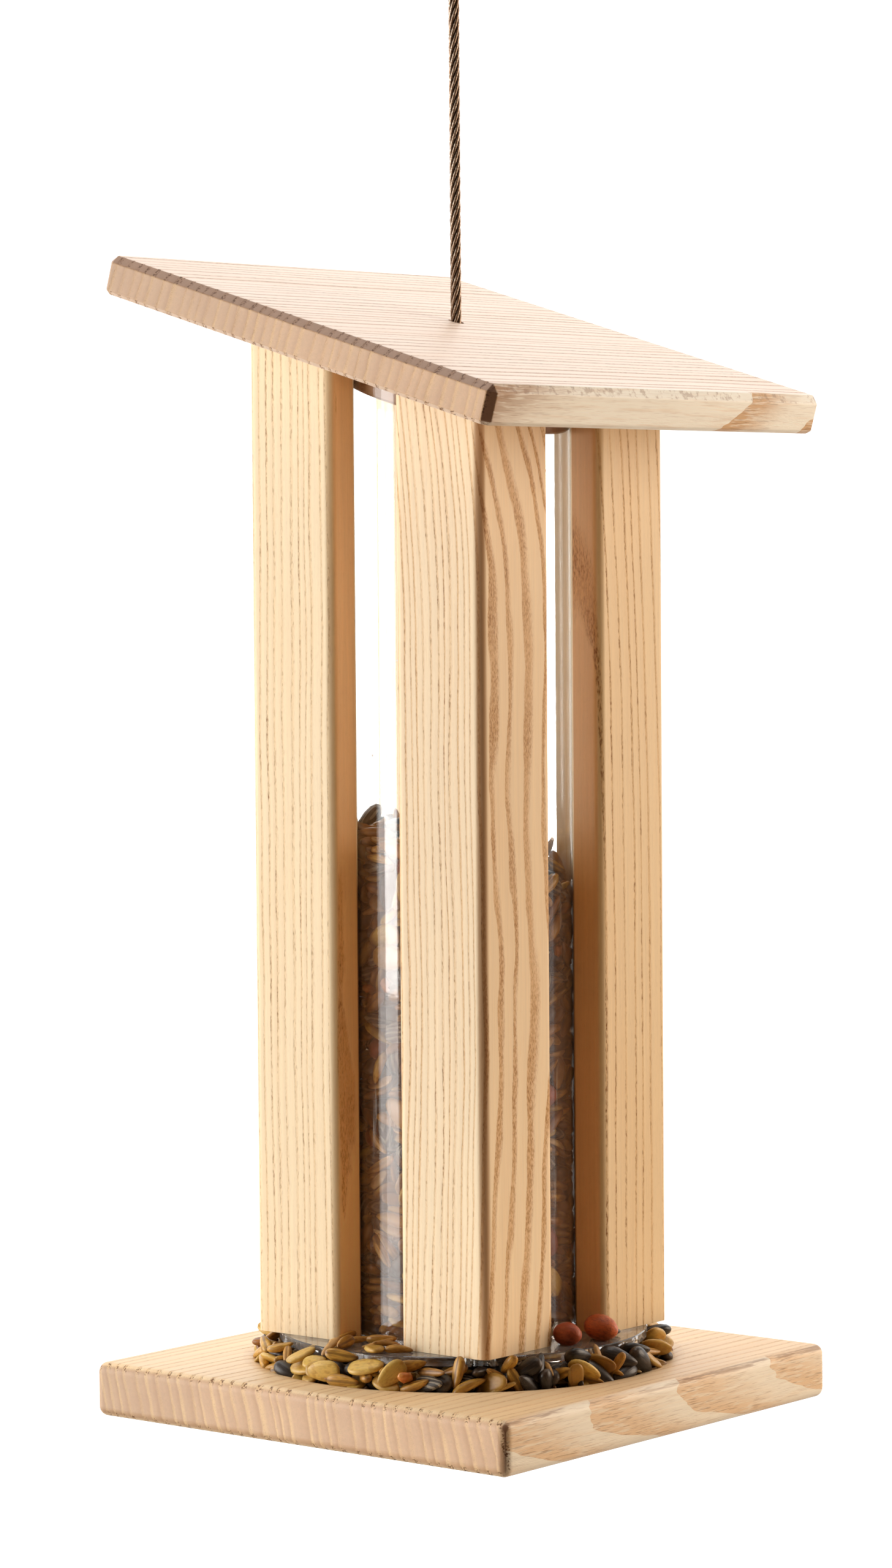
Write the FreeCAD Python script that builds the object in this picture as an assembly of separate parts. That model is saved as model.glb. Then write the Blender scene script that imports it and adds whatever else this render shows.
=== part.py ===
import FreeCAD, Part
import math
import os

# Hanging bird feeding house: a square wooden tray with a turned dish, four
# wooden corner posts around a clear seed tube, a clear base ring under the
# posts, a sloping wooden roof that lifts up along the hanging wire, and the
# twisted wire with its stop below and its loop above.
# Millimetres. Z is up. The origin is the middle of the tray's underside.
# X runs along the roof's fall (the roof is low at +X), Y along the eaves.

V = FreeCAD.Vector
os.makedirs("parts", exist_ok=True)

# ---------------------------------------------------------------- tray
TRAY_W = 160.0          # side of the square tray
TRAY_T = 16.5           # tray thickness
TRAY_R = 3.0            # rounding of the tray's edges
DISH_FLOOR_Z = 9.0      # height of the dish floor
DISH_R = 68.0           # radius of the dish at the tray's top
DISH_LIP_R = 24.0       # wide rounding of the dish's lip
DISH_EDGE = 3.0         # fall of the lip where it leaves the tray's top, degrees
DISH_SLOPE = 28.0       # steepest fall of the dish's side, degrees

# ---------------------------------------------------------------- column
COLUMN_W = 90.0         # outer side of the four posts together
POST_W = 33.0           # side of one post
POST_R = 2.8            # rounding of the posts' upright edges
POST_Z0 = 25.2          # height of the posts' lower ends
COVE_R = 36.4           # hollow on the inside of each post, for the tube
TUBE_R = 36.0           # outer radius of the clear tube
TUBE_WALL = 1.0
RING_R = 56.5           # outer radius of the clear base ring
RING_T = 3.0
RING_HOLE_R = 35.0      # flush with the inside of the tube

# ---------------------------------------------------------------- screws
SCREW_XY = 31.0         # distance of each screw from the two mid planes
SCREW_R = 4.0           # thread crest
SCREW_ROOT_R = 3.35
SCREW_PITCH = 1.25
SCREW_TOP = 58.0
SCREW_HEAD_R = 7.5
SCREW_HEAD_Z0 = 0.3     # flat of the countersunk head
SCREW_HEAD_Z1 = 0.6     # upper edge of the head's rim
SCREW_NECK_Z = 4.0      # where the head's cone meets the shank
SCREW_SINK_GAP = 0.36   # room around the head's cone, measured outwards
SCREW_HOLE_R = 4.2

# ---------------------------------------------------------------- roof
ROOF_S1 = 154.0         # length along the fall
ROOF_S2 = 162.0         # width along the eaves
ROOF_T = 12.0
ROOF_TILT = 16.46       # fall towards +X, degrees
ROOF_Z = 332.7          # height of the roof's top at the wire
ROOF_SHIFT = 5.7        # board's middle from the wire, down the fall
ROOF_CH = 2.3           # bevel of the top and corner edges
ROOF_CH_LOW = 1.3       # bevel of the lower edges
ROOF_SOFT = 0.7         # softening of the bevels
ROOF_HOLE_R = 2.4
PLUG_R = 34.3           # stopper that enters the tube
PLUG_T = 12.0
REST_GAP = 0.1          # under the roof, over the posts

# ---------------------------------------------------------------- wire
WIRE_R = 1.7
WIRE_Z0 = 0.5
TRAY_HOLE_R = 2.4
RECESS_R = 8.5
RECESS_T = 5.2
WASHER_R = 7.5
WASHER_T = 1.2
STOP_R = 3.4
STOP_Z0 = 0.4
STOP_Z1 = 3.85
FERRULE_Z0 = 434.0
FERRULE_H = 12.0
FERRULE_D = 5.6
TAIL_DX = 3.5           # second leg of the loop beside the first
LOOP_R = 11.0
LOOP_RISE = 20.0

# ---------------------------------------------------------------- seed
CLEAR = 0.3
SEED_TOP_Z = 176.5      # level of the seed at the wire
SEED_FALL = 0.18        # its fall towards +X and +Y

TAU = math.radians(ROOF_TILT)
TAN, COS, SIN = math.tan(TAU), math.cos(TAU), math.sin(TAU)
UNDER_Z = ROOF_Z - ROOF_T / COS      # roof's underside at the wire


def save(shape, name):
    shape = shape.removeSplitter() if len(shape.Solids) == 1 else shape
    assert shape.isValid(), name
    shape.exportStep("parts/%s.step" % name)
    print("%-14s solids %d volume %.1f mm3" % (name, len(shape.Solids), shape.Volume))


def cyl(r, z0, z1, x=0.0, y=0.0):
    return Part.makeCylinder(r, z1 - z0, V(x, y, z0), V(0, 0, 1))


def revolve(points):
    """Turned solid from (radius, height) points, given in order."""
    pts = [V(r, 0, z) for r, z in points]
    face = Part.Face(Part.makePolygon(pts + [pts[0]]))
    return face.revolve(V(0, 0, 0), V(0, 0, 1), 360)


def below_slope(z_at_axis, low=-50.0, half=200.0):
    """Everything under the plane through (0, 0, z_at_axis) with the roof's fall."""
    a, b = z_at_axis + half * TAN, z_at_axis - half * TAN
    pts = [V(-half, -half, low), V(half, -half, low), V(half, -half, b), V(-half, -half, a)]
    return Part.Face(Part.makePolygon(pts + [pts[0]])).extrude(V(0, 2 * half, 0))


CORNERS = {"left": (-1, -1), "front": (1, -1), "right": (1, 1), "back": (-1, 1)}

# ---------------------------------------------------------------- tray
h = TRAY_W / 2
tray = Part.makeBox(TRAY_W, TRAY_W, TRAY_T, V(-h, -h, 0))
tray = tray.makeFillet(TRAY_R, tray.Edges)
# the dish's side: a hollow that rises from the flat floor and a lip that rounds over into the top
edge, steep = math.radians(DISH_EDGE), math.radians(DISH_SLOPE)
LIP_X = DISH_R + DISH_LIP_R * math.sin(edge)
LIP_Z = TRAY_T - DISH_LIP_R * math.cos(edge)
turn_z = LIP_Z + DISH_LIP_R * math.cos(steep)
HOLLOW_R = (turn_z - DISH_FLOOR_Z) / (1 - math.cos(steep))
HOLLOW_X = LIP_X - (DISH_LIP_R + HOLLOW_R) * math.sin(steep)


def on_lip(angle, gap=0.0):
    """Point of the lip at the given fall, or that much above it."""
    r = DISH_LIP_R + gap
    return V(LIP_X - r * math.sin(angle), 0, LIP_Z + r * math.cos(angle))


def on_hollow(angle, gap=0.0):
    """Point of the hollow at the given rise, or that much above it."""
    r = HOLLOW_R - gap
    return V(HOLLOW_X + r * math.sin(angle), 0, DISH_FLOOR_Z + HOLLOW_R - r * math.cos(angle))


p0, p1 = V(0, 0, DISH_FLOOR_Z), on_hollow(0.0)
p2, p3 = on_hollow(steep), on_lip(0.0)
p4, p5 = V(LIP_X, 0, TRAY_T + 8), V(0, 0, TRAY_T + 8)
dish = Part.Face(Part.Wire([Part.makeLine(p0, p1), Part.Arc(p1, on_hollow(steep / 2), p2).toShape(),
                            Part.Arc(p2, on_lip(steep / 2), p3).toShape(), Part.makeLine(p3, p4),
                            Part.makeLine(p4, p5), Part.makeLine(p5, p0)]))
tray = tray.cut(dish.revolve(V(0, 0, 0), V(0, 0, 1), 360))
print("dish floor radius %.2f, hollow radius %.2f, steepest at radius %.2f height %.2f" % (p1.x, HOLLOW_R, p2.x, p2.z))
tray = tray.cut(cyl(TRAY_HOLE_R, -1, 30)).cut(cyl(RECESS_R, -1, RECESS_T))
fall = (SCREW_HEAD_R - SCREW_R) / (SCREW_NECK_Z - SCREW_HEAD_Z1)
sink_r = SCREW_HEAD_R + fall * SCREW_HEAD_Z1 + SCREW_SINK_GAP
sink_h = (sink_r - SCREW_HOLE_R) / fall
for sx, sy in CORNERS.values():
    x, y = sx * SCREW_XY, sy * SCREW_XY
    tray = tray.cut(cyl(SCREW_HOLE_R, -1, 20, x, y))
    tray = tray.cut(Part.makeCone(sink_r, SCREW_HOLE_R, sink_h, V(x, y, 0), V(0, 0, 1)))
save(tray, "tray")

# ---------------------------------------------------------------- posts
inner = COLUMN_W / 2 - POST_W
top_cut = below_slope(UNDER_Z - REST_GAP)
for name, (sx, sy) in CORNERS.items():
    x0 = inner if sx > 0 else -COLUMN_W / 2
    y0 = inner if sy > 0 else -COLUMN_W / 2
    post = Part.makeBox(POST_W, POST_W, 360 - POST_Z0, V(x0, y0, POST_Z0))
    edges = []
    for e in post.Edges:
        a, b = e.Vertexes[0].Point, e.Vertexes[1].Point
        if abs(a.z - b.z) > 1 and math.hypot(a.x, a.y) > COVE_R + 2:
            edges.append(e)
    post = post.makeFillet(POST_R, edges)
    post = post.cut(cyl(COVE_R, 0, 400)).common(top_cut)
    post = post.cut(cyl(SCREW_HOLE_R, 0, SCREW_TOP + 3, sx * SCREW_XY, sy * SCREW_XY))
    save(post, "post_" + name)

# ---------------------------------------------------------------- clear tube and ring
tube = cyl(TUBE_R, POST_Z0, 360).cut(cyl(TUBE_R - TUBE_WALL, 0, 400))
tube = tube.common(below_slope(UNDER_Z - 0.5))
save(tube, "seed_tube")

c = 0.25
z0, z1 = POST_Z0 - RING_T, POST_Z0
ring = revolve([(RING_HOLE_R, z0), (RING_R - c, z0), (RING_R, z0 + c), (RING_R, z1 - c),
                (RING_R - c, z1), (RING_HOLE_R, z1)])
for sx, sy in CORNERS.values():
    ring = ring.cut(cyl(SCREW_HOLE_R + 0.2, 0, 50, sx * SCREW_XY, sy * SCREW_XY))
save(ring, "base_ring")

# ---------------------------------------------------------------- screws
thread_a, thread_b = 7.0, POST_Z0 + 1.0
prof = [(0, SCREW_HEAD_Z0), (SCREW_HEAD_R, SCREW_HEAD_Z0), (SCREW_HEAD_R, SCREW_HEAD_Z1),
        (SCREW_R, SCREW_NECK_Z), (SCREW_R, thread_a)]
z = thread_a
while z + SCREW_PITCH < thread_b:
    prof += [(SCREW_ROOT_R, z + SCREW_PITCH * 0.5), (SCREW_R, z + SCREW_PITCH)]
    z += SCREW_PITCH
prof += [(SCREW_R, SCREW_TOP - 1.5), (SCREW_R - 1.5, SCREW_TOP), (0, SCREW_TOP)]
screw = revolve(prof)
hexa = [V(2.9 * math.cos(math.radians(60 * i)), 2.9 * math.sin(math.radians(60 * i)), 0) for i in range(6)]
screw = screw.cut(Part.Face(Part.makePolygon(hexa + [hexa[0]])).extrude(V(0, 0, 2.9)))
screws = []
for sx, sy in CORNERS.values():
    s = screw.copy()
    s.translate(V(sx * SCREW_XY, sy * SCREW_XY, 0))
    screws.append(s)
save(Part.makeCompound(screws), "post_screws")

# ---------------------------------------------------------------- roof
roof = Part.makeBox(ROOF_S1, ROOF_S2, ROOF_T, V(-ROOF_S1 / 2 + ROOF_SHIFT, -ROOF_S2 / 2, -ROOF_T))
upper, lower = [], []
for e in roof.Edges:
    zs = [v.Point.z for v in e.Vertexes]
    (lower if max(zs) < -ROOF_T + 1e-6 else upper).append(e)
roof = roof.makeChamfer(ROOF_CH, upper)
low = []
for e in roof.Edges:
    zs = [v.Point.z for v in e.Vertexes]
    if max(zs) < -ROOF_T + 1e-6:
        low.append(e)
roof = roof.makeChamfer(ROOF_CH_LOW, low)
roof = roof.makeFillet(ROOF_SOFT, roof.Edges)
roof.rotate(V(0, 0, 0), V(0, 1, 0), ROOF_TILT)
roof.translate(V(0, 0, ROOF_Z))
roof = roof.cut(cyl(ROOF_HOLE_R, 250, 420))
save(roof, "roof")

plug_low = UNDER_Z - PLUG_T / COS
plug = cyl(PLUG_R, 250, 360).common(below_slope(UNDER_Z)).cut(below_slope(plug_low))
rim = []
for e in plug.Edges:
    if e.BoundBox.XLength > PLUG_R and e.CenterOfMass.z < (UNDER_Z + plug_low) / 2 - 2:
        rim.append(e)
if rim:
    plug = plug.makeChamfer(0.8, rim)
plug = plug.cut(cyl(ROOF_HOLE_R, 200, 420))
save(plug, "roof_plug")

# ---------------------------------------------------------------- wire, stop and loop
save(cyl(WIRE_R, WIRE_Z0, FERRULE_Z0), "hanging_wire")
save(cyl(WASHER_R, RECESS_T - 0.05 - WASHER_T, RECESS_T - 0.05).cut(cyl(2.1, -1, 20)), "stop_washer")
stop = cyl(STOP_R, STOP_Z0, STOP_Z1)
stop = stop.makeFillet(0.6, [e for e in stop.Edges if len(e.Vertexes) == 1])
save(stop.cut(cyl(WIRE_R + 0.05, -1, 20)), "wire_stop")

half = FERRULE_D / 2
fx0, fx1 = 0.0, TAIL_DX
a = Part.makeLine(V(fx0, -half, FERRULE_Z0), V(fx1, -half, FERRULE_Z0))
b = Part.Arc(V(fx1, -half, FERRULE_Z0), V(fx1 + half, 0, FERRULE_Z0), V(fx1, half, FERRULE_Z0)).toShape()
c1 = Part.makeLine(V(fx1, half, FERRULE_Z0), V(fx0, half, FERRULE_Z0))
d1 = Part.Arc(V(fx0, half, FERRULE_Z0), V(fx0 - half, 0, FERRULE_Z0), V(fx0, -half, FERRULE_Z0)).toShape()
ferrule = Part.Face(Part.Wire([a, b, c1, d1])).extrude(V(0, 0, FERRULE_H))
save(ferrule, "loop_ferrule")

# loop: two straight legs out of the sleeve, joined by one round bend
zf = FERRULE_Z0 + FERRULE_H
cx, cz = TAIL_DX / 2, zf + LOOP_RISE
dx, dz = cx - fx0, cz - zf
dist = math.hypot(dx, dz)
ang = math.atan2(dz, dx)
off = math.acos(LOOP_R / dist)
phi = ang + math.pi - off            # direction from the bend's middle to the tangent point
tx, tz = cx + LOOP_R * math.cos(phi), cz + LOOP_R * math.sin(phi)
tx2 = 2 * cx - tx
path = Part.Wire([
    Part.makeLine(V(fx0, 0, zf), V(tx, 0, tz)),
    Part.Arc(V(tx, 0, tz), V(cx, 0, cz + LOOP_R), V(tx2, 0, tz)).toShape(),
    Part.makeLine(V(tx2, 0, tz), V(fx1, 0, zf))])
ux, uz = tx - fx0, tz - zf
un = math.hypot(ux, uz)
start = Part.Wire(Part.makeCircle(WIRE_R, V(fx0, 0, zf), V(ux / un, 0, uz / un)))
loop = path.makePipeShell([start], True, False)
if loop.Volume < 0:
    loop.reverse()
# the legs end square on the sleeve's upper face
loop = loop.cut(Part.makeBox(40, 40, 40, V(-20, -20, zf - 40)))
area = math.pi * WIRE_R ** 2
print("loop volume %.1f, section times length %.1f, bend radius %.1f" % (loop.Volume, area * path.Length, LOOP_R))
print("loop tangent", round(tx, 3), round(tz, 3), "top", cz + LOOP_R + WIRE_R)
save(loop, "hanging_loop")

# ---------------------------------------------------------------- seed
b0 = V(WIRE_R + 0.6, 0, DISH_FLOOR_Z + CLEAR)
b1 = on_hollow(0.0, CLEAR)
bt = on_hollow(steep, CLEAR)
ae = math.radians(14)
b2 = on_lip(ae, CLEAR)
b3 = V(RING_R + 1.5, 0, POST_Z0 - RING_T + 0.6)
b4 = V(RING_R + 0.4, 0, POST_Z0 - RING_T + 0.6)
b5 = V(RING_R + 0.4, 0, POST_Z0 - RING_T - CLEAR)
b6 = V(WIRE_R + 0.6, 0, POST_Z0 - RING_T - CLEAR)
bed = Part.Face(Part.Wire([Part.makeLine(b0, b1), Part.Arc(b1, on_hollow(steep / 2, CLEAR), bt).toShape(),
                           Part.Arc(bt, on_lip((steep + ae) / 2, CLEAR), b2).toShape(), Part.makeLine(b2, b3),
                           Part.makeLine(b3, b4), Part.makeLine(b4, b5), Part.makeLine(b5, b6),
                           Part.makeLine(b6, b0)])).revolve(V(0, 0, 0), V(0, 0, 1), 360)
for sx, sy in CORNERS.values():
    bed = bed.cut(cyl(SCREW_R + CLEAR, 0, 50, sx * SCREW_XY, sy * SCREW_XY))
save(bed, "seed_bed")

sr = TUBE_R - TUBE_WALL - CLEAR
col = cyl(sr, POST_Z0 - RING_T, 260)
q = 100.0
pts = [V(x, y, SEED_TOP_Z - SEED_FALL * (x + y)) for x, y in ((-q, -q), (q, -q), (q, q), (-q, q))]
lid = Part.Face(Part.makePolygon(pts + [pts[0]])).extrude(V(0, 0, 400))
col = col.cut(lid).cut(cyl(WIRE_R + 0.6, 0, 400))
save(col, "seed_column")
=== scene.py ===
import bpy, math
from mathutils import Vector, Quaternion, Matrix


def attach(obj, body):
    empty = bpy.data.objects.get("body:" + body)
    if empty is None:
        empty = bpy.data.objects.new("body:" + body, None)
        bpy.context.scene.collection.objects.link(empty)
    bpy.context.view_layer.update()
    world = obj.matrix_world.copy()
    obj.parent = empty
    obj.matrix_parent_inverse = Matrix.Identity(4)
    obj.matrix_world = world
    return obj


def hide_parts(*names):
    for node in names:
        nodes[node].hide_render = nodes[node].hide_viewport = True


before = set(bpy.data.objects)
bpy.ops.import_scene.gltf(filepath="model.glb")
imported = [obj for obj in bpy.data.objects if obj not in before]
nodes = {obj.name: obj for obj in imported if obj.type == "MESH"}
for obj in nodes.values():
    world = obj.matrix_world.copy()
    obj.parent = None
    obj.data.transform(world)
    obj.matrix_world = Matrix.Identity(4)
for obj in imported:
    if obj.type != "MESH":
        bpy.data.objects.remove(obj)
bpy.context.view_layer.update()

MM = 0.001
scene = bpy.context.scene

# ------------------------------------------------------------------ camera
CAM_D = Vector((0.63126, -0.77384, 0.05182)).normalized()      # from the house to the camera
CAM_POS = Vector((0.876054, -1.080433, 0.263984))
CAM_AZ = math.radians(39.206)
ROLL = math.radians(-0.428)
right0 = Vector((math.cos(CAM_AZ), math.sin(CAM_AZ), 0.0))
up0 = CAM_D.cross(right0)
cam_r = right0 * math.cos(ROLL) + up0 * math.sin(ROLL)
cam_u = up0 * math.cos(ROLL) - right0 * math.sin(ROLL)
cam = bpy.data.cameras.new("camera")
cam.lens = 104.55
cam.sensor_width = 36.0
cam.clip_end = 60.0
cam_ob = bpy.data.objects.new("camera", cam)
cam_ob.matrix_world = Matrix(((cam_r.x, cam_u.x, CAM_D.x, CAM_POS.x),
                              (cam_r.y, cam_u.y, CAM_D.y, CAM_POS.y),
                              (cam_r.z, cam_u.z, CAM_D.z, CAM_POS.z),
                              (0, 0, 0, 1)))
scene.collection.objects.link(cam_ob)
scene.camera = cam_ob
scene.view_settings.view_transform = "Standard"
scene.view_settings.look = "None"


# ------------------------------------------------------------------ node graphs
class Val:
    """One number or vector in a node graph, with arithmetic."""

    def __init__(self, g, s):
        self.g, self.s = g, s

    def __add__(self, o): return self.g.math("ADD", self, o)
    def __radd__(self, o): return self.g.math("ADD", o, self)
    def __sub__(self, o): return self.g.math("SUBTRACT", self, o)
    def __rsub__(self, o): return self.g.math("SUBTRACT", o, self)
    def __mul__(self, o): return self.g.math("MULTIPLY", self, o)
    def __rmul__(self, o): return self.g.math("MULTIPLY", o, self)
    def __truediv__(self, o): return self.g.math("DIVIDE", self, o)
    def __neg__(self): return self.g.math("MULTIPLY", self, -1.0)


class Graph:
    def __init__(self, name):
        self.m = bpy.data.materials.new(name)
        self.m.use_nodes = True
        self.t = self.m.node_tree
        self.t.nodes.clear()
        self._tc = None

    def new(self, kind, **kw):
        n = self.t.nodes.new(kind)
        for k, v in kw.items():
            setattr(n, k, v)
        return n

    def put(self, sock, v):
        if isinstance(v, Val):
            self.t.links.new(v.s, sock)
        else:
            sock.default_value = v

    def math(self, op, *a, clamp=False):
        n = self.new("ShaderNodeMath", operation=op, use_clamp=clamp)
        for i, v in enumerate(a):
            self.put(n.inputs[i], v)
        return Val(self, n.outputs[0])

    def fract(self, a): return self.math("FRACT", a)
    def floor(self, a): return self.math("FLOOR", a)
    def sqrt(self, a): return self.math("SQRT", a)
    def abs(self, a): return self.math("ABSOLUTE", a)
    def mx(self, a, b): return self.math("MAXIMUM", a, b)
    def mn(self, a, b): return self.math("MINIMUM", a, b)
    def power(self, a, b): return self.math("POWER", a, b)
    def sin(self, a): return self.math("SINE", a)
    def clamp(self, a): return self.math("ADD", a, 0.0, clamp=True)

    def coords(self, which):
        if self._tc is None:
            self._tc = self.new("ShaderNodeTexCoord")
        return Val(self, self._tc.outputs[which])

    def attr(self, name, out="Fac"):
        n = self.new("ShaderNodeAttribute", attribute_name=name)
        return Val(self, n.outputs[out])

    def dot(self, a, vec):
        n = self.new("ShaderNodeVectorMath", operation="DOT_PRODUCT")
        self.put(n.inputs[0], a)
        self.put(n.inputs[1], vec)
        return Val(self, n.outputs["Value"])

    def vec(self, x, y, z):
        n = self.new("ShaderNodeCombineXYZ")
        for i, v in enumerate((x, y, z)):
            self.put(n.inputs[i], v)
        return Val(self, n.outputs[0])

    def split(self, v):
        n = self.new("ShaderNodeSeparateXYZ")
        self.put(n.inputs[0], v)
        return [Val(self, o) for o in n.outputs]

    def noise(self, v, scale=1.0, detail=1.0, rough=0.5, dist=0.0):
        n = self.new("ShaderNodeTexNoise", noise_dimensions="3D")
        self.put(n.inputs["Vector"], v)
        n.inputs["Scale"].default_value = scale
        n.inputs["Detail"].default_value = detail
        n.inputs["Roughness"].default_value = rough
        n.inputs["Distortion"].default_value = dist
        return Val(self, n.outputs[0])

    def voronoi(self, v, scale=1.0, feature="F1", rand=1.0, out=0):
        n = self.new("ShaderNodeTexVoronoi", voronoi_dimensions="3D", feature=feature)
        self.put(n.inputs["Vector"], v)
        n.inputs["Scale"].default_value = scale
        n.inputs["Randomness"].default_value = rand
        return Val(self, n.outputs[out])

    def hash(self, v):
        n = self.new("ShaderNodeTexWhiteNoise", noise_dimensions="1D")
        self.put(n.inputs["W"], v)
        return Val(self, n.outputs[0])

    def step(self, x, a, b, lo=0.0, hi=1.0):
        n = self.new("ShaderNodeMapRange", interpolation_type="SMOOTHSTEP")
        for i, v in enumerate((x, a, b, lo, hi)):
            self.put(n.inputs[i], v)
        return Val(self, n.outputs[0])

    def lin(self, x, a, b, lo=0.0, hi=1.0):
        n = self.new("ShaderNodeMapRange", interpolation_type="LINEAR")
        for i, v in enumerate((x, a, b, lo, hi)):
            self.put(n.inputs[i], v)
        return Val(self, n.outputs[0])

    def mix(self, f, a, b, mode="MIX"):
        n = self.new("ShaderNodeMix", data_type="RGBA", blend_type=mode)
        self.put(n.inputs[0], f)
        for i, v in ((6, a), (7, b)):
            self.put(n.inputs[i], v if isinstance(v, Val) else (*v, 1.0))
        return Val(self, n.outputs[2])

    def bump(self, height, strength, distance):
        n = self.new("ShaderNodeBump")
        n.inputs["Strength"].default_value = strength
        n.inputs["Distance"].default_value = distance
        self.put(n.inputs["Height"], height)
        return Val(self, n.outputs[0])

    def principled(self, **kw):
        n = self.new("ShaderNodeBsdfPrincipled")
        for k, v in kw.items():
            k = k.replace("_", " ")
            if k == "Base Color" and not isinstance(v, Val):
                v = (*v, 1.0)
            self.put(n.inputs[k], v)
        return Val(self, n.outputs[0])

    def out(self, shader):
        n = self.new("ShaderNodeOutputMaterial")
        self.put(n.inputs["Surface"], shader)
        return self.m


def srgb(r, g, b):
    f = lambda c: c / 12.92 if c <= 0.04045 else ((c + 0.055) / 1.055) ** 2.4
    return tuple(f(c / 255.0) for c in (r, g, b))


# ------------------------------------------------------------------ stage
def stage_mesh(name, verts, faces):
    me = bpy.data.meshes.new(name)
    me.from_pydata(verts, [], faces)
    ob = bpy.data.objects.new(name, me)
    scene.collection.objects.link(ob)
    return ob


FLOOR_Z = -0.42
floor = stage_mesh("floor", [(-9, -9, FLOOR_Z), (9, -9, FLOOR_Z), (9, 9, FLOOR_Z), (-9, 9, FLOOR_Z)], [(0, 1, 2, 3)])
g = Graph("floor_paper")
geo = g.new("ShaderNodeNewGeometry")
em = g.new("ShaderNodeEmission")
em.inputs["Color"].default_value = (1, 1, 1, 1)
em.inputs["Strength"].default_value = 1.3
df = g.new("ShaderNodeBsdfDiffuse")
df.inputs["Color"].default_value = (0.30, 0.30, 0.30, 1)
ad = g.new("ShaderNodeAddShader")
g.t.links.new(em.outputs[0], ad.inputs[0])
g.t.links.new(df.outputs[0], ad.inputs[1])
tr = g.new("ShaderNodeBsdfTransparent")
mx = g.new("ShaderNodeMixShader")
g.t.links.new(geo.outputs["Backfacing"], mx.inputs[0])
g.t.links.new(ad.outputs[0], mx.inputs[1])
g.t.links.new(tr.outputs[0], mx.inputs[2])
floor.data.materials.append(g.out(Val(g, mx.outputs[0])))
floor.visible_diffuse = False
floor.visible_glossy = False
floor.visible_shadow = False

# pale surroundings: white behind what the lens sees, a dim room for everything that only lights the wood
world = bpy.data.worlds.new("surroundings")
scene.world = world
world.use_nodes = True
wt = world.node_tree
wt.nodes.clear()
lp = wt.nodes.new("ShaderNodeLightPath")
mxw = wt.nodes.new("ShaderNodeMath")
mxw.operation = "MAXIMUM"
wt.links.new(lp.outputs["Is Camera Ray"], mxw.inputs[0])
wt.links.new(lp.outputs["Is Transmission Ray"], mxw.inputs[1])
dim = wt.nodes.new("ShaderNodeBackground")
dim.inputs[0].default_value = (1.0, 0.62, 0.34, 1)
dim.inputs[1].default_value = 0.11
white = wt.nodes.new("ShaderNodeBackground")
white.inputs[0].default_value = (1, 1, 1, 1)
white.inputs[1].default_value = 1.3
# what polished surfaces mirror: the pale backdrop behind the house, the dim room in front of it
d_flat = Vector((CAM_D.x, CAM_D.y, 0)).normalized()
wtc = wt.nodes.new("ShaderNodeTexCoord")
wdot = wt.nodes.new("ShaderNodeVectorMath")
wdot.operation = "DOT_PRODUCT"
wdot.inputs[1].default_value = tuple(-d_flat)
wt.links.new(wtc.outputs["Generated"], wdot.inputs[0])
wback = wt.nodes.new("ShaderNodeMapRange")
wback.inputs[1].default_value = 0.15
wback.inputs[2].default_value = 0.55
wback.inputs[4].default_value = 0.62
wt.links.new(wdot.outputs["Value"], wback.inputs[0])
wgl = wt.nodes.new("ShaderNodeMath")
wgl.operation = "MULTIPLY"
wt.links.new(lp.outputs["Is Glossy Ray"], wgl.inputs[0])
wt.links.new(wback.outputs[0], wgl.inputs[1])
wfac = wt.nodes.new("ShaderNodeMath")
wfac.operation = "MAXIMUM"
wt.links.new(mxw.outputs[0], wfac.inputs[0])
wt.links.new(wgl.outputs[0], wfac.inputs[1])
wmix = wt.nodes.new("ShaderNodeMixShader")
wt.links.new(wfac.outputs[0], wmix.inputs[0])
wt.links.new(dim.outputs[0], wmix.inputs[1])
wt.links.new(white.outputs[0], wmix.inputs[2])
wout = wt.nodes.new("ShaderNodeOutputWorld")
wt.links.new(wmix.outputs[0], wout.inputs[0])


def softbox(name, side, angle, dist, z, w, h, radiance, colour=(1, 1, 1), aim_z=0.19):
    """Flat rectangular light; angle is measured from the camera's direction, side -1 left, 1 right."""
    a = math.radians(angle)
    dirn = d_flat * math.cos(a) + right0 * (side * math.sin(a))
    pos = Vector((dirn.x * dist, dirn.y * dist, z))
    return panel(name, pos, Vector((0, 0, aim_z)), w, h, radiance, colour)


def panel(name, pos, aim, w, h, radiance, colour=(1, 1, 1)):
    lt = bpy.data.lights.new(name, "AREA")
    lt.shape = "RECTANGLE"
    lt.size, lt.size_y = w, h
    lt.energy = radiance * w * h * math.pi
    lt.color = colour
    ob = bpy.data.objects.new(name, lt)
    z = (pos - aim).normalized()
    x = Vector((0, 0, 1)).cross(z)
    x = x.normalized() if x.length > 1e-4 else Vector((1, 0, 0))
    y = z.cross(x)
    ob.matrix_world = Matrix(((x.x, y.x, z.x, pos.x), (x.y, y.y, z.y, pos.y), (x.z, y.z, z.z, pos.z), (0, 0, 0, 1)))
    ob.visible_camera = False
    scene.collection.objects.link(ob)
    return ob


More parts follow.
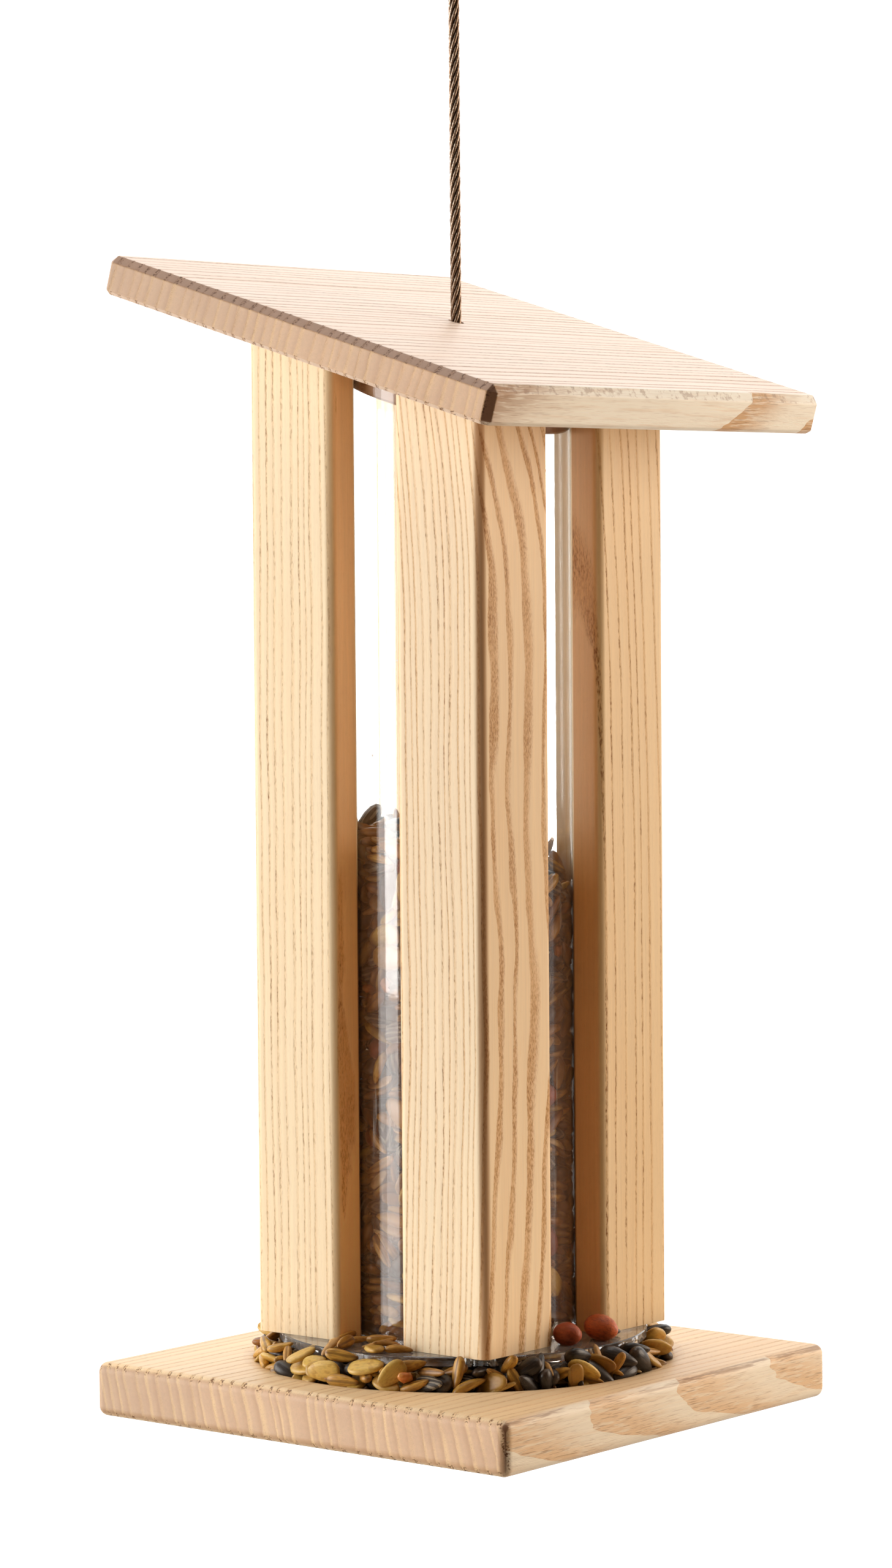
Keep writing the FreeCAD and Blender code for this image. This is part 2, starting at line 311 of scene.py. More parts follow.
softbox("key_left_high", -1, 71, 1.35, 0.70, 0.33, 0.71, 5.6, (1.0, 0.985, 0.96), 0.70)
softbox("key_left_eye", -1, 73.3, 1.35, 0.225, 0.45, 0.24, 8.2, (1.0, 0.985, 0.96), 0.225)
softbox("key_left_mid", -1, 71, 1.35, 0.0525, 0.33, 0.105, 12.0, (1.0, 0.985, 0.96), 0.0525)
softbox("key_left_low", -1, 71, 1.35, -0.075, 0.33, 0.15, 5.0, (1.0, 0.985, 0.96), -0.075)
softbox("key_left_foot", -1, 71, 1.35, -0.3075, 0.33, 0.315, 4.0, (1.0, 0.985, 0.96), -0.3075)
softbox("wall_left_near", -1, 82.6, 1.55, 0.25, 0.27, 1.6, 2.9, (1.0, 0.985, 0.96), 0.25)
softbox("wall_left", -1, 98, 1.5, 0.25, 0.54, 1.6, 5.2, (1.0, 0.985, 0.96), 0.25)
softbox("wall_left_far", -1, 113.4, 1.55, 0.25, 0.27, 1.6, 2.9, (1.0, 0.985, 0.96), 0.25)
softbox("key_right_high", 1, 100, 1.35, 0.5325, 0.75, 0.885, 6.1, (1.0, 0.83, 0.67), 0.5325)
low = softbox("key_right_low", 1, 100, 1.35, -0.1925, 0.75, 0.565, 6.1, (1.0, 0.83, 0.67), -0.1925)
low.visible_glossy = low.visible_transmission = False
softbox("wall_back", 1, 180, 1.9, 0.55, 2.6, 2.4, 1.3, (1.0, 0.985, 0.97), 0.3)
panel("sky", Vector((-0.25, 0.25, 1.75)), Vector((0, 0, 0.3)), 1.5, 1.5, 2.7, (1.0, 0.985, 0.97))
panel("under", Vector((0, 0, -0.40)), Vector((0, 0, 0)), 1.6, 1.6, 0.22, (1.0, 0.80, 0.60))

# ------------------------------------------------------------------ wood
CREAM = srgb(246, 223, 184)
GOLD = srgb(222, 180, 122)
TAN = srgb(222, 180, 132)
PORE = srgb(142, 92, 40)
END_BASE = srgb(214, 179, 144)
END_LINE = srgb(240, 208, 162)
END_DARK = srgb(192, 152, 116)


def wood(name, U, V, W, centre, seed, period, pith=140.0, wander=(2.0, 0.7, 0.25), lean=None, figure=None, early=0.34,
         cream=CREAM, gold=GOLD, tan=TAN, tint=(1.0, 1.0, 1.0), line=0.66, pores=1.0, late=0.28, end_lean=0.0, browning_and_painted_shade=None,
         rough=0.48, uneven=0.9, shade=None, end_mix=1.0, end_gain=1.0, end_painted_shade=None, band=None, bore=False):
    """Ring-porous wood as a solid: U across the rings, V along them, W along the grain; millimetres from centre."""
    g = Graph(name)
    U, V, W = Vector(U).normalized(), Vector(V).normalized(), Vector(W).normalized()
    C = Vector(centre)
    P = g.coords("Object")
    N = g.coords("Normal")
    u = g.dot(P, tuple(U * 1000)) - U.dot(C)
    v = g.dot(P, tuple(V * 1000)) - V.dot(C)
    w = g.dot(P, tuple(W * 1000)) - W.dot(C)
    s = seed * 13.71
    n1 = g.noise(g.vec(u * (1 / 42) + s, v * (1 / 42), w * (1 / 150)), detail=1) - 0.5
    n2 = g.noise(g.vec(u * (1 / 12) + s, v * (1 / 12), w * (1 / 52)), detail=1) - 0.5
    n3 = g.noise(g.vec(u * (1 / 3) + s, v * (1 / 3), w * (1 / 13)), detail=1) - 0.5
    r = g.sqrt((u + pith) * (u + pith) + v * v) - pith
    if end_lean:
        r = r + v * end_lean
    r = r + n1 * (2 * wander[0]) + n2 * (2 * wander[1]) + n3 * (2 * wander[2])
    if lean is not None:
        r = r + lean(g, u, v, w)
    r = r + (g.noise(g.vec(r * (1 / (2.4 * period)), 5.3 + s, 0.7), detail=1) - 0.5) * (2 * uneven * period)
    ph = r * (1 / period) + 40.0
    f = g.fract(ph)
    k = g.floor(ph)
    h = g.hash(k + s)
    h2 = g.hash(k + s + 0.37)
    # early wood: a soft golden band that opens each ring, with the row of large pores at its start
    E = g.step(f, 0.0, 0.09) * (1.0 - g.step(f, early * 0.55, early * 1.35))
    row = g.step(f, 0.0, 0.07) * (1.0 - g.step(f, 0.14, 0.30))
    L = g.power(g.clamp(f), 1.7)
    flat = None
    if band is not None:
        # on the face that cuts the rings at a slant each row of pores spreads into a broad stippled band
        flat = g.step(g.dot(N, band), 0.75, 0.97)
    # pores: fine dashes along the grain; each row comes and goes along its length
    dash = g.step(g.noise(g.vec(u * (1 / 0.42) + s, v * (1 / 0.42), w * (1 / 2.3)), detail=1.5, rough=0.6), 0.44, 0.58)
    grit = g.step(g.noise(g.vec(u * (1 / 0.30) + s, v * (1 / 0.30), w * (1 / 0.9)), detail=1), 0.40, 0.62)
    fade = g.step(g.noise(g.vec(k * 3.17 + s, h * 9.0, w * (1 / 26)), detail=1.5), 0.32, 0.62, 0.16, 1.0)
    small = g.step(g.noise(g.vec(u * (1 / 0.34) + s, v * (1 / 0.34), w * (1 / 1.7)), detail=0.5), 0.60, 0.72)
    pore = g.clamp(row * (0.10 + 0.90 * dash) * (0.55 + 0.45 * grit) * fade * (0.28 + 0.72 * h) + small * (0.05 + 0.30 * E))
    # fibres: long faint streaks over short fine ones
    fs = g.noise(g.vec(u * (1 / 1.1) + s, v * (1 / 1.1), w * (1 / 46)), detail=3, rough=0.62)
    fine = g.noise(g.vec(u * (1 / 0.33) + s, v * (1 / 0.33), w * (1 / 8.0)), detail=2, rough=0.6)
    broad = g.noise(g.vec(u * (1 / 22) + s, v * (1 / 22), w * (1 / 110)), detail=2)
    col = g.mix(E * (line * (0.45 + 0.55 * h2)) * (0.70 + 0.30 * grit), cream, gold)
    col = g.mix(L * (late * (0.3 + 0.7 * h)), col, tan)
    col = g.mix(g.step(fine, 0.54, 0.74) * 0.20 + g.step(broad, 0.46, 0.68) * 0.16, col, gold)
    if flat is None:
        col = g.mix(pore * pores, col, PORE)
    else:
        spread = g.step(f, 0.0, 0.10) * (1.0 - g.step(f, 0.26, 0.50))
        dot2 = g.step(g.noise(g.vec(u * (1 / 0.36) + s, v * (1 / 0.36), w * (1 / 1.25)), detail=1.5, rough=0.6), 0.43, 0.58)
        stipple = g.clamp(spread * (0.35 + 0.65 * dot2) * g.step(fade, 0.2, 1.0, 0.55, 1.0))
        gcol = g.mix(stipple * 0.80, col, srgb(184, 132, 66))
        gcol = g.mix(stipple * dot2 * grit * 0.42, gcol, srgb(128, 84, 38))
        col = g.mix(flat, g.mix(pore * pores, col, PORE), gcol)
    ht = fs * 0.30 + fine * 0.12 - pore * 1.0 - E * 0.12
    # faces cut along the rings' sides: broad pale and tan waves with short streaks
    if figure is not None:
        for mask, z1, fcream, ftan in figure(g, P, n2, n3):
            zone = g.fract(z1)
            zone = g.step(zone, 0.0, 0.03) * zone
            stk = g.noise(g.vec(u * (1 / 0.8) + s, v * (1 / 0.8), w * (1 / 9.0)), detail=2, rough=0.6)
            tick = g.step(g.noise(g.vec(u * (1 / 0.30) + s, v * (1 / 0.30), w * (1 / 6.5)), detail=1.5, rough=0.6), 0.54, 0.68)
            wide = g.step(g.noise(g.vec(u * (1 / 1.6) + s, v * (1 / 1.6), w * (1 / 22.0)), detail=2, rough=0.55), 0.50, 0.70)
            zc = g.mix(g.step(zone, 0.10, 0.85) * 0.92, fcream, ftan)
            zc = g.mix(wide * 0.24, zc, ftan)
            zc = g.mix(g.step(stk, 0.50, 0.66) * 0.50, zc, fcream)
            zc = g.mix(tick * (0.10 + 0.54 * zone), zc, srgb(148, 101, 56))
            col = g.mix(mask, col, zc)
            ht = ht - tick * mask * 0.4
    # end grain: pinker and darker, with pale early-wood lines and fine pore dots
    nw = g.abs(g.dot(N, tuple(W)))
    eg = g.step(nw, 0.55, 0.88) * end_mix
    dot = g.step(g.noise(g.vec(u * (1 / 0.45) + s, v * (1 / 0.45), w * 0.3), detail=1), 0.56, 0.70)
    ebroad = g.noise(g.vec(u * (1 / 16) + s, v * (1 / 9), 0.3), detail=2)
    ecol = g.mix(E * ((0.25 + 0.75 * h2) * end_gain), END_BASE, END_LINE)
    ecol = g.mix(g.step(f, 0.55, 1.0) * (0.22 + 0.55 * h), ecol, END_DARK)
    ecol = g.mix(g.step(ebroad, 0.42, 0.66) * 0.30, ecol, srgb(204, 166, 134))
    ecol = g.mix(dot * (0.10 + 0.22 * E), ecol, srgb(176, 130, 84))
    if end_painted_shade is not None:
        # painted shade: the board's end faces are painted darker towards one side and a little lighter towards the
        # other, standing in for light falling off across them
        by = g.lin(u, *end_painted_shade[0]) + g.lin(u, *end_painted_shade[1])
        ecol = g.mix(1.0, ecol, g.vec(by, by, by), "MULTIPLY")
    col = g.mix(eg, col, ecol)
    # rounded edges across the grain cut the pores open: a cluster of dark ticks where each ring meets the rounding
    arris = g.step(nw, 0.22, 0.42) * (1.0 - g.step(nw, 0.86, 0.98))
    fleck = g.step(g.noise(g.vec(u * (1 / 0.55) + s, v * (1 / 0.55), w * (1 / 1.3)), detail=1), 0.50, 0.60)
    col = g.mix(arris * fleck * (0.08 + 0.88 * g.step(f, 0.0, 0.1) * (1.0 - g.step(f, early, early * 1.5))), col, srgb(120, 78, 38))
    # browned edges and painted shade on the corner bevels, both mixed in as the same dark brown
    if browning_and_painted_shade is not None:
        b = browning_and_painted_shade(g, N, P)
        bcol = g.mix(g.clamp(fleck * E * 0.9 + pore * 0.4), srgb(150, 112, 86), srgb(92, 60, 40))
        col = g.mix(b, col, bcol)
    val = (1.0 + (fs - 0.5) * 0.24) * (1.0 + (fine - 0.5) * 0.12) * (1.0 + (broad - 0.5) * 0.16)
    grey = g.vec(val * tint[0], val * tint[1], val * tint[2])
    col = g.mix(1.0, col, grey, "MULTIPLY")
    # painted light and shade: each listed face normal gets its own colour multiplier, standing in for shade, bounce
    # light and light falling off
    if shade is not None:
        for nrm, by in shade:
            if len(by) == 2:
                # the painted shade changes from the foot to the head of the piece
                by = g.mix(g.step(w, -145.0, 10.0), by[0], by[1])
            col = g.mix(g.step(g.dot(N, nrm), 0.75, 0.97), col, g.mix(1.0, col, by, "MULTIPLY"))
    if bore:
        # painted light: the hollow that takes the tube is painted pale above the seed; below the seed's top it is
        # painted dark as painted shade and seed dust
        px, py, pz = g.split(P)
        inner = 1.0 - g.step(g.sqrt(px * px + py * py), 0.0366, 0.0370)
        painted_light_pale_bore = g.mix(g.step(fs, 0.42, 0.66) * 0.5, srgb(255, 240, 212), srgb(246, 222, 186))
        col = g.mix(inner, col, g.mix(g.step(pz, 0.158, 0.172), srgb(150, 110, 76), painted_light_pale_bore))
    ro = rough + (fs - 0.5) * 0.16 + E * 0.08 + pore * 0.12
    sh = g.principled(Base_Color=col, Roughness=ro, Normal=g.bump(ht, 0.30, 0.00022))
    return g.out(sh)


X, Y, Z = (1, 0, 0), (0, 1, 0), (0, 0, 1)
TILT = math.radians(16.46)
ROOF_U = (math.cos(TILT), 0, -math.sin(TILT))          # down the fall
ROOF_N = (math.sin(TILT), 0, math.cos(TILT))           # out of the roof's top


def lean_front(g, u, v, w):
    a = g.mx(w - 40.0, 0.0)                              # w from the middle of the post
    b = g.mx(w * -1.0 - 75.0, 0.0)
    return a * a * 0.00062 + b * b * 0.00045 + g.sin(w * 0.045 + 0.4) * 0.55


def lean_right(g, u, v, w):
    a = g.mx(w + 55.0, 0.0)
    return a * a * 0.00020


def figure_tray(g, P, n2, n3):
    x, y, z = [c * 1000.0 for c in g.split(P)]
    zz = z - 13.5
    a = (y + 43.0) * (1 / 46.0) - zz * zz * (1 / 207.0) + n2 * 0.50 + n3 * 0.16
    b = (y * -1.0 + 20.0) * (1 / 52.0) - (z - 4.0) * (z - 4.0) * (1 / 190.0) + n2 * 0.6 + n3 * 0.16
    pale, tan = srgb(255, 250, 234), srgb(239, 208, 168)
    # painted shade: the -X end's pale and tan are darker than the +X end's
    return [(g.step(x, 76.5, 79.0), 30.0 - a, pale, tan), (g.step(x * -1.0, 76.5, 79.0), 50.0 - b, srgb(230, 204, 166), srgb(202, 162, 118))]


def figure_roof(g, P, n2, n3):
    x = g.dot(P, tuple(Vector(ROOF_U) * 1000)) + 332.7 * math.sin(TILT)
    t = g.dot(P, tuple(Vector(ROOF_N) * 1000)) - 332.7 * math.cos(TILT)     # 0 at the top, -12 below
    y = g.dot(P, (0, 1000, 0))
    yy = y - (t + 6.0) * 1.5 + n2 * 12.0 + n3 * 6.0
    a = g.lin(yy, -190, -92, -1, 0) + g.lin(yy, -92, 38, 0, 1) + g.lin(yy, 38, 80, 0, 1) + g.lin(yy, 80, 160, 0, 1)
    b = (y + t * 1.6) * (1 / 58.0) + n2 * 0.6 + n3 * 0.3
    pale, tan = srgb(255, 253, 242), srgb(212, 168, 116)
    # the tan dies away faster here: mostly pale wood
    def quick(q, n):
        f = g.fract(q)
        return g.floor(q) + g.power(g.clamp(f), n)
    near = g.step(yy, 35.0, 39.0, 3.4, 1.5)
    brown = g.mix(g.step(yy, -78.0, -38.0), srgb(168, 122, 76), tan)
    # painted shade: the -X end's pale and tan are darker than the +X end's
    return [(g.step(x, 78.2, 81.0), quick(30.0 - a, near), pale, brown), (g.step(x * -1.0, 67.2, 70.0), quick(50.0 - b, 2.6), srgb(228, 202, 166), srgb(188, 144, 98))]


def roof_browning_and_painted_shade(g, N, P):
    """Router-browned bevels across the grain, and painted shade on the four upright corner bevels."""
    a = g.abs(g.dot(N, Y))
    up = g.dot(N, ROOF_N)
    side = g.abs(g.dot(N, ROOF_U))
    end = g.step(a, 0.52, 0.66) * (1.0 - g.step(a, 0.76, 0.90)) * g.step(up, 0.40, 0.60)
    # painted shade: the upright corner bevels are painted fully dark
    corner_painted_shade = g.step(a, 0.45, 0.62) * g.step(side, 0.45, 0.62)
    edge = g.step(side, 0.40, 0.60) * (1.0 - g.step(side, 0.80, 0.93)) * g.step(up, 0.30, 0.50)
    spot = g.step(g.noise(P, scale=420.0, detail=2, rough=0.6), 0.50, 0.66)
    return g.clamp(end * 0.80 + corner_painted_shade + edge * spot * 0.45)


def tray_browning_and_painted_shade(g, N, P):
    """Browned spots along the long edges, a thin line of painted shade down the upright corners and a pin mark at the
    near one.
    """
    x, y, z = [c * 1000.0 for c in g.split(P)]
    nx, ny, nz = g.split(N)
    # painted shade: the upright corner roundings get a thin dark line, darker towards the top
    upright = g.step(g.mn(g.abs(nx), g.abs(ny)), 0.58, 0.69)
    edge = g.step(g.abs(nx), 0.35, 0.55) * (1.0 - g.step(g.abs(nx), 0.82, 0.95)) * g.step(nz, 0.25, 0.45)
    run = g.step(g.noise(g.vec(x * 0.5, y * 0.055, z * 0.9), detail=3, rough=0.6), 0.44, 0.60)
    dx, dy, dz = x - 79.3, y + 79.3, z - 14.6
    pin = 1.0 - g.step(g.sqrt(dx * dx + dy * dy + dz * dz), 0.7, 1.5)
    return g.clamp(upright * g.step(z, 1.0, 13.0, 0.45, 0.95) + edge * run * 0.62 + pin)


th = math.radians(19.4)
ZC = 172.0
woods = {
    "post_left": wood("ash_left", X, Y, Z, (-28.5, -28.5, ZC), 1.0, 2.8, pith=150, wander=(1.6, 0.7, 0.20), tint=(0.96, 0.958, 0.93),
                      # painted bounce light: the side facing the gap is painted warmer, lightest at the foot
                      shade=[(X, ((1.20, 1.02, 0.86), (1.07, 0.89, 0.74)))], bore=True),
    "post_front": wood("ash_front", (math.cos(th), math.sin(th), 0), (-math.sin(th), math.cos(th), 0), Z, (28.5, -28.5, ZC), 2.0,
                       2.45, pith=170, wander=(1.5, 1.0, 0.26), lean=lean_front, tint=(1.0, 0.985, 0.97), line=0.85, gold=srgb(216, 168, 104), uneven=0.85, band=X,
                       bore=True,
                       # painted light and shade: the near face and the +X face are lighter at the foot and darker at
                       # the head, the gap side is warmer, the rounded near corner darker
                       shade=[((0, -1, 0), ((1.02, 1.06, 1.10), (0.945, 0.945, 0.95))), (X, ((1.07, 1.11, 1.18), (0.95, 0.935, 0.93))), ((-1, 0, 0), (1.06, 0.90, 0.76)), ((0.7071, -0.7071, 0), (0.80, 0.66, 0.58))]),
    "post_right": wood("ash_right", Y, X, Z, (28.5, 28.5, ZC), 3.0, 4.3, pith=120, wander=(1.4, 0.7, 0.2), lean=lean_right,
                       early=0.26, tint=(0.95, 0.925, 0.865), bore=True,
                       # painted shade: the side facing the gap is painted darker and more orange, darkest at the head
                       shade=[((0, -1, 0), ((1.02, 0.78, 0.66), (0.82, 0.60, 0.44)))]),
    "post_back": wood("ash_back", (0.94, -0.34, 0), (0.34, 0.94, 0), Z, (-28.5, 28.5, ZC), 4.0, 3.4, pith=110, wander=(1.8, 0.8, 0.25), bore=True),
    "tray": wood("ash_tray", X, Z, Y, (0, 0, 8), 5.0, 4.4, pith=260, wander=(2.2, 0.8, 0.22), end_lean=0.22, figure=figure_tray,
                 # painted shade: the tray's end faces darken towards one side, and its upright corner roundings carry a
                 # thin line of painted shade
                 browning_and_painted_shade=tray_browning_and_painted_shade, early=0.34, tint=(0.985, 0.955, 0.925), pores=0.62,
                 end_painted_shade=((-78, -20, 0.80, 1.0), (-20, 75, 0.0, 0.07))),
    "roof": wood("ash_roof", ROOF_U, ROOF_N, Y, (0, 0, 326.0), 6.0, 3.9, pith=300, wander=(2.0, 0.7, 0.2), end_lean=-0.10,
                 # painted shade: the roof's end faces darken towards one side, and its upright corner bevels are
                 # painted dark
                 figure=figure_roof, browning_and_painted_shade=roof_browning_and_painted_shade, early=0.34, end_gain=0.62, end_painted_shade=((-68, 10, 0.80, 0.98), (10, 78, 0.0, 0.08)), cream=srgb(245, 227, 211), gold=srgb(200, 160, 128), line=1.0,
                 tan=srgb(232, 198, 168), pores=0.95, rough=0.46,
                 # painted shade: both end faces are painted darker
                 shade=[((0, -1, 0), (0.90, 0.84, 0.76)), ((0, 1, 0), (0.90, 0.84, 0.76))]),
    # painted shade: the plug under the roof is tinted very dark
    "roof_plug": wood("plug_wood", Y, Z, X, (0, 0, 315.0), 7.0, 2.4, pith=90, tint=(0.38, 0.26, 0.19), late=0.5),
}
for n, m in woods.items():
    me = nodes[n].data
    me.materials.clear()
    me.materials.append(m)

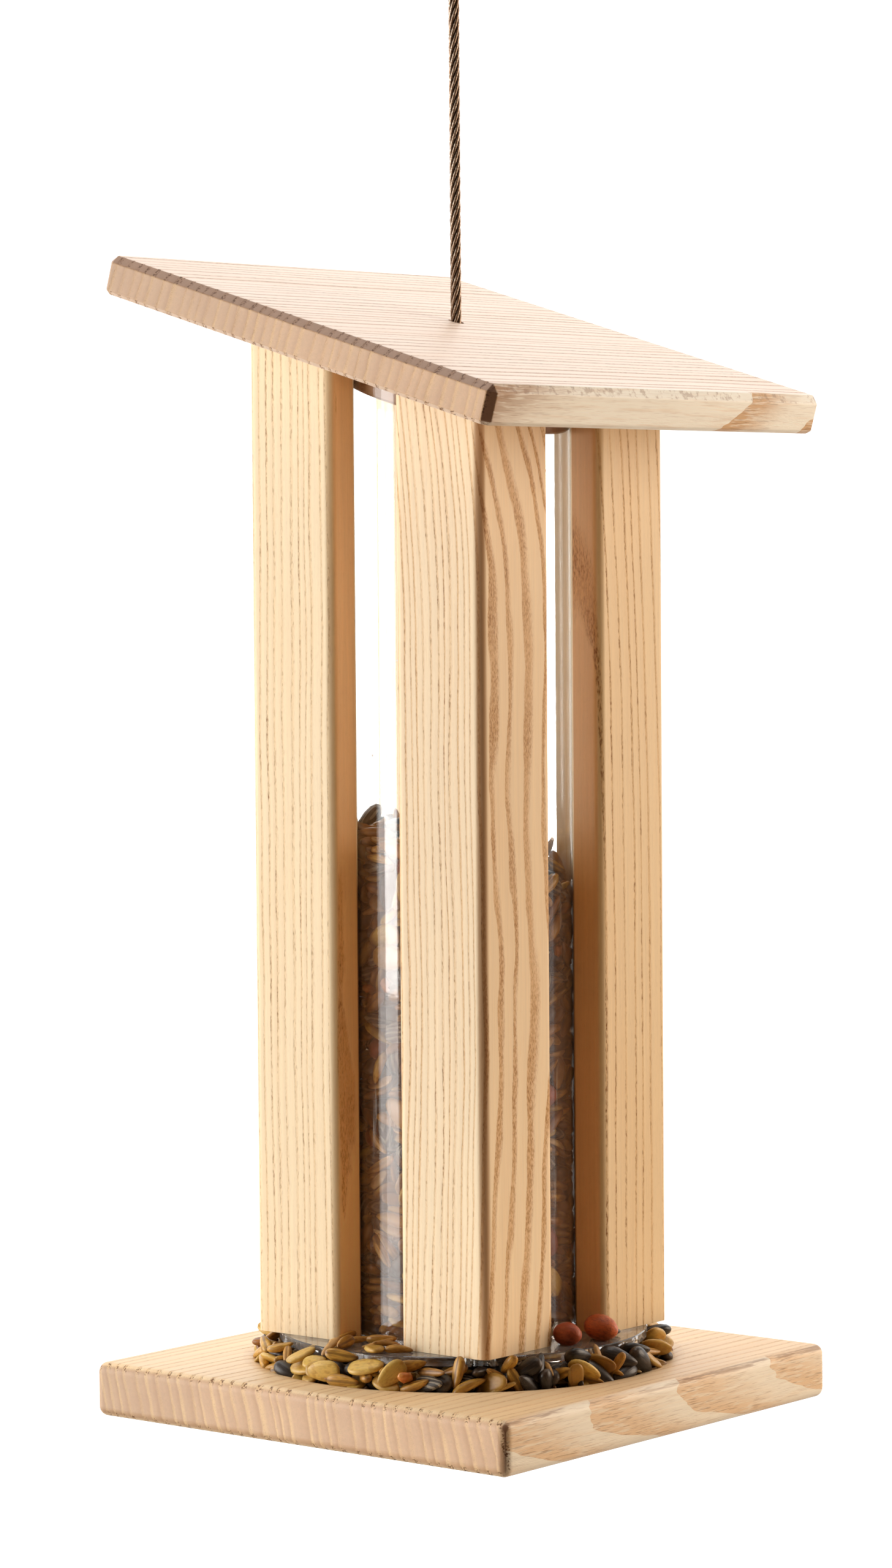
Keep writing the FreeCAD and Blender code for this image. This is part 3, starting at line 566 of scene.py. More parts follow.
# ------------------------------------------------------------------ loose seed
# kind, size in hundredths, place in tenths of a millimetre, turn as a quaternion in hundredths, shade 0 to 99
DISH_SEED = [
    (5,86,502,40,289,97,18,12,10,99), (5,74,474,-89,284,84,54,5,3,45), (4,85,99,488,270,3,49,-85,-16,47), (1,88,39,-438,270,87,-40,-14,24,49), (0,91,22,497,270,95,18,2,-24,5),
    (3,88,-68,544,270,15,-99,-1,6,37), (3,87,-468,-58,269,91,-17,0,39,33), (3,85,468,103,269,87,10,13,47,22), (1,92,-24,-534,268,68,-38,36,-52,42),
    (3,80,-547,-5,268,48,13,-10,-86,27), (2,83,87,-470,268,3,51,-84,14,46), (1,94,-421,10,266,77,-10,13,-62,12), (1,90,-424,90,266,95,-15,8,-26,44),
    (1,85,-102,-436,265,71,14,-8,-68,33), (1,84,-52,452,265,31,-8,-14,94,25), (2,89,56,-476,264,45,16,-10,-88,62), (1,100,-503,-150,263,2,54,84,-1,56),
    (2,86,438,9,263,73,48,-25,-42,44), (2,81,48,413,263,40,-66,-53,36,68), (2,87,-47,-443,263,77,-15,-9,61,73), (0,93,-480,67,262,59,0,0,81,69), (1,82,149,-490,261,1,93,36,-2,51),
    (1,81,-81,-511,261,3,23,97,-1,60), (0,89,42,547,261,7,0,0,-100,26), (0,82,90,-531,261,93,0,-1,-36,61), (2,86,-503,-26,260,1,93,38,-1,22), (6,91,-59,-559,258,63,20,20,-73,5),
    (1,95,-384,-14,239,58,-31,42,-63,44), (1,97,6,-584,239,83,49,19,17,69), (6,95,-582,74,238,84,-41,-34,7,8), (3,84,567,-158,238,64,-44,-29,57,2),
    (2,87,-274,526,234,96,-13,13,-22,56), (2,92,-504,317,232,52,-70,23,-43,63), (0,82,-496,-329,232,96,23,16,-1,65), (3,82,461,377,231,60,5,-14,-79,2),
    (1,89,471,-371,230,21,-29,24,90,58), (0,76,348,475,230,3,-19,3,-98,51), (1,83,-578,-138,230,30,4,-17,94,73), (0,83,-593,-76,229,0,-33,10,94,71),
    (0,83,-19,588,229,96,-16,-17,-18,77), (1,83,-285,-529,226,97,7,-12,20,79), (1,101,226,-535,225,82,-46,-23,24,57), (0,95,312,499,225,94,-5,15,-31,42),
    (0,81,-309,509,224,78,-8,-9,-62,45), (6,83,574,-68,224,82,-5,57,3,12), (0,86,-159,-575,223,83,11,-15,53,77), (0,98,-87,592,223,93,-16,-18,-28,47),
    (4,97,-577,-181,222,27,-35,-72,54,55), (3,86,593,84,222,72,-50,-28,40,1), (0,85,483,340,220,56,-38,-18,71,53), (1,89,-451,-381,220,55,34,-16,-74,52),
    (0,96,108,-593,218,95,25,-2,16,81), (0,83,-239,555,215,82,-18,-18,-52,55), (2,100,174,576,215,77,-17,9,60,2), (3,87,505,-331,215,38,5,57,-73,35),
    (0,99,43,606,214,41,1,-14,-90,30), (0,87,-589,20,214,87,-6,-30,-39,65), (0,95,-599,-41,214,79,49,-16,33,16), (1,96,-403,-461,213,35,5,-29,89,76),
    (0,76,-398,-432,213,97,-17,5,-19,51), (2,62,535,-262,213,32,-89,28,15,74), (1,95,370,-483,213,61,42,35,-58,57), (2,96,-171,585,212,98,13,-11,-11,21),
    (3,80,69,-577,212,94,29,-7,19,30), (3,86,-532,278,212,15,-6,37,91,26), (3,95,509,-291,212,52,42,-11,74,25), (0,66,-93,-592,212,36,-91,-22,3,88),
    (3,104,597,-5,212,79,47,31,25,40), (0,100,-596,103,212,43,38,5,-82,41), (1,93,343,-470,211,16,12,27,-94,32), (2,102,296,-515,210,87,48,-7,-3,43),
    (3,81,404,-426,209,84,8,-16,-52,72), (2,86,-501,306,209,17,7,-10,98,40), (1,82,-486,-298,208,21,33,11,91,89), (1,70,-239,-550,208,80,28,23,-47,51),
    (0,83,119,569,208,90,-42,3,-11,67), (0,85,204,-589,207,4,52,-57,-64,66), (2,90,242,519,207,2,-13,1,99,55), (2,93,-340,518,206,36,88,27,-17,60),
    (1,84,165,-569,206,45,68,-53,-23,62), (6,87,383,476,205,55,22,6,-80,64), (0,94,-274,524,205,43,1,-18,-88,74), (0,85,-569,178,205,54,-15,-19,-81,70),
    (2,85,-570,-117,205,80,33,8,-50,95), (3,98,143,598,204,94,11,25,22,40), (4,98,-551,231,204,90,-43,11,-2,44), (1,74,624,-40,204,23,-46,52,68,45),
    (1,92,-534,334,204,83,-17,-17,50,76), (6,90,-27,591,204,73,-7,16,66,22), (0,86,587,-81,204,63,75,20,8,9), (0,88,600,-171,203,41,79,44,-6,92),
    (1,90,210,562,202,82,-24,42,31,11), (3,92,-317,-498,202,14,0,-2,99,95), (7,85,-67,-573,202,97,-3,-8,-24,44), (1,83,-485,-370,202,97,13,-3,19,4),
    (0,85,547,257,202,47,75,44,17,55), (2,89,-543,-245,201,73,-45,-44,26,12), (7,120,247,-578,200,44,72,52,14,84), (2,93,556,200,200,74,18,27,58,63),
    (0,86,452,394,200,24,23,-93,-15,64), (0,84,-589,-141,199,41,17,22,-87,64), (1,92,-612,51,199,7,92,-25,29,93), (2,93,-545,-202,198,31,-22,-35,86,4),
    (0,99,-77,558,197,21,-11,22,-95,74), (1,99,543,133,196,41,-24,-30,83,60), (2,88,445,-384,196,55,61,56,8,82), (0,90,-27,-627,196,10,-7,70,-70,80),
    (4,93,-583,-232,196,51,59,-30,-55,26), (0,84,-52,-607,195,85,44,10,27,58), (1,87,-479,339,195,36,87,-4,-32,76), (1,74,218,-545,195,82,-25,-17,49,80),
    (1,83,-131,582,194,13,-32,-89,29,14), (3,91,-452,-44,194,4,9,-6,-99,58), (1,90,554,-223,194,57,80,-12,14,78), (2,84,-369,-462,193,31,40,76,-41,60),
    (2,80,-209,-546,193,94,29,-2,16,66), (1,99,6,593,193,64,-12,10,-75,50), (4,89,-624,16,192,3,69,48,-54,30), (0,83,82,607,192,6,13,-98,10,72), (2,88,-578,29,192,55,-33,10,76,29),
    (3,104,614,90,192,60,35,65,31,10), (1,83,-101,595,191,19,-11,29,93,45), (6,99,-581,83,191,93,9,-20,-29,85), (0,62,135,-563,191,5,81,57,-12,84),
    (1,84,-417,-400,191,27,-11,0,-96,64), (3,85,-3,-570,191,93,-33,16,-10,96), (0,100,351,486,190,97,21,2,-10,69), (1,80,-258,-541,190,64,42,40,51,84),
    (3,95,-487,392,190,65,-48,-15,58,7), (2,84,-583,-65,190,9,12,-69,-71,31), (7,92,187,585,190,86,-23,-41,-18,31), (4,95,287,527,189,5,-90,31,31,52),
    (0,89,-49,446,189,12,-77,-63,0,22), (1,94,-263,-389,188,8,29,-91,-30,72), (0,86,-147,-586,188,94,31,-3,-17,73), (0,80,603,157,188,79,-2,38,48,45),
    (1,92,104,-591,188,34,-4,-17,93,51), (2,90,-210,482,188,75,38,18,50,5), (1,107,-145,-519,187,55,-7,-4,83,59), (0,83,-509,270,187,97,-22,5,-11,39),
    (2,83,-526,-278,187,43,-8,36,-83,71), (1,91,-593,125,187,94,-24,-18,-17,37), (3,87,520,-261,186,1,1,-49,87,64), (0,91,472,-1,186,37,-1,-31,-88,8),
    (0,102,-396,-267,186,13,-99,-1,-3,74), (1,95,-442,-431,185,21,-5,92,34,72), (0,83,-308,-528,185,28,95,10,-9,83), (0,106,-262,400,185,6,-17,2,-98,62),
    (3,88,-189,407,185,83,10,16,-52,58), (6,86,-572,158,185,84,53,2,13,51), (4,98,525,-148,185,92,-5,8,38,68), (1,62,583,35,185,21,-12,-57,-78,50),
    (0,96,275,-371,184,12,98,12,9,45), (2,86,-341,-479,184,2,-8,17,-98,29), (4,90,-312,277,184,51,-77,-26,27,18), (0,74,595,-206,184,60,23,76,-9,28),
    (2,98,426,-70,183,50,-2,33,80,95), (3,85,566,-187,183,91,33,19,-14,15), (0,86,-373,-326,183,6,21,6,-97,71), (2,94,389,-380,183,75,61,-9,-24,69),
    (2,96,-447,-127,183,36,-76,-53,10,15), (3,90,-48,626,183,56,-83,-5,1,65), (0,89,-402,435,183,54,-18,-9,-82,25), (0,87,-455,48,183,22,-1,-41,89,74),
    (2,97,433,450,182,18,-94,22,19,3), (1,93,-367,474,182,52,3,44,73,53), (1,84,385,433,182,13,3,97,-20,80), (3,84,520,311,182,4,19,15,97,29), (3,100,309,-503,182,13,-1,-40,91,57),
    (4,89,493,262,182,24,-2,-4,-97,11), (1,95,-97,-570,181,87,36,-2,34,40), (2,103,-497,-227,181,78,15,-12,-60,75), (0,100,274,566,181,59,-78,8,-19,73),
    (0,92,446,-419,181,81,58,-6,7,39), (0,93,-376,325,180,85,-4,-2,-53,26), (1,90,495,-364,180,80,30,51,-9,79), (0,84,576,72,180,31,-6,-18,-93,41),
    (4,90,301,-535,180,92,37,-9,-6,50), (0,86,-237,505,179,46,-10,3,-88,39), (2,107,-350,-370,179,10,2,99,10,34), (3,104,595,-108,179,88,32,31,15,59),
    (0,87,-265,541,179,16,8,-15,-97,21), (4,90,159,494,179,53,-13,-9,83,98), (4,106,373,-286,179,91,-25,6,-32,78), (0,94,496,356,179,76,-33,-17,-54,67),
    (2,98,421,226,179,64,-73,5,22,37), (0,92,196,-439,178,71,1,-5,70,41), (0,94,194,-522,178,39,-91,10,3,51), (1,60,608,-35,178,4,99,12,-10,59),
    (0,91,280,327,178,24,-81,50,-20,32), (0,98,467,340,178,93,-27,8,22,92), (1,95,433,-118,178,22,97,1,-7,2), (1,94,-522,-142,178,13,-27,90,30,34),
    (4,97,352,-464,177,9,-2,26,-96,4), (0,90,518,187,177,78,17,0,-60,21), (3,87,-602,-18,177,44,16,-7,-88,32), (0,86,554,1,177,47,-13,10,-87,37), (0,104,308,423,177,82,3,7,-57,33),
    (2,100,-534,-7,176,63,58,-31,-42,14), (3,81,428,392,176,86,7,-21,-46,9), (7,83,-565,-145,176,66,-27,-6,-70,7), (6,92,-183,-549,176,89,38,-26,-6,88),
    (3,96,-483,103,176,17,98,6,6,67), (2,93,-335,384,176,6,6,54,84,0), (0,107,-264,-437,176,24,92,31,-10,72), (1,106,402,-474,176,12,85,44,26,69),
    (6,102,-560,-51,176,13,-47,-87,-4,36), (3,93,-182,598,175,45,-87,-8,19,69), (0,80,187,-593,175,95,27,17,-3,54), (6,94,-12,457,175,17,-77,61,6,46),
    (2,102,61,412,175,20,-16,29,92,51), (1,92,273,-566,175,96,12,-16,18,54), (1,102,48,-627,174,70,70,9,7,62), (2,95,-332,-434,174,42,-2,12,-90,99),
    (1,93,-355,416,174,95,-21,-8,-23,67), (2,96,-434,-76,174,89,38,-18,-17,94), (0,81,-499,-336,174,90,24,4,36,98), (3,85,522,-340,174,62,34,-63,-32,35),
    (0,99,-62,462,174,2,-76,64,12,39), (6,96,585,129,173,19,28,14,93,69), (0,96,456,180,173,20,-19,-96,9,64), (3,84,-138,571,173,90,-18,2,-40,76),
    (6,93,249,-439,173,52,0,11,85,50), (7,101,416,-357,173,31,-35,-47,75,59), (1,98,-366,-510,173,26,-25,-86,37,85), (3,84,-30,605,173,91,-33,-1,25,97),
    (1,84,-481,371,173,1,93,-11,36,76), (1,83,-335,528,173,16,-44,81,-35,78), (3,87,-487,-102,172,12,-99,5,0,29), (7,96,365,-394,172,56,-24,32,73,42),
    (2,97,-1,628,172,6,-10,96,24,49), (1,99,-537,322,172,74,-27,-6,61,26), (1,108,212,437,172,84,-48,-18,17,49), (2,93,337,-400,172,64,-69,18,-28,26),
    (3,80,-209,-586,172,94,30,15,-7,69), (2,103,393,-235,172,9,97,-22,2,49), (3,90,615,2,171,10,72,-64,-23,69), (1,92,-454,-317,171,74,-20,2,64,63),
    (2,106,-12,566,171,3,-66,-72,22,12), (2,91,181,601,171,23,-11,17,95,42), (6,106,153,-411,171,55,9,14,-82,72), (1,100,430,88,171,13,-89,38,24,82),
    (1,84,-558,-173,171,75,67,-2,-3,8), (0,85,-576,-216,171,75,34,-31,-48,53), (3,85,545,-286,171,60,9,76,24,20), (2,89,-209,-384,171,18,3,3,-98,73),
    (3,83,-54,-575,171,73,-32,6,60,64), (3,89,-485,318,170,91,-25,26,-19,9), (6,89,462,39,170,48,-7,-31,-82,66), (1,87,458,409,170,4,97,-15,-20,84),
    (2,92,149,555,170,88,32,-34,0,45), (0,77,-457,396,170,91,16,-23,-30,90), (2,90,-391,487,170,94,-14,30,9,64), (2,91,-499,-373,170,29,-29,-81,-42,4),
    (7,89,471,-145,170,58,-16,34,-72,5), (2,104,179,557,170,46,12,32,82,89), (3,93,489,102,170,7,-11,-1,99,7), (1,86,-450,-407,169,67,14,21,-70,68),
    (1,107,1,-457,169,63,49,55,27,59), (2,100,-402,-211,169,32,-1,-27,-91,40), (4,91,-422,290,169,46,12,44,76,63), (2,86,202,500,169,77,55,-12,29,33),
    (0,106,475,-13,168,54,-26,19,78,43), (6,93,-310,-489,168,29,90,31,-5,84), (2,103,432,-333,168,17,-9,18,97,22), (2,100,-404,-251,168,20,0,12,-97,37),
    (3,81,121,588,168,71,-1,-9,-70,89), (2,94,380,-343,168,96,1,29,-1,40), (2,105,253,-493,168,25,96,11,-1,85), (3,79,-598,-83,168,98,-17,-13,-4,46),
    (2,95,-484,-188,168,21,-65,-73,10,53), (2,103,485,-97,168,0,-6,-51,-86,18), (0,80,471,-402,168,97,4,-18,16,54), (0,84,-415,-440,167,70,-29,-31,57,93),
    (6,98,340,491,167,40,22,7,-89,53), (2,74,582,199,167,85,26,28,36,69), (0,74,-557,236,167,97,15,-4,-19,69), (3,91,-590,-120,167,81,-27,-7,51,86),
    (4,93,-561,133,167,86,-5,5,51,59), (1,84,600,-146,167,78,58,21,13,64), (4,94,72,518,167,54,14,18,-81,24), (1,82,-294,-544,167,8,-2,99,10,66),
    (3,96,-122,438,167,45,-19,-26,83,37), (0,103,322,-295,167,73,-16,41,53,31), (2,88,-207,-497,167,87,-7,-1,-48,46), (0,105,441,-222,167,4,23,90,38,57),
    (6,84,-528,-315,167,73,25,49,-41,22), (0,91,-37,-520,167,77,56,-27,-10,52), (1,88,-237,-566,166,85,51,1,14,73), (6,88,-370,507,166,84,39,35,-15,44),
    (2,106,446,-298,166,5,98,-3,16,44), (3,88,-546,-247,166,70,21,-5,-68,1), (0,72,-95,-610,166,91,19,-2,-37,62), (6,98,377,454,166,82,-56,-11,11,38),
    (1,84,271,525,165,76,-18,27,-56,2), (4,91,214,383,165,19,27,11,-94,64), (1,85,-107,595,165,88,-9,-7,-45,83), (1,101,391,249,165,70,-64,-27,-18,70),
    (1,88,309,-413,165,1,-34,-94,7,27), (0,105,-181,445,165,65,-2,-15,74,36), (2,70,568,242,164,77,-7,18,61,64), (0,87,-105,-522,164,25,0,-1,97,87),
    (3,86,330,269,164,27,14,95,1,45), (2,93,21,-605,164,11,31,-94,14,42), (0,105,67,594,164,89,-19,13,-40,37), (0,92,91,-498,163,99,2,-15,0,34), (1,79,-602,95,163,42,-6,24,87,32),
    (0,89,-245,-376,163,12,22,-24,94,44), (6,91,535,-193,163,63,-10,9,-76,79), (2,91,-414,-139,163,88,20,41,10,69), (1,94,-502,236,163,40,-90,11,-16,53),
    (1,91,-275,-506,163,84,15,1,52,90), (0,90,74,-597,163,85,10,5,-52,63), (0,98,575,-163,163,7,80,-57,-15,88), (0,92,-284,-352,162,5,34,-93,-11,79),
    (2,96,-582,-36,162,22,62,71,25,6), (1,97,-88,506,162,12,22,-91,-32,16), (0,88,-448,52,162,40,-91,6,-8,77), (2,98,-514,180,162,52,-67,36,-39,10),
    (2,104,-483,25,162,79,53,-31,-9,30), (0,74,-523,283,162,11,-3,-7,99,63), (0,105,-342,-306,162,23,-42,88,-1,27), (2,97,-394,402,162,36,14,36,85,67),
    (2,103,503,-210,161,36,76,-49,-23,16), (1,107,-76,564,161,16,45,-88,-3,21), (6,104,266,-418,161,92,2,-12,-38,92), (1,78,416,439,161,11,97,7,-19,44),
    (1,90,15,581,160,48,-68,44,-34,64), (1,98,317,329,160,13,86,-45,-21,63), (7,96,234,-452,160,62,-17,37,67,36), (4,100,-184,556,160,42,3,40,82,49),
    (0,96,-141,-577,160,68,-4,17,-71,68), (3,87,91,431,160,42,-22,-33,82,14), (3,105,493,308,160,95,23,7,19,51), (4,91,223,544,160,28,49,78,26,68),
    (2,87,36,-445,159,65,-23,39,-61,83), (3,94,-410,192,159,37,6,-25,89,16), (0,96,549,218,159,2,-26,92,-28,17), (3,86,130,-550,159,89,15,28,33,53),
    (0,94,-182,-438,158,66,32,-28,-62,85), (1,101,431,134,158,98,-2,9,19,72), (2,88,-350,-480,158,49,-84,-16,14,67), (6,97,590,54,158,98,-2,-10,16,79),
    (2,96,500,-315,158,3,-86,50,12,35), (0,104,-512,-284,158,39,3,5,-92,55), (0,94,587,-46,158,39,-85,-2,35,74), (0,103,449,-187,157,47,-72,50,-2,48),
    (1,98,-116,-424,157,14,66,70,-25,95), (0,88,-56,-462,157,80,19,10,-56,31), (1,98,-247,530,157,1,69,-72,3,92), (0,106,-294,502,157,75,-11,-10,-64,20),
    (3,91,-351,462,156,37,-3,3,93,42), (6,101,-155,504,156,10,0,-22,-97,82), (2,98,578,-95,156,96,-21,16,-5,3), (1,105,584,-4,156,88,-25,-4,39,7),
    (6,101,194,-445,156,92,21,-6,33,45), (0,100,-510,-41,156,82,-8,-26,50,20), (0,106,-244,405,156,13,-61,-78,9,79), (0,88,446,-42,156,95,-25,-15,-12,31),
    (0,105,-452,-39,156,95,21,-16,-15,24), (2,94,-447,-92,155,42,-88,13,-17,5), (0,87,-363,-394,155,32,-33,23,86,97), (6,99,291,322,155,9,71,-70,-3,67),
    (0,88,-386,-342,155,44,24,-1,-87,40), (3,96,416,40,154,47,-43,-40,66,11), (1,96,137,-491,154,17,-45,87,-7,79), (2,95,-444,-181,154,24,6,90,-37,62),
    (0,103,297,413,154,4,-85,52,9,63), (1,87,388,216,154,12,-24,72,-64,1), (2,95,559,109,154,23,-69,-67,-15,86), (1,85,405,-423,154,21,78,-21,-55,48),
    (2,97,302,-471,154,81,57,1,-12,28), (0,99,242,-330,153,3,-43,56,-71,68), (2,88,439,-103,153,11,3,-54,83,88), (0,93,-436,-354,153,60,-30,-25,70,60),
    (7,91,-574,74,153,47,65,59,7,69), (0,95,-35,476,153,1,-85,-51,-14,4), (2,89,311,493,153,84,-44,2,33,19), (3,103,322,-329,153,3,-47,-84,28,35),
    (6,92,224,-420,153,36,-86,35,-3,27), (3,89,357,354,152,6,63,75,20,60), (3,106,33,453,152,57,44,25,-64,84), (1,104,24,-576,152,60,-7,34,-72,90),
    (3,87,-381,343,152,14,-99,-9,-3,33), (1,92,-375,232,152,98,-18,9,-1,22), (1,89,-469,195,152,41,-2,19,89,5), (2,102,424,-258,152,24,-13,-48,83,84),
    (0,94,456,-331,151,31,-16,-2,94,4), (3,91,409,282,151,26,-67,70,6,66), (6,106,483,55,151,2,-42,89,-18,75), (2,92,528,-237,151,81,-45,10,-36,40),
    (1,104,-330,392,151,89,16,-12,42,64), (1,88,-444,-127,151,28,-95,-13,10,25), (0,103,-526,-176,151,13,84,52,10,57), (1,101,-558,-131,151,49,-6,13,-86,53),
    (3,101,531,9,151,5,-69,73,3,24), (3,87,-343,288,151,98,-4,8,-16,82), (7,94,226,-517,150,81,48,34,-4,49), (0,88,485,-141,150,97,15,-9,19,8),
    (2,102,189,-501,150,23,-45,83,-25,84), (0,98,167,-426,150,10,-49,-85,-16,41), (1,93,-167,-393,150,82,37,-27,-35,94), (1,102,433,-373,149,38,4,71,59,53),
    (4,88,-282,354,149,21,-58,-75,23,40), (6,99,298,-443,149,97,19,-1,-16,33), (0,102,-435,146,149,10,-5,-80,59,54), (2,86,-567,-85,147,70,42,33,47,89),
    (3,88,494,236,147,35,10,-31,-88,19), (2,97,-568,4,147,98,11,-15,2,52), (0,100,289,-381,147,6,-48,-87,0,95), (6,97,-530,13,146,18,-2,97,19,92),
    (3,93,-441,103,146,0,2,-99,13,12), (0,106,404,-388,146,51,-78,18,-32,78), (6,99,-453,-284,145,3,76,-46,-46,90), (1,98,114,-435,145,3,-77,63,5,90),
    (6,93,-315,309,144,17,18,49,83,78), (4,94,219,475,144,51,84,5,18,27), (2,100,-112,-484,144,49,-70,-48,18,87), (2,91,-392,-270,143,25,93,28,-1,83),
    (2,98,-164,449,143,89,-2,7,-44,24), (6,102,-470,-164,143,80,-52,-28,2,1), (2,107,-551,57,143,64,-54,6,-54,87), (0,101,-535,150,143,42,-9,-6,90,58),
    (3,97,424,167,142,23,0,-76,-60,28), (6,103,227,415,142,40,-15,58,-69,49), (2,88,384,-258,142,29,-12,-61,73,81), (1,100,27,494,142,10,-79,48,36,22),
    (0,107,456,-55,142,27,96,5,10,53), (6,103,-375,-428,142,55,-36,-61,-45,13), (2,107,3,554,142,90,-41,-1,-15,21), (2,96,-141,387,142,16,-2,-24,-96,90),
    (2,88,328,453,142,62,61,1,-50,52), (1,88,446,234,141,24,80,55,4,30), (0,105,65,-454,141,15,-82,55,-3,84), (1,104,-499,73,141,9,-4,-40,91,94),
    (1,96,-363,417,139,2,-2,89,-46,61), (3,89,-331,-404,139,9,7,94,-31,31), (2,94,-307,-371,139,73,67,-6,-12,41), (1,87,416,-125,138,77,-48,-26,-33,89),
    (2,106,-74,-407,138,39,-16,-88,-21,39), (0,98,92,472,138,26,24,0,-94,19), (2,103,-371,262,138,34,93,-12,-3,64), (0,95,-28,498,137,63,-6,-13,76,61),
    (0,108,-411,-220,137,28,96,7,1,80), (0,95,-304,-297,137,29,90,-33,-2,76), (0,106,401,-219,136,92,10,14,-35,60), (4,108,156,506,136,48,-9,26,-83,81),
    (4,96,508,171,136,24,-27,-5,93,25), (4,107,-217,482,136,14,56,-66,-48,59), (6,105,126,443,135,74,57,4,35,75), (6,94,312,395,135,10,-79,-61,1,38),
    (4,106,-447,226,134,21,-75,62,-2,42), (0,101,-63,-464,134,11,-42,89,15,56), (6,100,53,513,134,75,25,20,-57,68), (1,90,388,344,133,30,-19,-27,90,88),
    (0,106,208,-409,133,87,14,-6,46,38), (0,91,388,-299,133,84,-30,18,-42,48), (3,93,259,345,132,15,-79,59,7,9), (2,106,-85,491,132,64,23,-42,-61,70),
    (1,97,462,-269,132,11,-95,-30,0,13), (4,107,504,-116,132,39,-79,40,-25,89), (2,87,475,143,131,30,0,92,27,61), (0,104,-256,-433,131,21,95,23,1,68),
    (0,103,166,419,131,87,-34,5,35,62), (0,102,8,410,130,2,-9,-70,-71,75), (1,96,147,-507,129,12,20,-88,-41,53), (3,99,-272,411,129,86,14,-6,-48,87),
    (2,93,287,405,129,1,-60,78,17,89), (0,98,-123,-438,129,3,90,40,-17,94), (0,89,-426,-161,128,98,12,-12,-4,60), (6,103,-189,-504,128,50,8,-14,-85,29),
    (4,101,-126,459,128,3,-83,55,4,16), (1,97,-15,-490,128,1,-23,12,96,59), (2,101,231,449,127,10,50,-76,41,81), (2,97,334,241,127,66,-53,-8,-53,6),
    (3,105,-428,-34,127,78,17,8,-59,40), (1,99,27,-517,127,7,11,-98,15,42), (0,99,-484,-81,127,73,-10,7,67,70), (2,89,337,283,126,1,2,100,-6,56), (1,90,-411,66,126,77,-5,11,62,98),
    (0,88,297,-378,126,27,-4,5,-96,29), (3,102,433,117,126,90,-33,-7,-29,49), (1,102,320,341,125,29,83,47,5,76), (0,96,-174,415,125,98,-3,8,-20,38),
    (1,91,365,-310,124,46,10,34,82,72), (2,96,-176,-415,124,31,-56,59,-49,36), (2,89,-221,377,124,78,2,20,60,62), (0,102,-348,299,124,8,-91,40,-1,15),
    (2,107,-51,-436,123,20,5,17,-96,90), (0,100,-240,-364,123,19,12,-18,96,88), (2,93,459,218,122,42,-46,72,-29,49), (0,106,111,-446,122,3,-48,-88,-2,31),
    (1,107,-206,-455,122,27,57,-77,-7,25), (0,101,184,-382,122,18,14,-91,-34,30), (3,104,-468,96,121,16,-98,9,5,3), (1,89,254,409,121,35,-14,21,-90,69),
    (2,103,-349,-355,121,6,69,-70,-15,64), (3,102,-315,358,121,1,-51,-86,0,89), (3,87,-423,-113,121,54,22,17,-80,45), (0,86,503,0,121,37,-15,37,-84,75),
    (4,106,-470,34,119,96,-17,3,20,84), (6,94,509,-55,119,93,7,-35,-5,47), (3,104,454,61,119,3,99,-13,9,31), (3,105,-398,238,119,9,17,97,14,18),
    (0,100,377,233,118,67,-15,15,71,57), (2,105,233,427,118,15,-32,47,-81,7), (0,88,-393,176,117,55,20,14,-80,27), (0,106,-404,-251,117,9,47,87,-7,77),
    (0,87,427,-66,117,24,75,61,-8,74), (2,105,433,-194,116,19,78,-49,-34,46), (1,99,413,187,115,76,55,8,34,38), (3,94,455,10,115,16,98,15,-4,0),
    (1,102,-451,139,115,36,91,-17,-12,58), (3,93,439,-113,114,53,-18,-7,83,83), (1,103,289,-369,114,91,0,4,-41,83), (0,107,284,359,114,59,0,0,-81,12),
    (3,89,-70,447,114,8,71,69,12,2), (0,103,-257,384,114,1,48,88,-1,55), (1,97,31,-447,113,70,-26,6,-67,40), (2,96,69,-464,113,47,42,35,69,26),
    (3,93,391,-185,112,15,62,-76,-13,96), (2,99,309,-340,112,29,18,51,79,99), (2,103,-156,-428,112,11,47,-86,-17,48), (2,102,136,435,112,83,14,11,53,50),
    (1,90,218,-412,112,93,15,-6,32,35), (2,104,-340,299,112,80,7,-2,-60,87), (1,86,8,-467,111,64,14,23,72,29), (2,100,401,211,111,97,-19,6,14,58),
    (1,108,-403,-181,110,3,20,98,-1,34), (1,101,199,403,110,79,10,23,57,54), (0,90,329,-313,110,12,91,-37,-11,47), (1,88,158,-433,110,55,6,16,82,30),
    (1,101,-296,-333,110,43,65,56,29,93), (2,92,-20,-450,109,61,41,-35,-59,27), (1,91,321,316,109,88,13,9,45,6), (0,89,73,437,109,88,-1,-2,-48,82),
    (1,88,-175,370,108,70,66,25,8,94), (2,86,67,-405,108,96,-22,17,10,89), (7,99,362,-246,107,47,-11,85,-22,93), (1,88,-18,438,107,26,14,-6,-95,51),
    (1,86,231,374,107,2,67,-74,2,79), (7,90,126,-395,106,60,-24,71,-27,52), (7,90,-293,290,105,49,-77,-39,-12,37), (7,107,330,-252,105,26,-25,35,-86,65),
    (6,97,-345,-293,105,1,9,-98,-18,90), (6,88,-412,-6,104,33,54,68,38,95), (6,87,-164,-418,103,9,57,-81,-15,63), (6,92,383,-222,103,2,-18,-97,17,50),
]
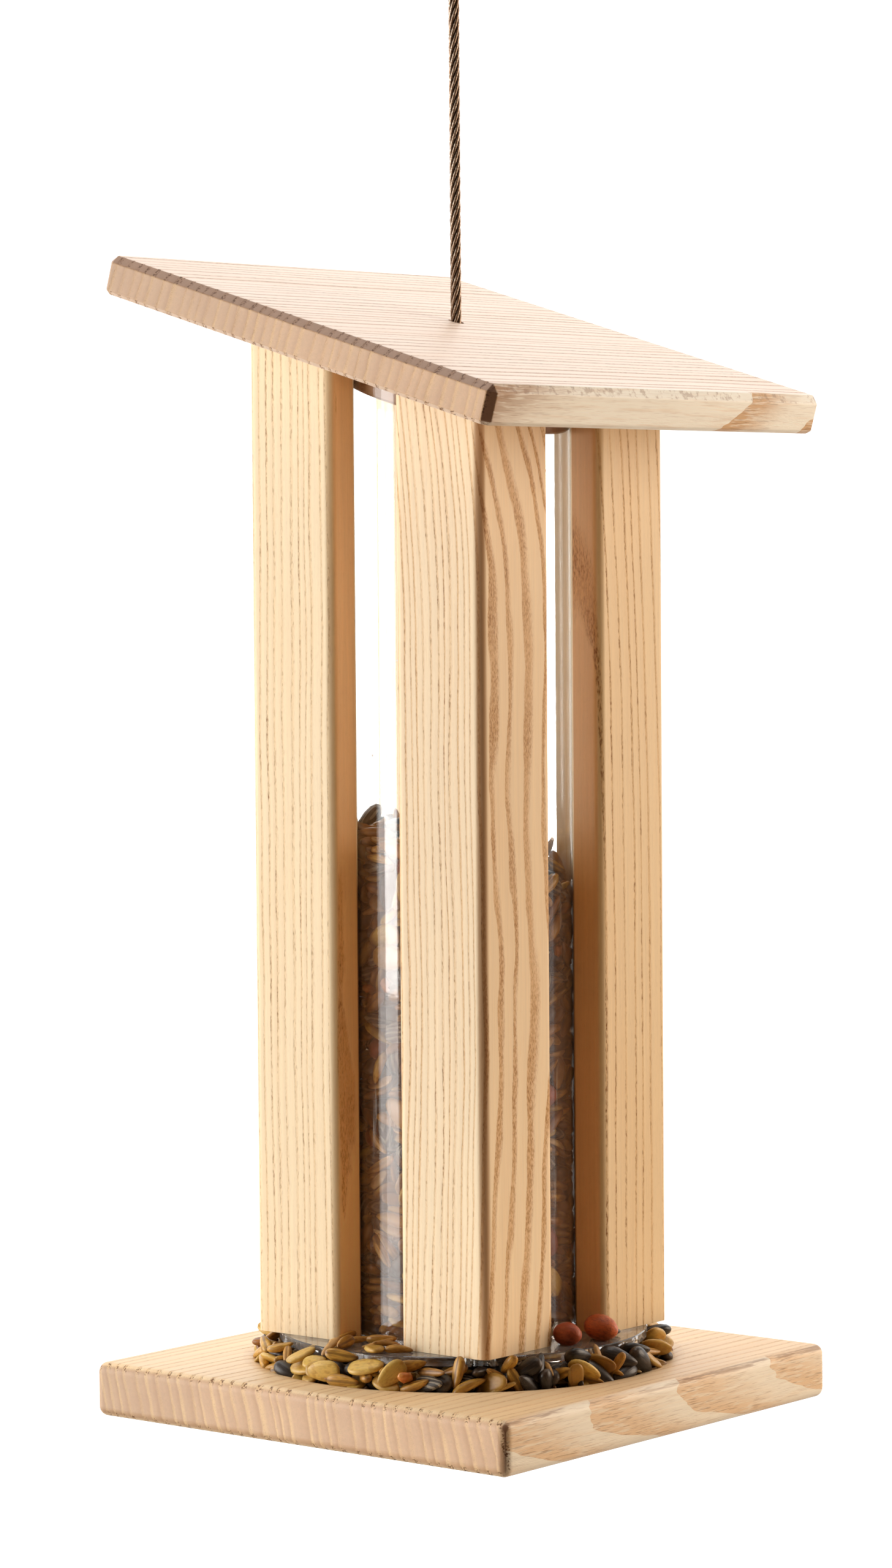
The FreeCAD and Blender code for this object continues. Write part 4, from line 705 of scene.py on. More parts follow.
TUBE_SEED = [
    (6,105,-301,96,224,46,0,-1,-89,32), (6,102,-238,-77,224,60,0,-1,80,81), (6,110,-149,-194,232,16,-89,42,-6,47), (1,113,-8,-286,240,70,-46,-25,49,61),
    (1,105,227,-222,237,30,12,-13,-94,62), (2,112,234,-49,231,2,-65,76,1,84), (0,105,260,105,232,47,2,1,-88,95), (0,116,172,262,277,23,-47,-74,-42,81),
    (4,113,-41,282,244,30,-2,12,95,83), (6,102,-201,252,224,30,-1,0,-95,32), (0,110,-200,-227,231,0,92,-38,0,77), (1,109,-39,-280,241,29,-51,69,-43,20),
    (1,100,158,-284,237,95,-25,-1,19,8), (0,100,254,-124,238,10,-12,-99,-4,55), (0,112,277,73,253,86,6,-6,50,70), (2,102,183,176,247,7,-24,1,97,83),
    (5,85,-12,290,303,39,73,-56,-9,73), (5,92,-163,213,261,28,96,7,-1,84), (1,123,-285,67,248,42,-84,-26,23,43), (2,115,-279,-96,236,26,52,-69,-43,62),
    (0,97,-102,-267,233,91,6,3,41,97), (3,107,50,-306,244,23,12,-21,-94,52), (1,99,195,-173,231,3,-2,100,0,40), (0,113,301,-26,232,0,-77,-63,0,60),
    (1,107,221,165,232,1,86,51,-2,57), (1,97,130,266,238,57,44,-29,-63,14), (7,110,-60,325,268,54,-64,11,53,1), (1,110,-217,172,240,16,2,48,86,5),
    (0,105,-282,17,257,17,-10,58,-79,74), (2,108,-234,-152,234,54,-84,-4,5,43), (0,103,74,270,231,79,0,0,-62,50), (4,103,-103,270,261,13,-32,-10,93,48),
    (2,101,-240,147,230,2,18,98,0,81), (2,107,-283,-24,236,22,-8,5,-97,15), (1,110,-252,-198,254,1,38,92,0,2), (3,108,-121,-286,269,3,10,11,99,35),
    (6,102,71,-252,262,77,-21,0,60,0), (6,108,274,-174,251,89,-16,3,43,14), (4,108,278,5,274,7,32,89,31,90), (1,99,246,130,263,85,36,8,37,24),
    (2,106,72,279,254,39,-4,14,-91,46), (1,106,-159,282,285,91,20,23,27,96), (1,101,-227,79,262,68,-46,21,54,85), (2,117,-234,-105,252,68,-18,-3,71,21),
    (1,116,-158,-237,260,97,-14,12,14,16), (1,105,8,-298,272,22,41,-88,-11,5), (1,95,173,-238,245,39,-32,-14,85,66), (2,102,264,-88,260,83,41,-23,-28,96),
    (1,110,256,70,283,46,-84,28,-7,72), (0,115,173,218,257,86,51,3,-1,50), (2,109,-225,104,288,10,71,-53,44,13), (6,109,-243,-96,276,15,-96,4,-25,45),
    (1,114,-165,-182,253,22,-95,22,-4,59), (1,108,17,-241,278,3,-13,29,95,2), (3,101,140,-226,259,10,-96,-9,-25,9), (0,108,262,-100,284,46,-74,47,-11,67),
    (0,105,278,57,309,4,-94,-30,12,16), (1,101,165,164,273,1,-46,-52,72,38), (4,112,49,305,284,7,48,18,-86,48), (4,105,-129,254,310,76,-3,17,63,76),
    (2,115,-86,268,324,21,-88,41,3,82), (1,100,-264,150,256,95,-11,-22,21,25), (0,102,-281,-36,267,13,4,-98,16,86), (6,105,-199,-121,273,60,-12,63,48,32),
    (1,109,-45,-281,280,22,-66,-70,19,77), (1,113,109,-260,278,43,14,16,88,75), (1,109,206,-193,268,83,-39,13,-38,47), (0,100,293,0,322,13,-91,35,18,77),
    (7,114,202,134,265,13,35,-4,-93,50), (0,102,108,281,299,70,-36,-62,-2,86), (1,104,250,183,267,43,16,-85,26,74), (6,103,104,247,277,56,-5,71,-42,70),
    (2,103,-65,284,316,71,54,-41,-20,8), (1,104,-233,231,266,32,78,7,54,14), (1,104,-275,-8,285,16,-14,2,-98,77), (7,100,-205,-139,274,83,-46,27,15,90),
    (3,98,-111,-228,290,26,-91,30,-14,56), (1,98,71,-287,292,16,-78,-61,-7,2), (2,102,187,-212,254,21,-35,-64,65,58), (1,112,273,-50,289,12,33,78,52,29),
    (7,111,-94,216,286,60,20,55,-55,67), (0,112,-268,148,280,14,-47,85,-18,58), (0,116,-261,-108,282,29,-24,92,7,87), (0,98,-226,-183,283,6,-99,13,6,36),
    (0,109,-14,-281,302,8,-41,-91,9,73), (1,114,176,-268,292,32,-8,11,-94,45), (5,87,243,-167,297,34,-52,-33,71,49), (4,115,302,-52,341,14,-69,70,9,53),
    (2,103,180,200,278,52,85,4,6,43), (1,96,166,250,313,49,85,0,-22,37), (2,100,183,-275,317,87,-40,-7,28,91), (2,113,259,-116,315,38,-2,54,75,26),
    (4,108,235,111,326,62,-18,33,69,25), (7,104,239,222,287,25,-36,-12,-89,17), (6,103,61,217,263,8,16,69,70,9), (1,103,-113,255,350,35,-37,-54,67,99),
    (5,89,-295,71,324,61,-21,55,-53,51), (1,129,-305,-95,309,55,-51,62,-22,34), (1,120,-180,-227,305,10,61,79,7,19), (1,112,27,-242,324,11,6,80,59,73),
    (2,117,73,235,306,37,-8,-69,62,78), (1,107,-70,273,352,60,5,10,79,10), (0,118,-210,189,315,75,5,1,66,65), (2,105,-240,29,310,66,-2,-27,70,64),
    (4,100,-231,-169,323,15,-2,99,-2,96), (2,108,-101,-286,300,2,-42,-91,2,50), (2,103,104,-268,309,16,-67,72,9,64), (2,117,190,-145,312,19,-75,-18,61,79),
    (2,107,280,-37,382,91,-38,-14,-10,34), (3,113,175,178,324,4,36,80,-49,26), (2,100,-32,231,412,54,-71,-28,-35,49), (2,114,-235,144,339,5,-2,19,-98,9),
    (1,108,-278,-17,319,2,24,97,3,41), (1,95,-245,-224,318,32,-24,-66,64,43), (0,102,-96,-273,323,45,1,4,89,42), (2,116,115,-295,342,79,-24,38,41,81),
    (1,116,204,-196,327,10,-91,-1,-41,44), (7,106,235,35,380,23,-63,63,-40,35), (2,116,178,198,369,59,-33,-7,-74,39), (1,106,81,220,337,14,-10,-70,69,74),
    (2,116,-269,-132,330,29,70,64,10,59), (1,100,-139,-270,350,6,24,-51,-82,43), (1,128,43,-303,329,21,97,-11,-10,17), (1,99,147,-226,301,26,96,-8,7,37),
    (2,106,228,-64,349,38,-56,52,53,99), (1,115,280,160,304,55,19,56,59,40), (2,116,156,228,309,85,-50,14,-6,49), (1,115,-31,276,361,52,28,67,44,35),
    (2,103,-180,209,336,3,-61,-79,2,90), (2,118,-246,30,357,69,-39,-18,58,31), (2,108,3,312,351,27,9,-29,91,10), (1,104,-151,246,355,41,-84,28,-23,23),
    (2,108,-256,100,371,45,-4,17,88,58), (1,116,-237,-95,341,1,-38,-89,26,92), (0,97,-170,-229,338,95,-10,3,28,99), (6,103,-24,-330,337,8,-2,-76,65,9),
    (0,99,144,-183,323,33,-67,22,63,35), (1,110,249,-98,351,25,18,32,-90,23), (1,106,278,103,364,42,81,-41,-4,58), (0,103,104,276,356,24,-85,46,3,3),
    (0,102,-279,51,386,98,7,-18,-3,57), (1,110,-309,-90,363,6,-58,-78,-23,16), (2,118,-160,-233,365,69,-20,2,-70,79), (0,115,18,-283,368,41,-9,-4,-90,94),
    (5,94,163,-239,362,67,52,15,51,54), (0,111,252,-130,370,38,-92,-11,-7,19), (2,104,305,119,372,80,-15,-28,-50,70), (1,103,167,287,359,19,20,68,68,24),
    (1,101,22,270,359,55,-65,-50,17,44), (2,100,-122,251,379,12,41,90,4,41), (4,115,77,-261,393,18,-84,-43,27,37), (0,107,245,-223,366,65,65,28,29,49),
    (1,112,258,10,376,10,-45,79,-41,79), (1,118,227,240,324,28,28,65,65,74), (7,110,100,228,372,48,39,12,78,47), (6,108,-89,279,366,76,26,-33,-50,23),
    (3,108,-239,197,352,13,-34,92,12,4), (2,100,-332,5,388,50,48,-52,-49,77), (2,114,-207,-193,363,56,-17,-28,76,84), (1,127,-53,-273,354,91,-15,3,39,30),
    (3,100,-159,-185,392,18,-41,-72,52,60), (0,115,-87,-264,390,8,97,24,-1,33), (3,96,119,-264,415,34,-62,-70,11,98), (2,108,314,-77,412,69,-19,69,-12,22),
    (6,107,247,1,416,39,78,-30,-39,19), (2,115,247,209,361,33,-12,-43,83,5), (3,118,78,270,395,75,59,8,30,36), (6,112,-102,277,378,90,9,-24,-36,46),
    (1,110,-245,149,366,18,-93,32,10,28), (0,101,-267,-149,366,2,-81,57,17,85), (0,104,-267,89,409,92,-36,10,8,95), (1,116,-241,-144,398,48,16,11,-85,5),
    (0,97,-88,-270,414,68,-2,-8,-73,55), (1,113,77,-260,443,46,-68,-35,45,29), (0,104,234,-154,386,96,28,1,3,96), (1,99,308,10,398,63,38,56,38,83),
    (1,127,265,149,389,7,95,-30,8,18), (2,118,109,237,399,32,11,-93,-10,17), (6,110,-122,272,391,95,-8,-14,-27,65), (2,100,-171,162,360,89,-22,6,40,48),
    (4,101,194,-175,420,95,5,6,30,70), (1,98,235,-88,402,28,87,40,-5,79), (2,131,252,91,405,11,23,93,28,9), (2,115,156,249,396,33,72,-59,-15,12),
    (0,105,-86,321,406,7,12,-70,-70,11), (1,105,-160,230,377,13,43,85,29,31), (2,103,-292,41,407,27,86,-42,-14,46), (1,112,-267,-57,373,4,-27,-82,50,30),
    (4,104,-222,-232,416,37,-1,-61,70,51), (2,121,-8,-280,405,84,-8,11,52,28), (0,107,331,8,423,65,28,-66,-25,82), (7,99,286,159,420,70,8,2,-71,49),
    (4,114,6,310,410,15,13,54,-82,33), (1,112,-58,275,409,18,-7,-12,97,22), (3,113,-206,190,398,90,38,12,-18,39), (1,105,-308,4,413,44,34,-33,76,20),
    (7,95,-209,-113,381,87,7,-42,26,20), (1,118,-112,-257,443,70,-17,2,70,39), (3,117,23,-278,455,53,54,65,8,35), (4,110,254,-188,427,38,-24,55,-70,74),
    (0,100,152,271,424,94,-14,28,-10,95), (0,96,-59,263,430,50,15,3,-86,14), (0,105,-219,150,410,42,-89,-18,-8,6), (7,97,-331,-21,425,21,52,-31,-76,77),
    (0,109,-223,-174,418,88,33,-15,31,27), (2,117,-165,-232,439,70,1,9,71,90), (3,116,-40,-276,455,85,0,31,42,89), (0,116,201,-187,470,21,-83,-49,-16,45),
    (3,110,243,-78,440,5,71,61,-36,36), (2,117,259,137,430,82,-53,-4,-21,98), (0,118,216,204,425,58,-35,16,72,31), (0,117,31,281,451,15,-71,-64,-25,78),
    (1,97,-180,228,409,80,-49,23,-25,81), (2,103,-250,123,411,1,6,90,43,76), (1,115,-281,-31,408,66,-72,-9,19,43), (6,98,-196,-220,446,43,35,-83,-6,3),
    (4,102,-144,-245,474,1,75,-66,12,87), (4,107,177,-250,469,38,-82,-41,-8,3), (2,101,254,-114,422,88,-27,18,35,28), (0,101,243,187,418,24,85,-37,27,20),
    (2,129,-282,27,453,31,-20,-79,48,5), (1,111,-251,-116,437,23,-26,94,2,86), (1,118,-91,-268,505,66,-44,-5,61,25), (0,98,94,-319,458,68,70,-3,24,83),
    (0,100,253,-216,481,35,-23,67,-61,63), (2,112,278,-37,432,13,71,-64,26,16), (4,115,244,115,462,26,5,82,50,39), (1,108,98,251,441,51,28,34,74,3),
    (1,117,-114,257,439,86,26,-24,-36,94), (7,106,-286,167,409,39,23,-51,-73,62), (2,109,327,-56,483,54,-39,58,-47,4), (1,103,266,36,419,23,12,90,36,72),
    (1,95,151,186,416,63,-62,27,-38,50), (2,123,69,241,479,27,-93,23,-4,30), (1,96,-138,246,404,34,-15,-23,90,34), (6,95,-241,109,424,1,4,16,-99,75),
    (1,115,-273,-74,429,80,-51,-16,26,31), (2,106,-194,-172,465,70,15,-6,-70,43), (2,106,-48,-325,513,85,31,36,-23,86), (2,109,132,-214,464,84,-2,-23,49,11),
    (7,100,228,-158,458,13,20,48,-84,29), (1,111,298,38,460,18,91,-35,14,27), (1,118,179,220,448,15,96,23,-7,35), (1,104,-50,293,467,85,46,7,26,60),
    (1,106,-150,235,427,34,-26,-35,84,16), (7,106,-197,137,434,52,14,-64,54,38), (1,107,-284,-40,453,98,-21,-2,-3,4), (7,104,-246,-214,464,5,-96,20,21,10),
    (3,105,-108,-235,531,47,-54,13,68,92), (4,105,82,-265,489,13,77,60,-20,78), (3,101,-285,-20,487,91,30,-7,-28,59), (1,107,-205,-182,484,19,-53,83,0,98),
    (1,115,-140,-293,540,50,-19,74,42,15), (1,112,128,-299,530,50,-23,-54,-64,34), (1,109,289,-134,474,89,15,30,32,23), (3,101,245,54,482,63,-4,-35,70,5),
    (6,97,209,104,464,69,52,-20,-46,68), (1,117,99,300,477,5,96,-17,-24,51), (0,107,-153,258,458,4,19,1,-98,11), (0,104,-253,134,444,81,5,-4,-59,16),
    (6,118,-225,-231,494,0,91,-40,-14,6), (2,113,-28,-307,521,51,30,-80,2,82), (4,97,150,-240,512,14,92,-34,15,96), (0,111,275,-116,502,68,-26,-16,-67,95),
    (6,96,296,144,467,15,53,77,31,91), (6,97,193,277,425,56,74,-4,-38,23), (1,102,-74,317,461,84,52,6,18,47), (1,102,-198,209,440,11,-20,-97,12,25),
    (2,101,-250,132,465,3,-97,25,-4,49), (1,117,-270,-79,476,7,-100,4,-1,11), (6,115,148,249,477,35,46,-78,-24,86), (4,117,-31,269,489,56,-75,-32,17,96),
    (2,115,-165,172,461,93,-22,-2,30,83), (1,96,-284,70,459,64,72,-20,-18,1), (2,98,-310,-117,478,32,54,-14,77,41), (2,113,-177,-219,496,76,-21,-11,60,24),
    (1,109,25,-292,526,46,43,76,16,30), (1,98,221,-181,503,14,-12,95,27,43), (3,113,244,208,529,26,-41,-70,53,90), (2,119,216,194,487,9,75,-66,3,24),
    (6,98,152,303,490,22,46,57,-65,8), (1,113,168,232,495,34,69,56,30,35), (1,117,6,247,517,59,4,76,-29,88), (2,128,-210,200,479,94,-14,-3,30,43),
    (1,109,-262,96,471,95,0,11,-30,92), (5,91,-262,-148,484,47,48,10,-74,55), (1,112,-194,-206,516,13,-42,89,-7,62), (1,113,-17,-258,509,83,-10,-42,-36,37),
    (0,109,222,-120,519,35,17,-32,-86,80), (1,117,261,-30,467,62,67,39,10,37), (4,103,-243,67,528,36,82,26,37,6), (6,100,-188,-193,550,14,52,-76,-37,87),
    (1,102,-53,-257,537,10,91,36,-18,54), (0,104,24,-231,529,35,-28,-65,-61,5), (2,111,289,-50,489,54,-9,-23,-81,97), (2,104,287,154,482,24,-86,43,-13,95),
    (2,110,193,154,505,41,-64,63,-15,89), (1,115,-51,317,499,98,-15,-6,13,72), (1,116,-196,265,480,7,34,-61,-71,25), (6,113,-215,94,495,44,-40,48,-65,55),
    (1,100,-162,179,490,21,38,-85,-27,4), (2,109,-237,34,483,67,26,25,65,51), (2,116,-243,-30,510,14,63,-75,-16,90), (0,95,-164,-230,528,80,32,12,49,90),
    (6,108,-43,-299,559,24,88,40,-11,87), (1,111,193,-207,528,27,3,3,96,20), (7,106,274,-43,512,8,30,-21,-93,52), (4,117,128,244,523,77,25,-18,-56,87),
    (2,111,61,271,531,73,25,-18,-60,27), (7,104,-115,307,520,58,79,1,-19,64), (4,107,95,-249,543,83,-21,0,52,32), (1,120,242,-34,527,56,34,75,11,14),
    (5,95,298,13,540,58,-32,-59,-45,2), (6,95,207,199,522,47,-62,51,-38,28), (7,103,-34,233,521,52,33,51,-60,59), (2,106,-166,223,509,89,35,-19,-21,56),
    (1,99,-255,105,495,8,33,-94,-10,9), (1,104,-323,-40,515,39,52,52,56,18), (2,107,-219,-177,517,88,-8,-5,47,2), (3,106,-58,-273,581,94,16,28,11,33),
    (1,103,-193,200,518,41,-5,13,90,91), (1,108,-263,138,510,31,24,90,-19,16), (2,117,-287,-149,541,11,-79,53,-30,59), (1,114,-156,-236,558,55,-15,39,-72,63),
    (1,103,20,-280,573,62,-3,24,-75,1), (2,107,204,-128,540,21,-28,89,-30,33), (3,106,298,-60,549,32,49,-6,81,92), (1,106,239,223,629,68,10,-69,24,73),
    (7,109,194,138,536,62,-17,76,-10,76), (3,106,-104,263,516,94,-15,-26,14,23), (3,106,241,-120,578,79,3,35,-50,5), (2,110,274,68,519,22,1,-91,-35,21),
    (1,123,190,207,555,31,-51,79,-13,40), (4,97,96,266,570,9,-66,-74,-10,99), (0,101,-176,225,535,8,69,-72,9,8), (0,117,-296,97,520,45,35,-21,-80,41),
    (2,114,-261,-13,529,17,86,40,26,60), (2,125,-226,-167,548,3,65,-75,-6,37), (2,105,-11,-273,585,66,-21,58,-43,38), (1,101,143,-288,565,12,19,-93,28,60),
    (4,101,-117,294,559,18,13,34,-91,93), (3,99,-224,173,528,45,-77,43,-13,2), (2,111,-324,65,531,37,51,-42,-65,7), (0,103,-270,-83,551,31,11,-24,-91,8),
    (2,98,-188,-217,563,83,-10,-9,54,78), (0,100,-11,-310,593,94,23,15,-19,28), (3,107,182,-218,568,29,-94,16,-6,11), (1,128,295,-124,576,58,-19,56,-57,9),
    (0,97,259,116,519,98,-17,-5,10,67), (0,98,160,231,579,69,-37,-22,59,49), (2,116,224,127,544,77,-5,37,52,53), (2,121,206,179,598,63,22,5,74,15),
    (1,124,-22,314,546,0,20,37,-91,5), (5,91,-179,220,585,88,7,-13,-45,42), (7,115,-304,10,530,41,71,-54,-17,39), (1,99,-298,-66,564,93,7,-21,-30,49),
    (7,112,-215,-107,489,80,23,-46,31,92), (1,116,-12,-321,616,8,-1,-96,-26,65), (1,110,159,-249,580,12,5,89,44,31), (6,111,236,-157,582,81,50,-2,-31,98),
    (3,114,267,-164,622,37,-47,79,-13,30), (0,106,267,88,551,43,-1,-13,-89,45), (2,114,133,248,596,31,10,-9,-94,13), (0,100,-16,281,577,32,-69,65,-7,87),
    (6,111,-325,35,549,58,26,-13,-76,70), (0,118,-266,57,562,67,-2,-13,73,85), (6,96,-274,-149,576,38,90,-23,-4,22), (4,112,-195,-218,595,97,14,-10,-16,18),
    (2,97,59,-263,578,26,56,-78,-12,40), (1,103,199,-171,561,18,-21,-78,-57,63), (1,123,-231,165,578,14,56,79,20,8), (1,100,-227,-94,585,3,-92,39,7,6),
    (1,101,-208,-154,588,1,97,-25,8,39), (0,108,18,-282,637,49,-7,-10,-87,64), (0,118,70,-271,602,17,9,10,98,55), (3,100,219,-132,633,46,40,-5,-79,35),
    (0,110,270,77,577,1,45,-88,13,46), (3,112,192,209,645,73,11,16,65,56), (1,107,46,277,576,40,-66,-57,28,44), (2,117,-111,240,547,3,-16,-94,-29,1),
    (6,103,246,160,566,70,13,0,-70,37), (0,114,75,253,610,1,97,-22,6,27), (1,124,-38,256,597,34,-26,90,-6,23), (0,115,-238,187,613,7,87,46,19,95),
    (0,114,-265,72,590,95,5,-13,28,60), (1,115,-278,-139,605,75,-7,-1,-65,1), (4,103,-169,-274,617,32,46,50,-66,13), (6,96,79,-323,551,75,51,38,-18,88),
    (1,113,151,-239,634,90,0,11,-43,21), (1,111,254,-51,604,51,66,-54,-15,6), (6,117,218,-188,587,17,-24,-94,16,96), (1,114,253,20,619,47,14,23,84,4),
    (0,102,261,166,600,11,-86,13,47,75), (0,99,60,308,619,8,2,35,93,33), (1,112,-125,258,587,83,-8,30,-46,50), (0,109,-303,133,630,39,69,11,61,64),
    (0,96,-302,-5,568,42,-69,58,12,94), (0,110,-116,-202,612,1,37,61,71,18), (6,115,-127,-267,592,67,17,-46,-57,26), (0,111,109,-262,617,58,-13,0,-80,82),
    (4,107,-58,-271,644,9,94,32,3,60), (1,111,102,-263,651,1,89,-44,-8,6), (0,109,221,-174,644,91,36,-20,6,50), (1,105,324,28,603,72,-23,10,-65,23),
    (1,97,287,155,630,80,31,4,-51,88), (2,98,42,229,636,69,70,-7,-15,28), (1,125,-86,271,617,83,2,0,56,18), (2,101,-192,140,636,58,-73,-35,9,90),
    (1,109,-245,-12,582,76,28,6,58,89), (1,114,-320,-44,598,50,53,-30,-62,25), (0,100,268,95,601,8,3,96,-25,64), (0,96,125,195,674,51,-68,-14,-51,70),
    (1,98,-36,323,639,5,-5,-24,-97,32), (2,104,-174,184,633,25,-91,-31,13,82), (7,106,-319,58,601,33,-7,38,-86,35), (0,106,-269,-79,627,10,98,1,-19,59),
    (0,117,26,-279,715,69,-11,-57,42,80), (1,108,-15,-288,670,24,-77,-49,33,57), (1,102,184,-216,611,21,-6,-60,77,50), (2,128,281,-60,651,49,80,19,-27,32),
    (0,115,130,266,640,40,19,8,90,37), (1,119,-68,277,657,5,-39,-92,-2,44), (1,115,-245,178,645,16,-52,83,8,16), (2,114,-297,25,621,5,-86,47,16,96),
    (4,113,-246,-143,641,13,-15,-97,-14,15), (2,100,-101,-237,638,26,24,22,-91,13), (4,103,57,-276,687,32,64,-20,-66,30), (0,111,198,-204,656,82,24,16,-50,60),
    (1,116,282,-1,659,11,13,49,86,95), (1,96,240,115,631,38,0,-75,-54,55), (2,114,197,206,684,49,-41,38,-67,78), (4,99,27,315,665,33,-93,0,17,56),
    (5,93,-158,250,666,1,2,98,20,59), (3,113,-276,84,651,41,16,-36,82,87), (3,98,-292,-25,650,92,-9,33,19,46), (2,99,-143,-211,625,70,-65,27,-10,92),
    (2,115,-21,-240,676,33,94,4,9,59), (0,111,139,-250,668,95,-7,21,-20,91), (1,112,307,-123,686,48,-33,61,-53,69), (1,118,265,49,640,35,88,-21,-23,51),
    (7,112,-178,191,663,41,3,-37,83,27), (1,97,-329,49,688,64,16,-69,-31,80), (1,122,-250,-56,671,17,-52,-81,22,32), (0,116,-184,-218,659,4,-6,36,-93,36),
    (0,96,-47,-304,699,93,-7,-25,-25,31), (0,116,202,-260,698,69,62,36,8,15), (1,96,325,-48,679,18,66,-48,-55,27), (1,113,272,100,651,21,-14,-66,-71,41),
    (1,113,158,240,678,74,18,-24,-60,9), (1,111,-60,276,691,14,72,-68,-2,38), (1,111,-111,-257,675,65,-19,22,-70,70), (0,103,3,-284,722,36,-40,-43,72,50),
    (1,97,230,-181,689,18,-28,-94,-1,29), (0,104,272,46,671,27,-2,-95,14,28), (4,116,243,184,683,54,18,-9,82,91), (0,97,23,258,670,17,-97,0,17,90),
    (1,99,-126,300,698,90,-26,16,31,52), (6,108,-258,121,637,75,26,17,-59,87), (0,96,-247,31,690,38,63,-29,61,51), (2,102,-223,-213,627,5,-98,17,0,1),
    (0,117,-238,-144,683,29,-95,12,3,32), (6,109,-123,-245,705,30,-51,76,-28,88), (2,107,89,-294,711,83,41,30,24,18), (1,106,174,-205,683,0,13,96,26,61),
    (3,101,282,-39,709,90,-20,-5,-37,19), (1,98,201,123,664,16,68,10,-71,43), (1,103,104,275,678,10,-74,66,7,16), (6,105,-52,321,706,7,0,-3,-100,74),
    (1,110,-175,156,680,61,70,15,35,67), (0,114,-282,35,685,70,-64,-32,6,8), (2,114,-253,120,667,64,-67,38,3,18), (3,98,-265,-20,716,38,21,90,6,35),
    (2,106,-213,-190,653,97,-19,-5,12,58), (1,109,-88,-265,710,30,62,68,24,17), (2,118,135,-282,702,45,-78,-22,38,98), (7,96,259,-136,671,99,-3,-3,16,8),
    (1,105,322,46,674,67,-41,23,-57,67), (3,99,234,159,727,31,94,17,1,31), (2,100,44,300,694,40,10,-20,89,17), (1,100,-90,251,698,75,-37,49,-23,86),
    (4,107,-161,206,722,27,21,68,-65,80), (1,96,-297,66,706,25,-18,-30,-90,97), (2,108,-288,-91,692,25,39,16,-87,9), (2,108,-165,-232,674,7,-37,85,37,29),
    (6,96,-48,-335,736,63,-70,-18,-28,46), (1,97,118,-225,704,97,11,22,-8,67), (7,99,224,-80,704,61,-43,65,10,26), (0,111,295,68,698,66,-13,2,74,16),
    (0,111,183,239,721,3,-97,13,-20,31), (2,100,-92,217,708,92,25,-23,20,16), (2,116,-242,-142,719,7,-11,67,73,40), (0,101,-196,-237,694,8,22,96,17,64),
    (1,109,1,-272,775,65,-15,27,69,12), (0,96,176,-205,713,7,-63,77,-4,20), (2,111,252,-100,698,4,-24,48,85,3), (1,109,249,122,701,16,-90,-41,1,79),
    (4,118,108,292,730,29,19,90,26,33), (0,97,-52,274,721,39,7,-1,92,87), (1,114,-238,184,687,17,-65,-73,-15,79), (4,102,-311,-56,721,68,27,-19,-66,90),
    (1,116,245,-142,717,33,-27,-79,44,12), (3,111,298,72,733,13,-76,62,-18,63), (2,116,181,215,745,17,-60,77,-12,29), (0,104,26,285,709,82,18,11,-53,84),
    (7,105,-221,235,691,41,-23,-75,46,85), (2,113,-251,110,699,9,-9,75,-65,17), (6,103,-297,-129,738,24,-55,-79,15,12), (1,110,-37,-274,727,78,11,-25,-56,75),
    (2,96,-62,-301,749,19,-95,-24,-7,73), (0,113,124,-267,736,47,-1,-12,-87,29), (1,115,-235,159,719,2,5,100,3,17), (0,105,-296,10,752,24,79,-57,-1,33),
    (1,115,-280,-146,747,23,-50,-82,15,4), (1,111,-160,-281,721,21,-6,29,93,66), (1,131,93,-279,771,96,2,6,27,24), (6,118,226,-183,724,72,-46,23,-47,71),
    (2,112,237,32,736,69,-4,-23,-68,29), (2,108,260,199,761,46,-5,-7,89,46), (2,107,30,284,732,18,-74,64,15,44), (7,112,-123,246,720,8,40,71,-57,49),
    (6,113,246,130,739,70,67,18,17,77), (1,114,103,228,719,7,48,47,-74,5), (0,111,-55,326,767,6,-6,70,-70,16), (0,113,-182,214,774,23,-81,35,-42,50),
    (0,105,-266,96,727,16,27,95,-8,58), (7,114,-224,-81,705,78,5,39,49,20), (1,108,-154,-244,738,69,61,37,14,67), (1,117,-117,-255,749,84,27,32,33,65),
    (6,110,219,-233,729,85,-18,26,43,94), (7,110,258,15,721,78,-9,-18,-59,3), (2,112,232,-182,754,5,8,-99,-12,3), (3,110,252,64,768,52,24,-32,-76,79),
    (2,99,220,185,746,92,-28,7,25,34), (0,98,74,273,749,72,-23,-36,55,29), (0,116,-98,266,759,22,-4,-24,94,6), (1,116,-220,185,757,39,-73,45,-35,50),
    (0,99,-260,5,767,82,-20,2,-54,17), (6,106,-253,-181,702,39,88,4,-28,6), (7,116,-63,-234,741,90,13,-2,-41,93), (4,107,216,-236,788,26,32,-55,-73,30),
    (0,103,-154,259,778,48,-5,81,33,5), (1,111,-275,120,744,13,-19,96,-13,50), (1,98,-260,-68,759,7,-11,-57,81,83), (4,105,-195,-178,715,19,-1,63,75,47),
    (2,111,-45,-328,779,13,20,66,-71,70), (1,100,164,-215,757,20,-15,-42,-87,9), (4,116,256,-116,760,72,-34,4,-60,90), (1,117,229,114,789,64,3,-40,-65,58),
    (0,111,208,206,775,3,-99,11,-6,5), (2,117,149,255,788,97,23,-7,0,63), (2,115,-111,259,787,32,27,23,88,82), (2,112,-264,82,770,4,-20,60,78,8),
    (2,103,-248,-104,740,18,26,-14,94,59), (0,98,-207,-211,742,21,-20,91,30,41), (4,107,-64,-271,777,47,81,33,12,61), (2,108,113,-208,740,44,83,32,4,57),
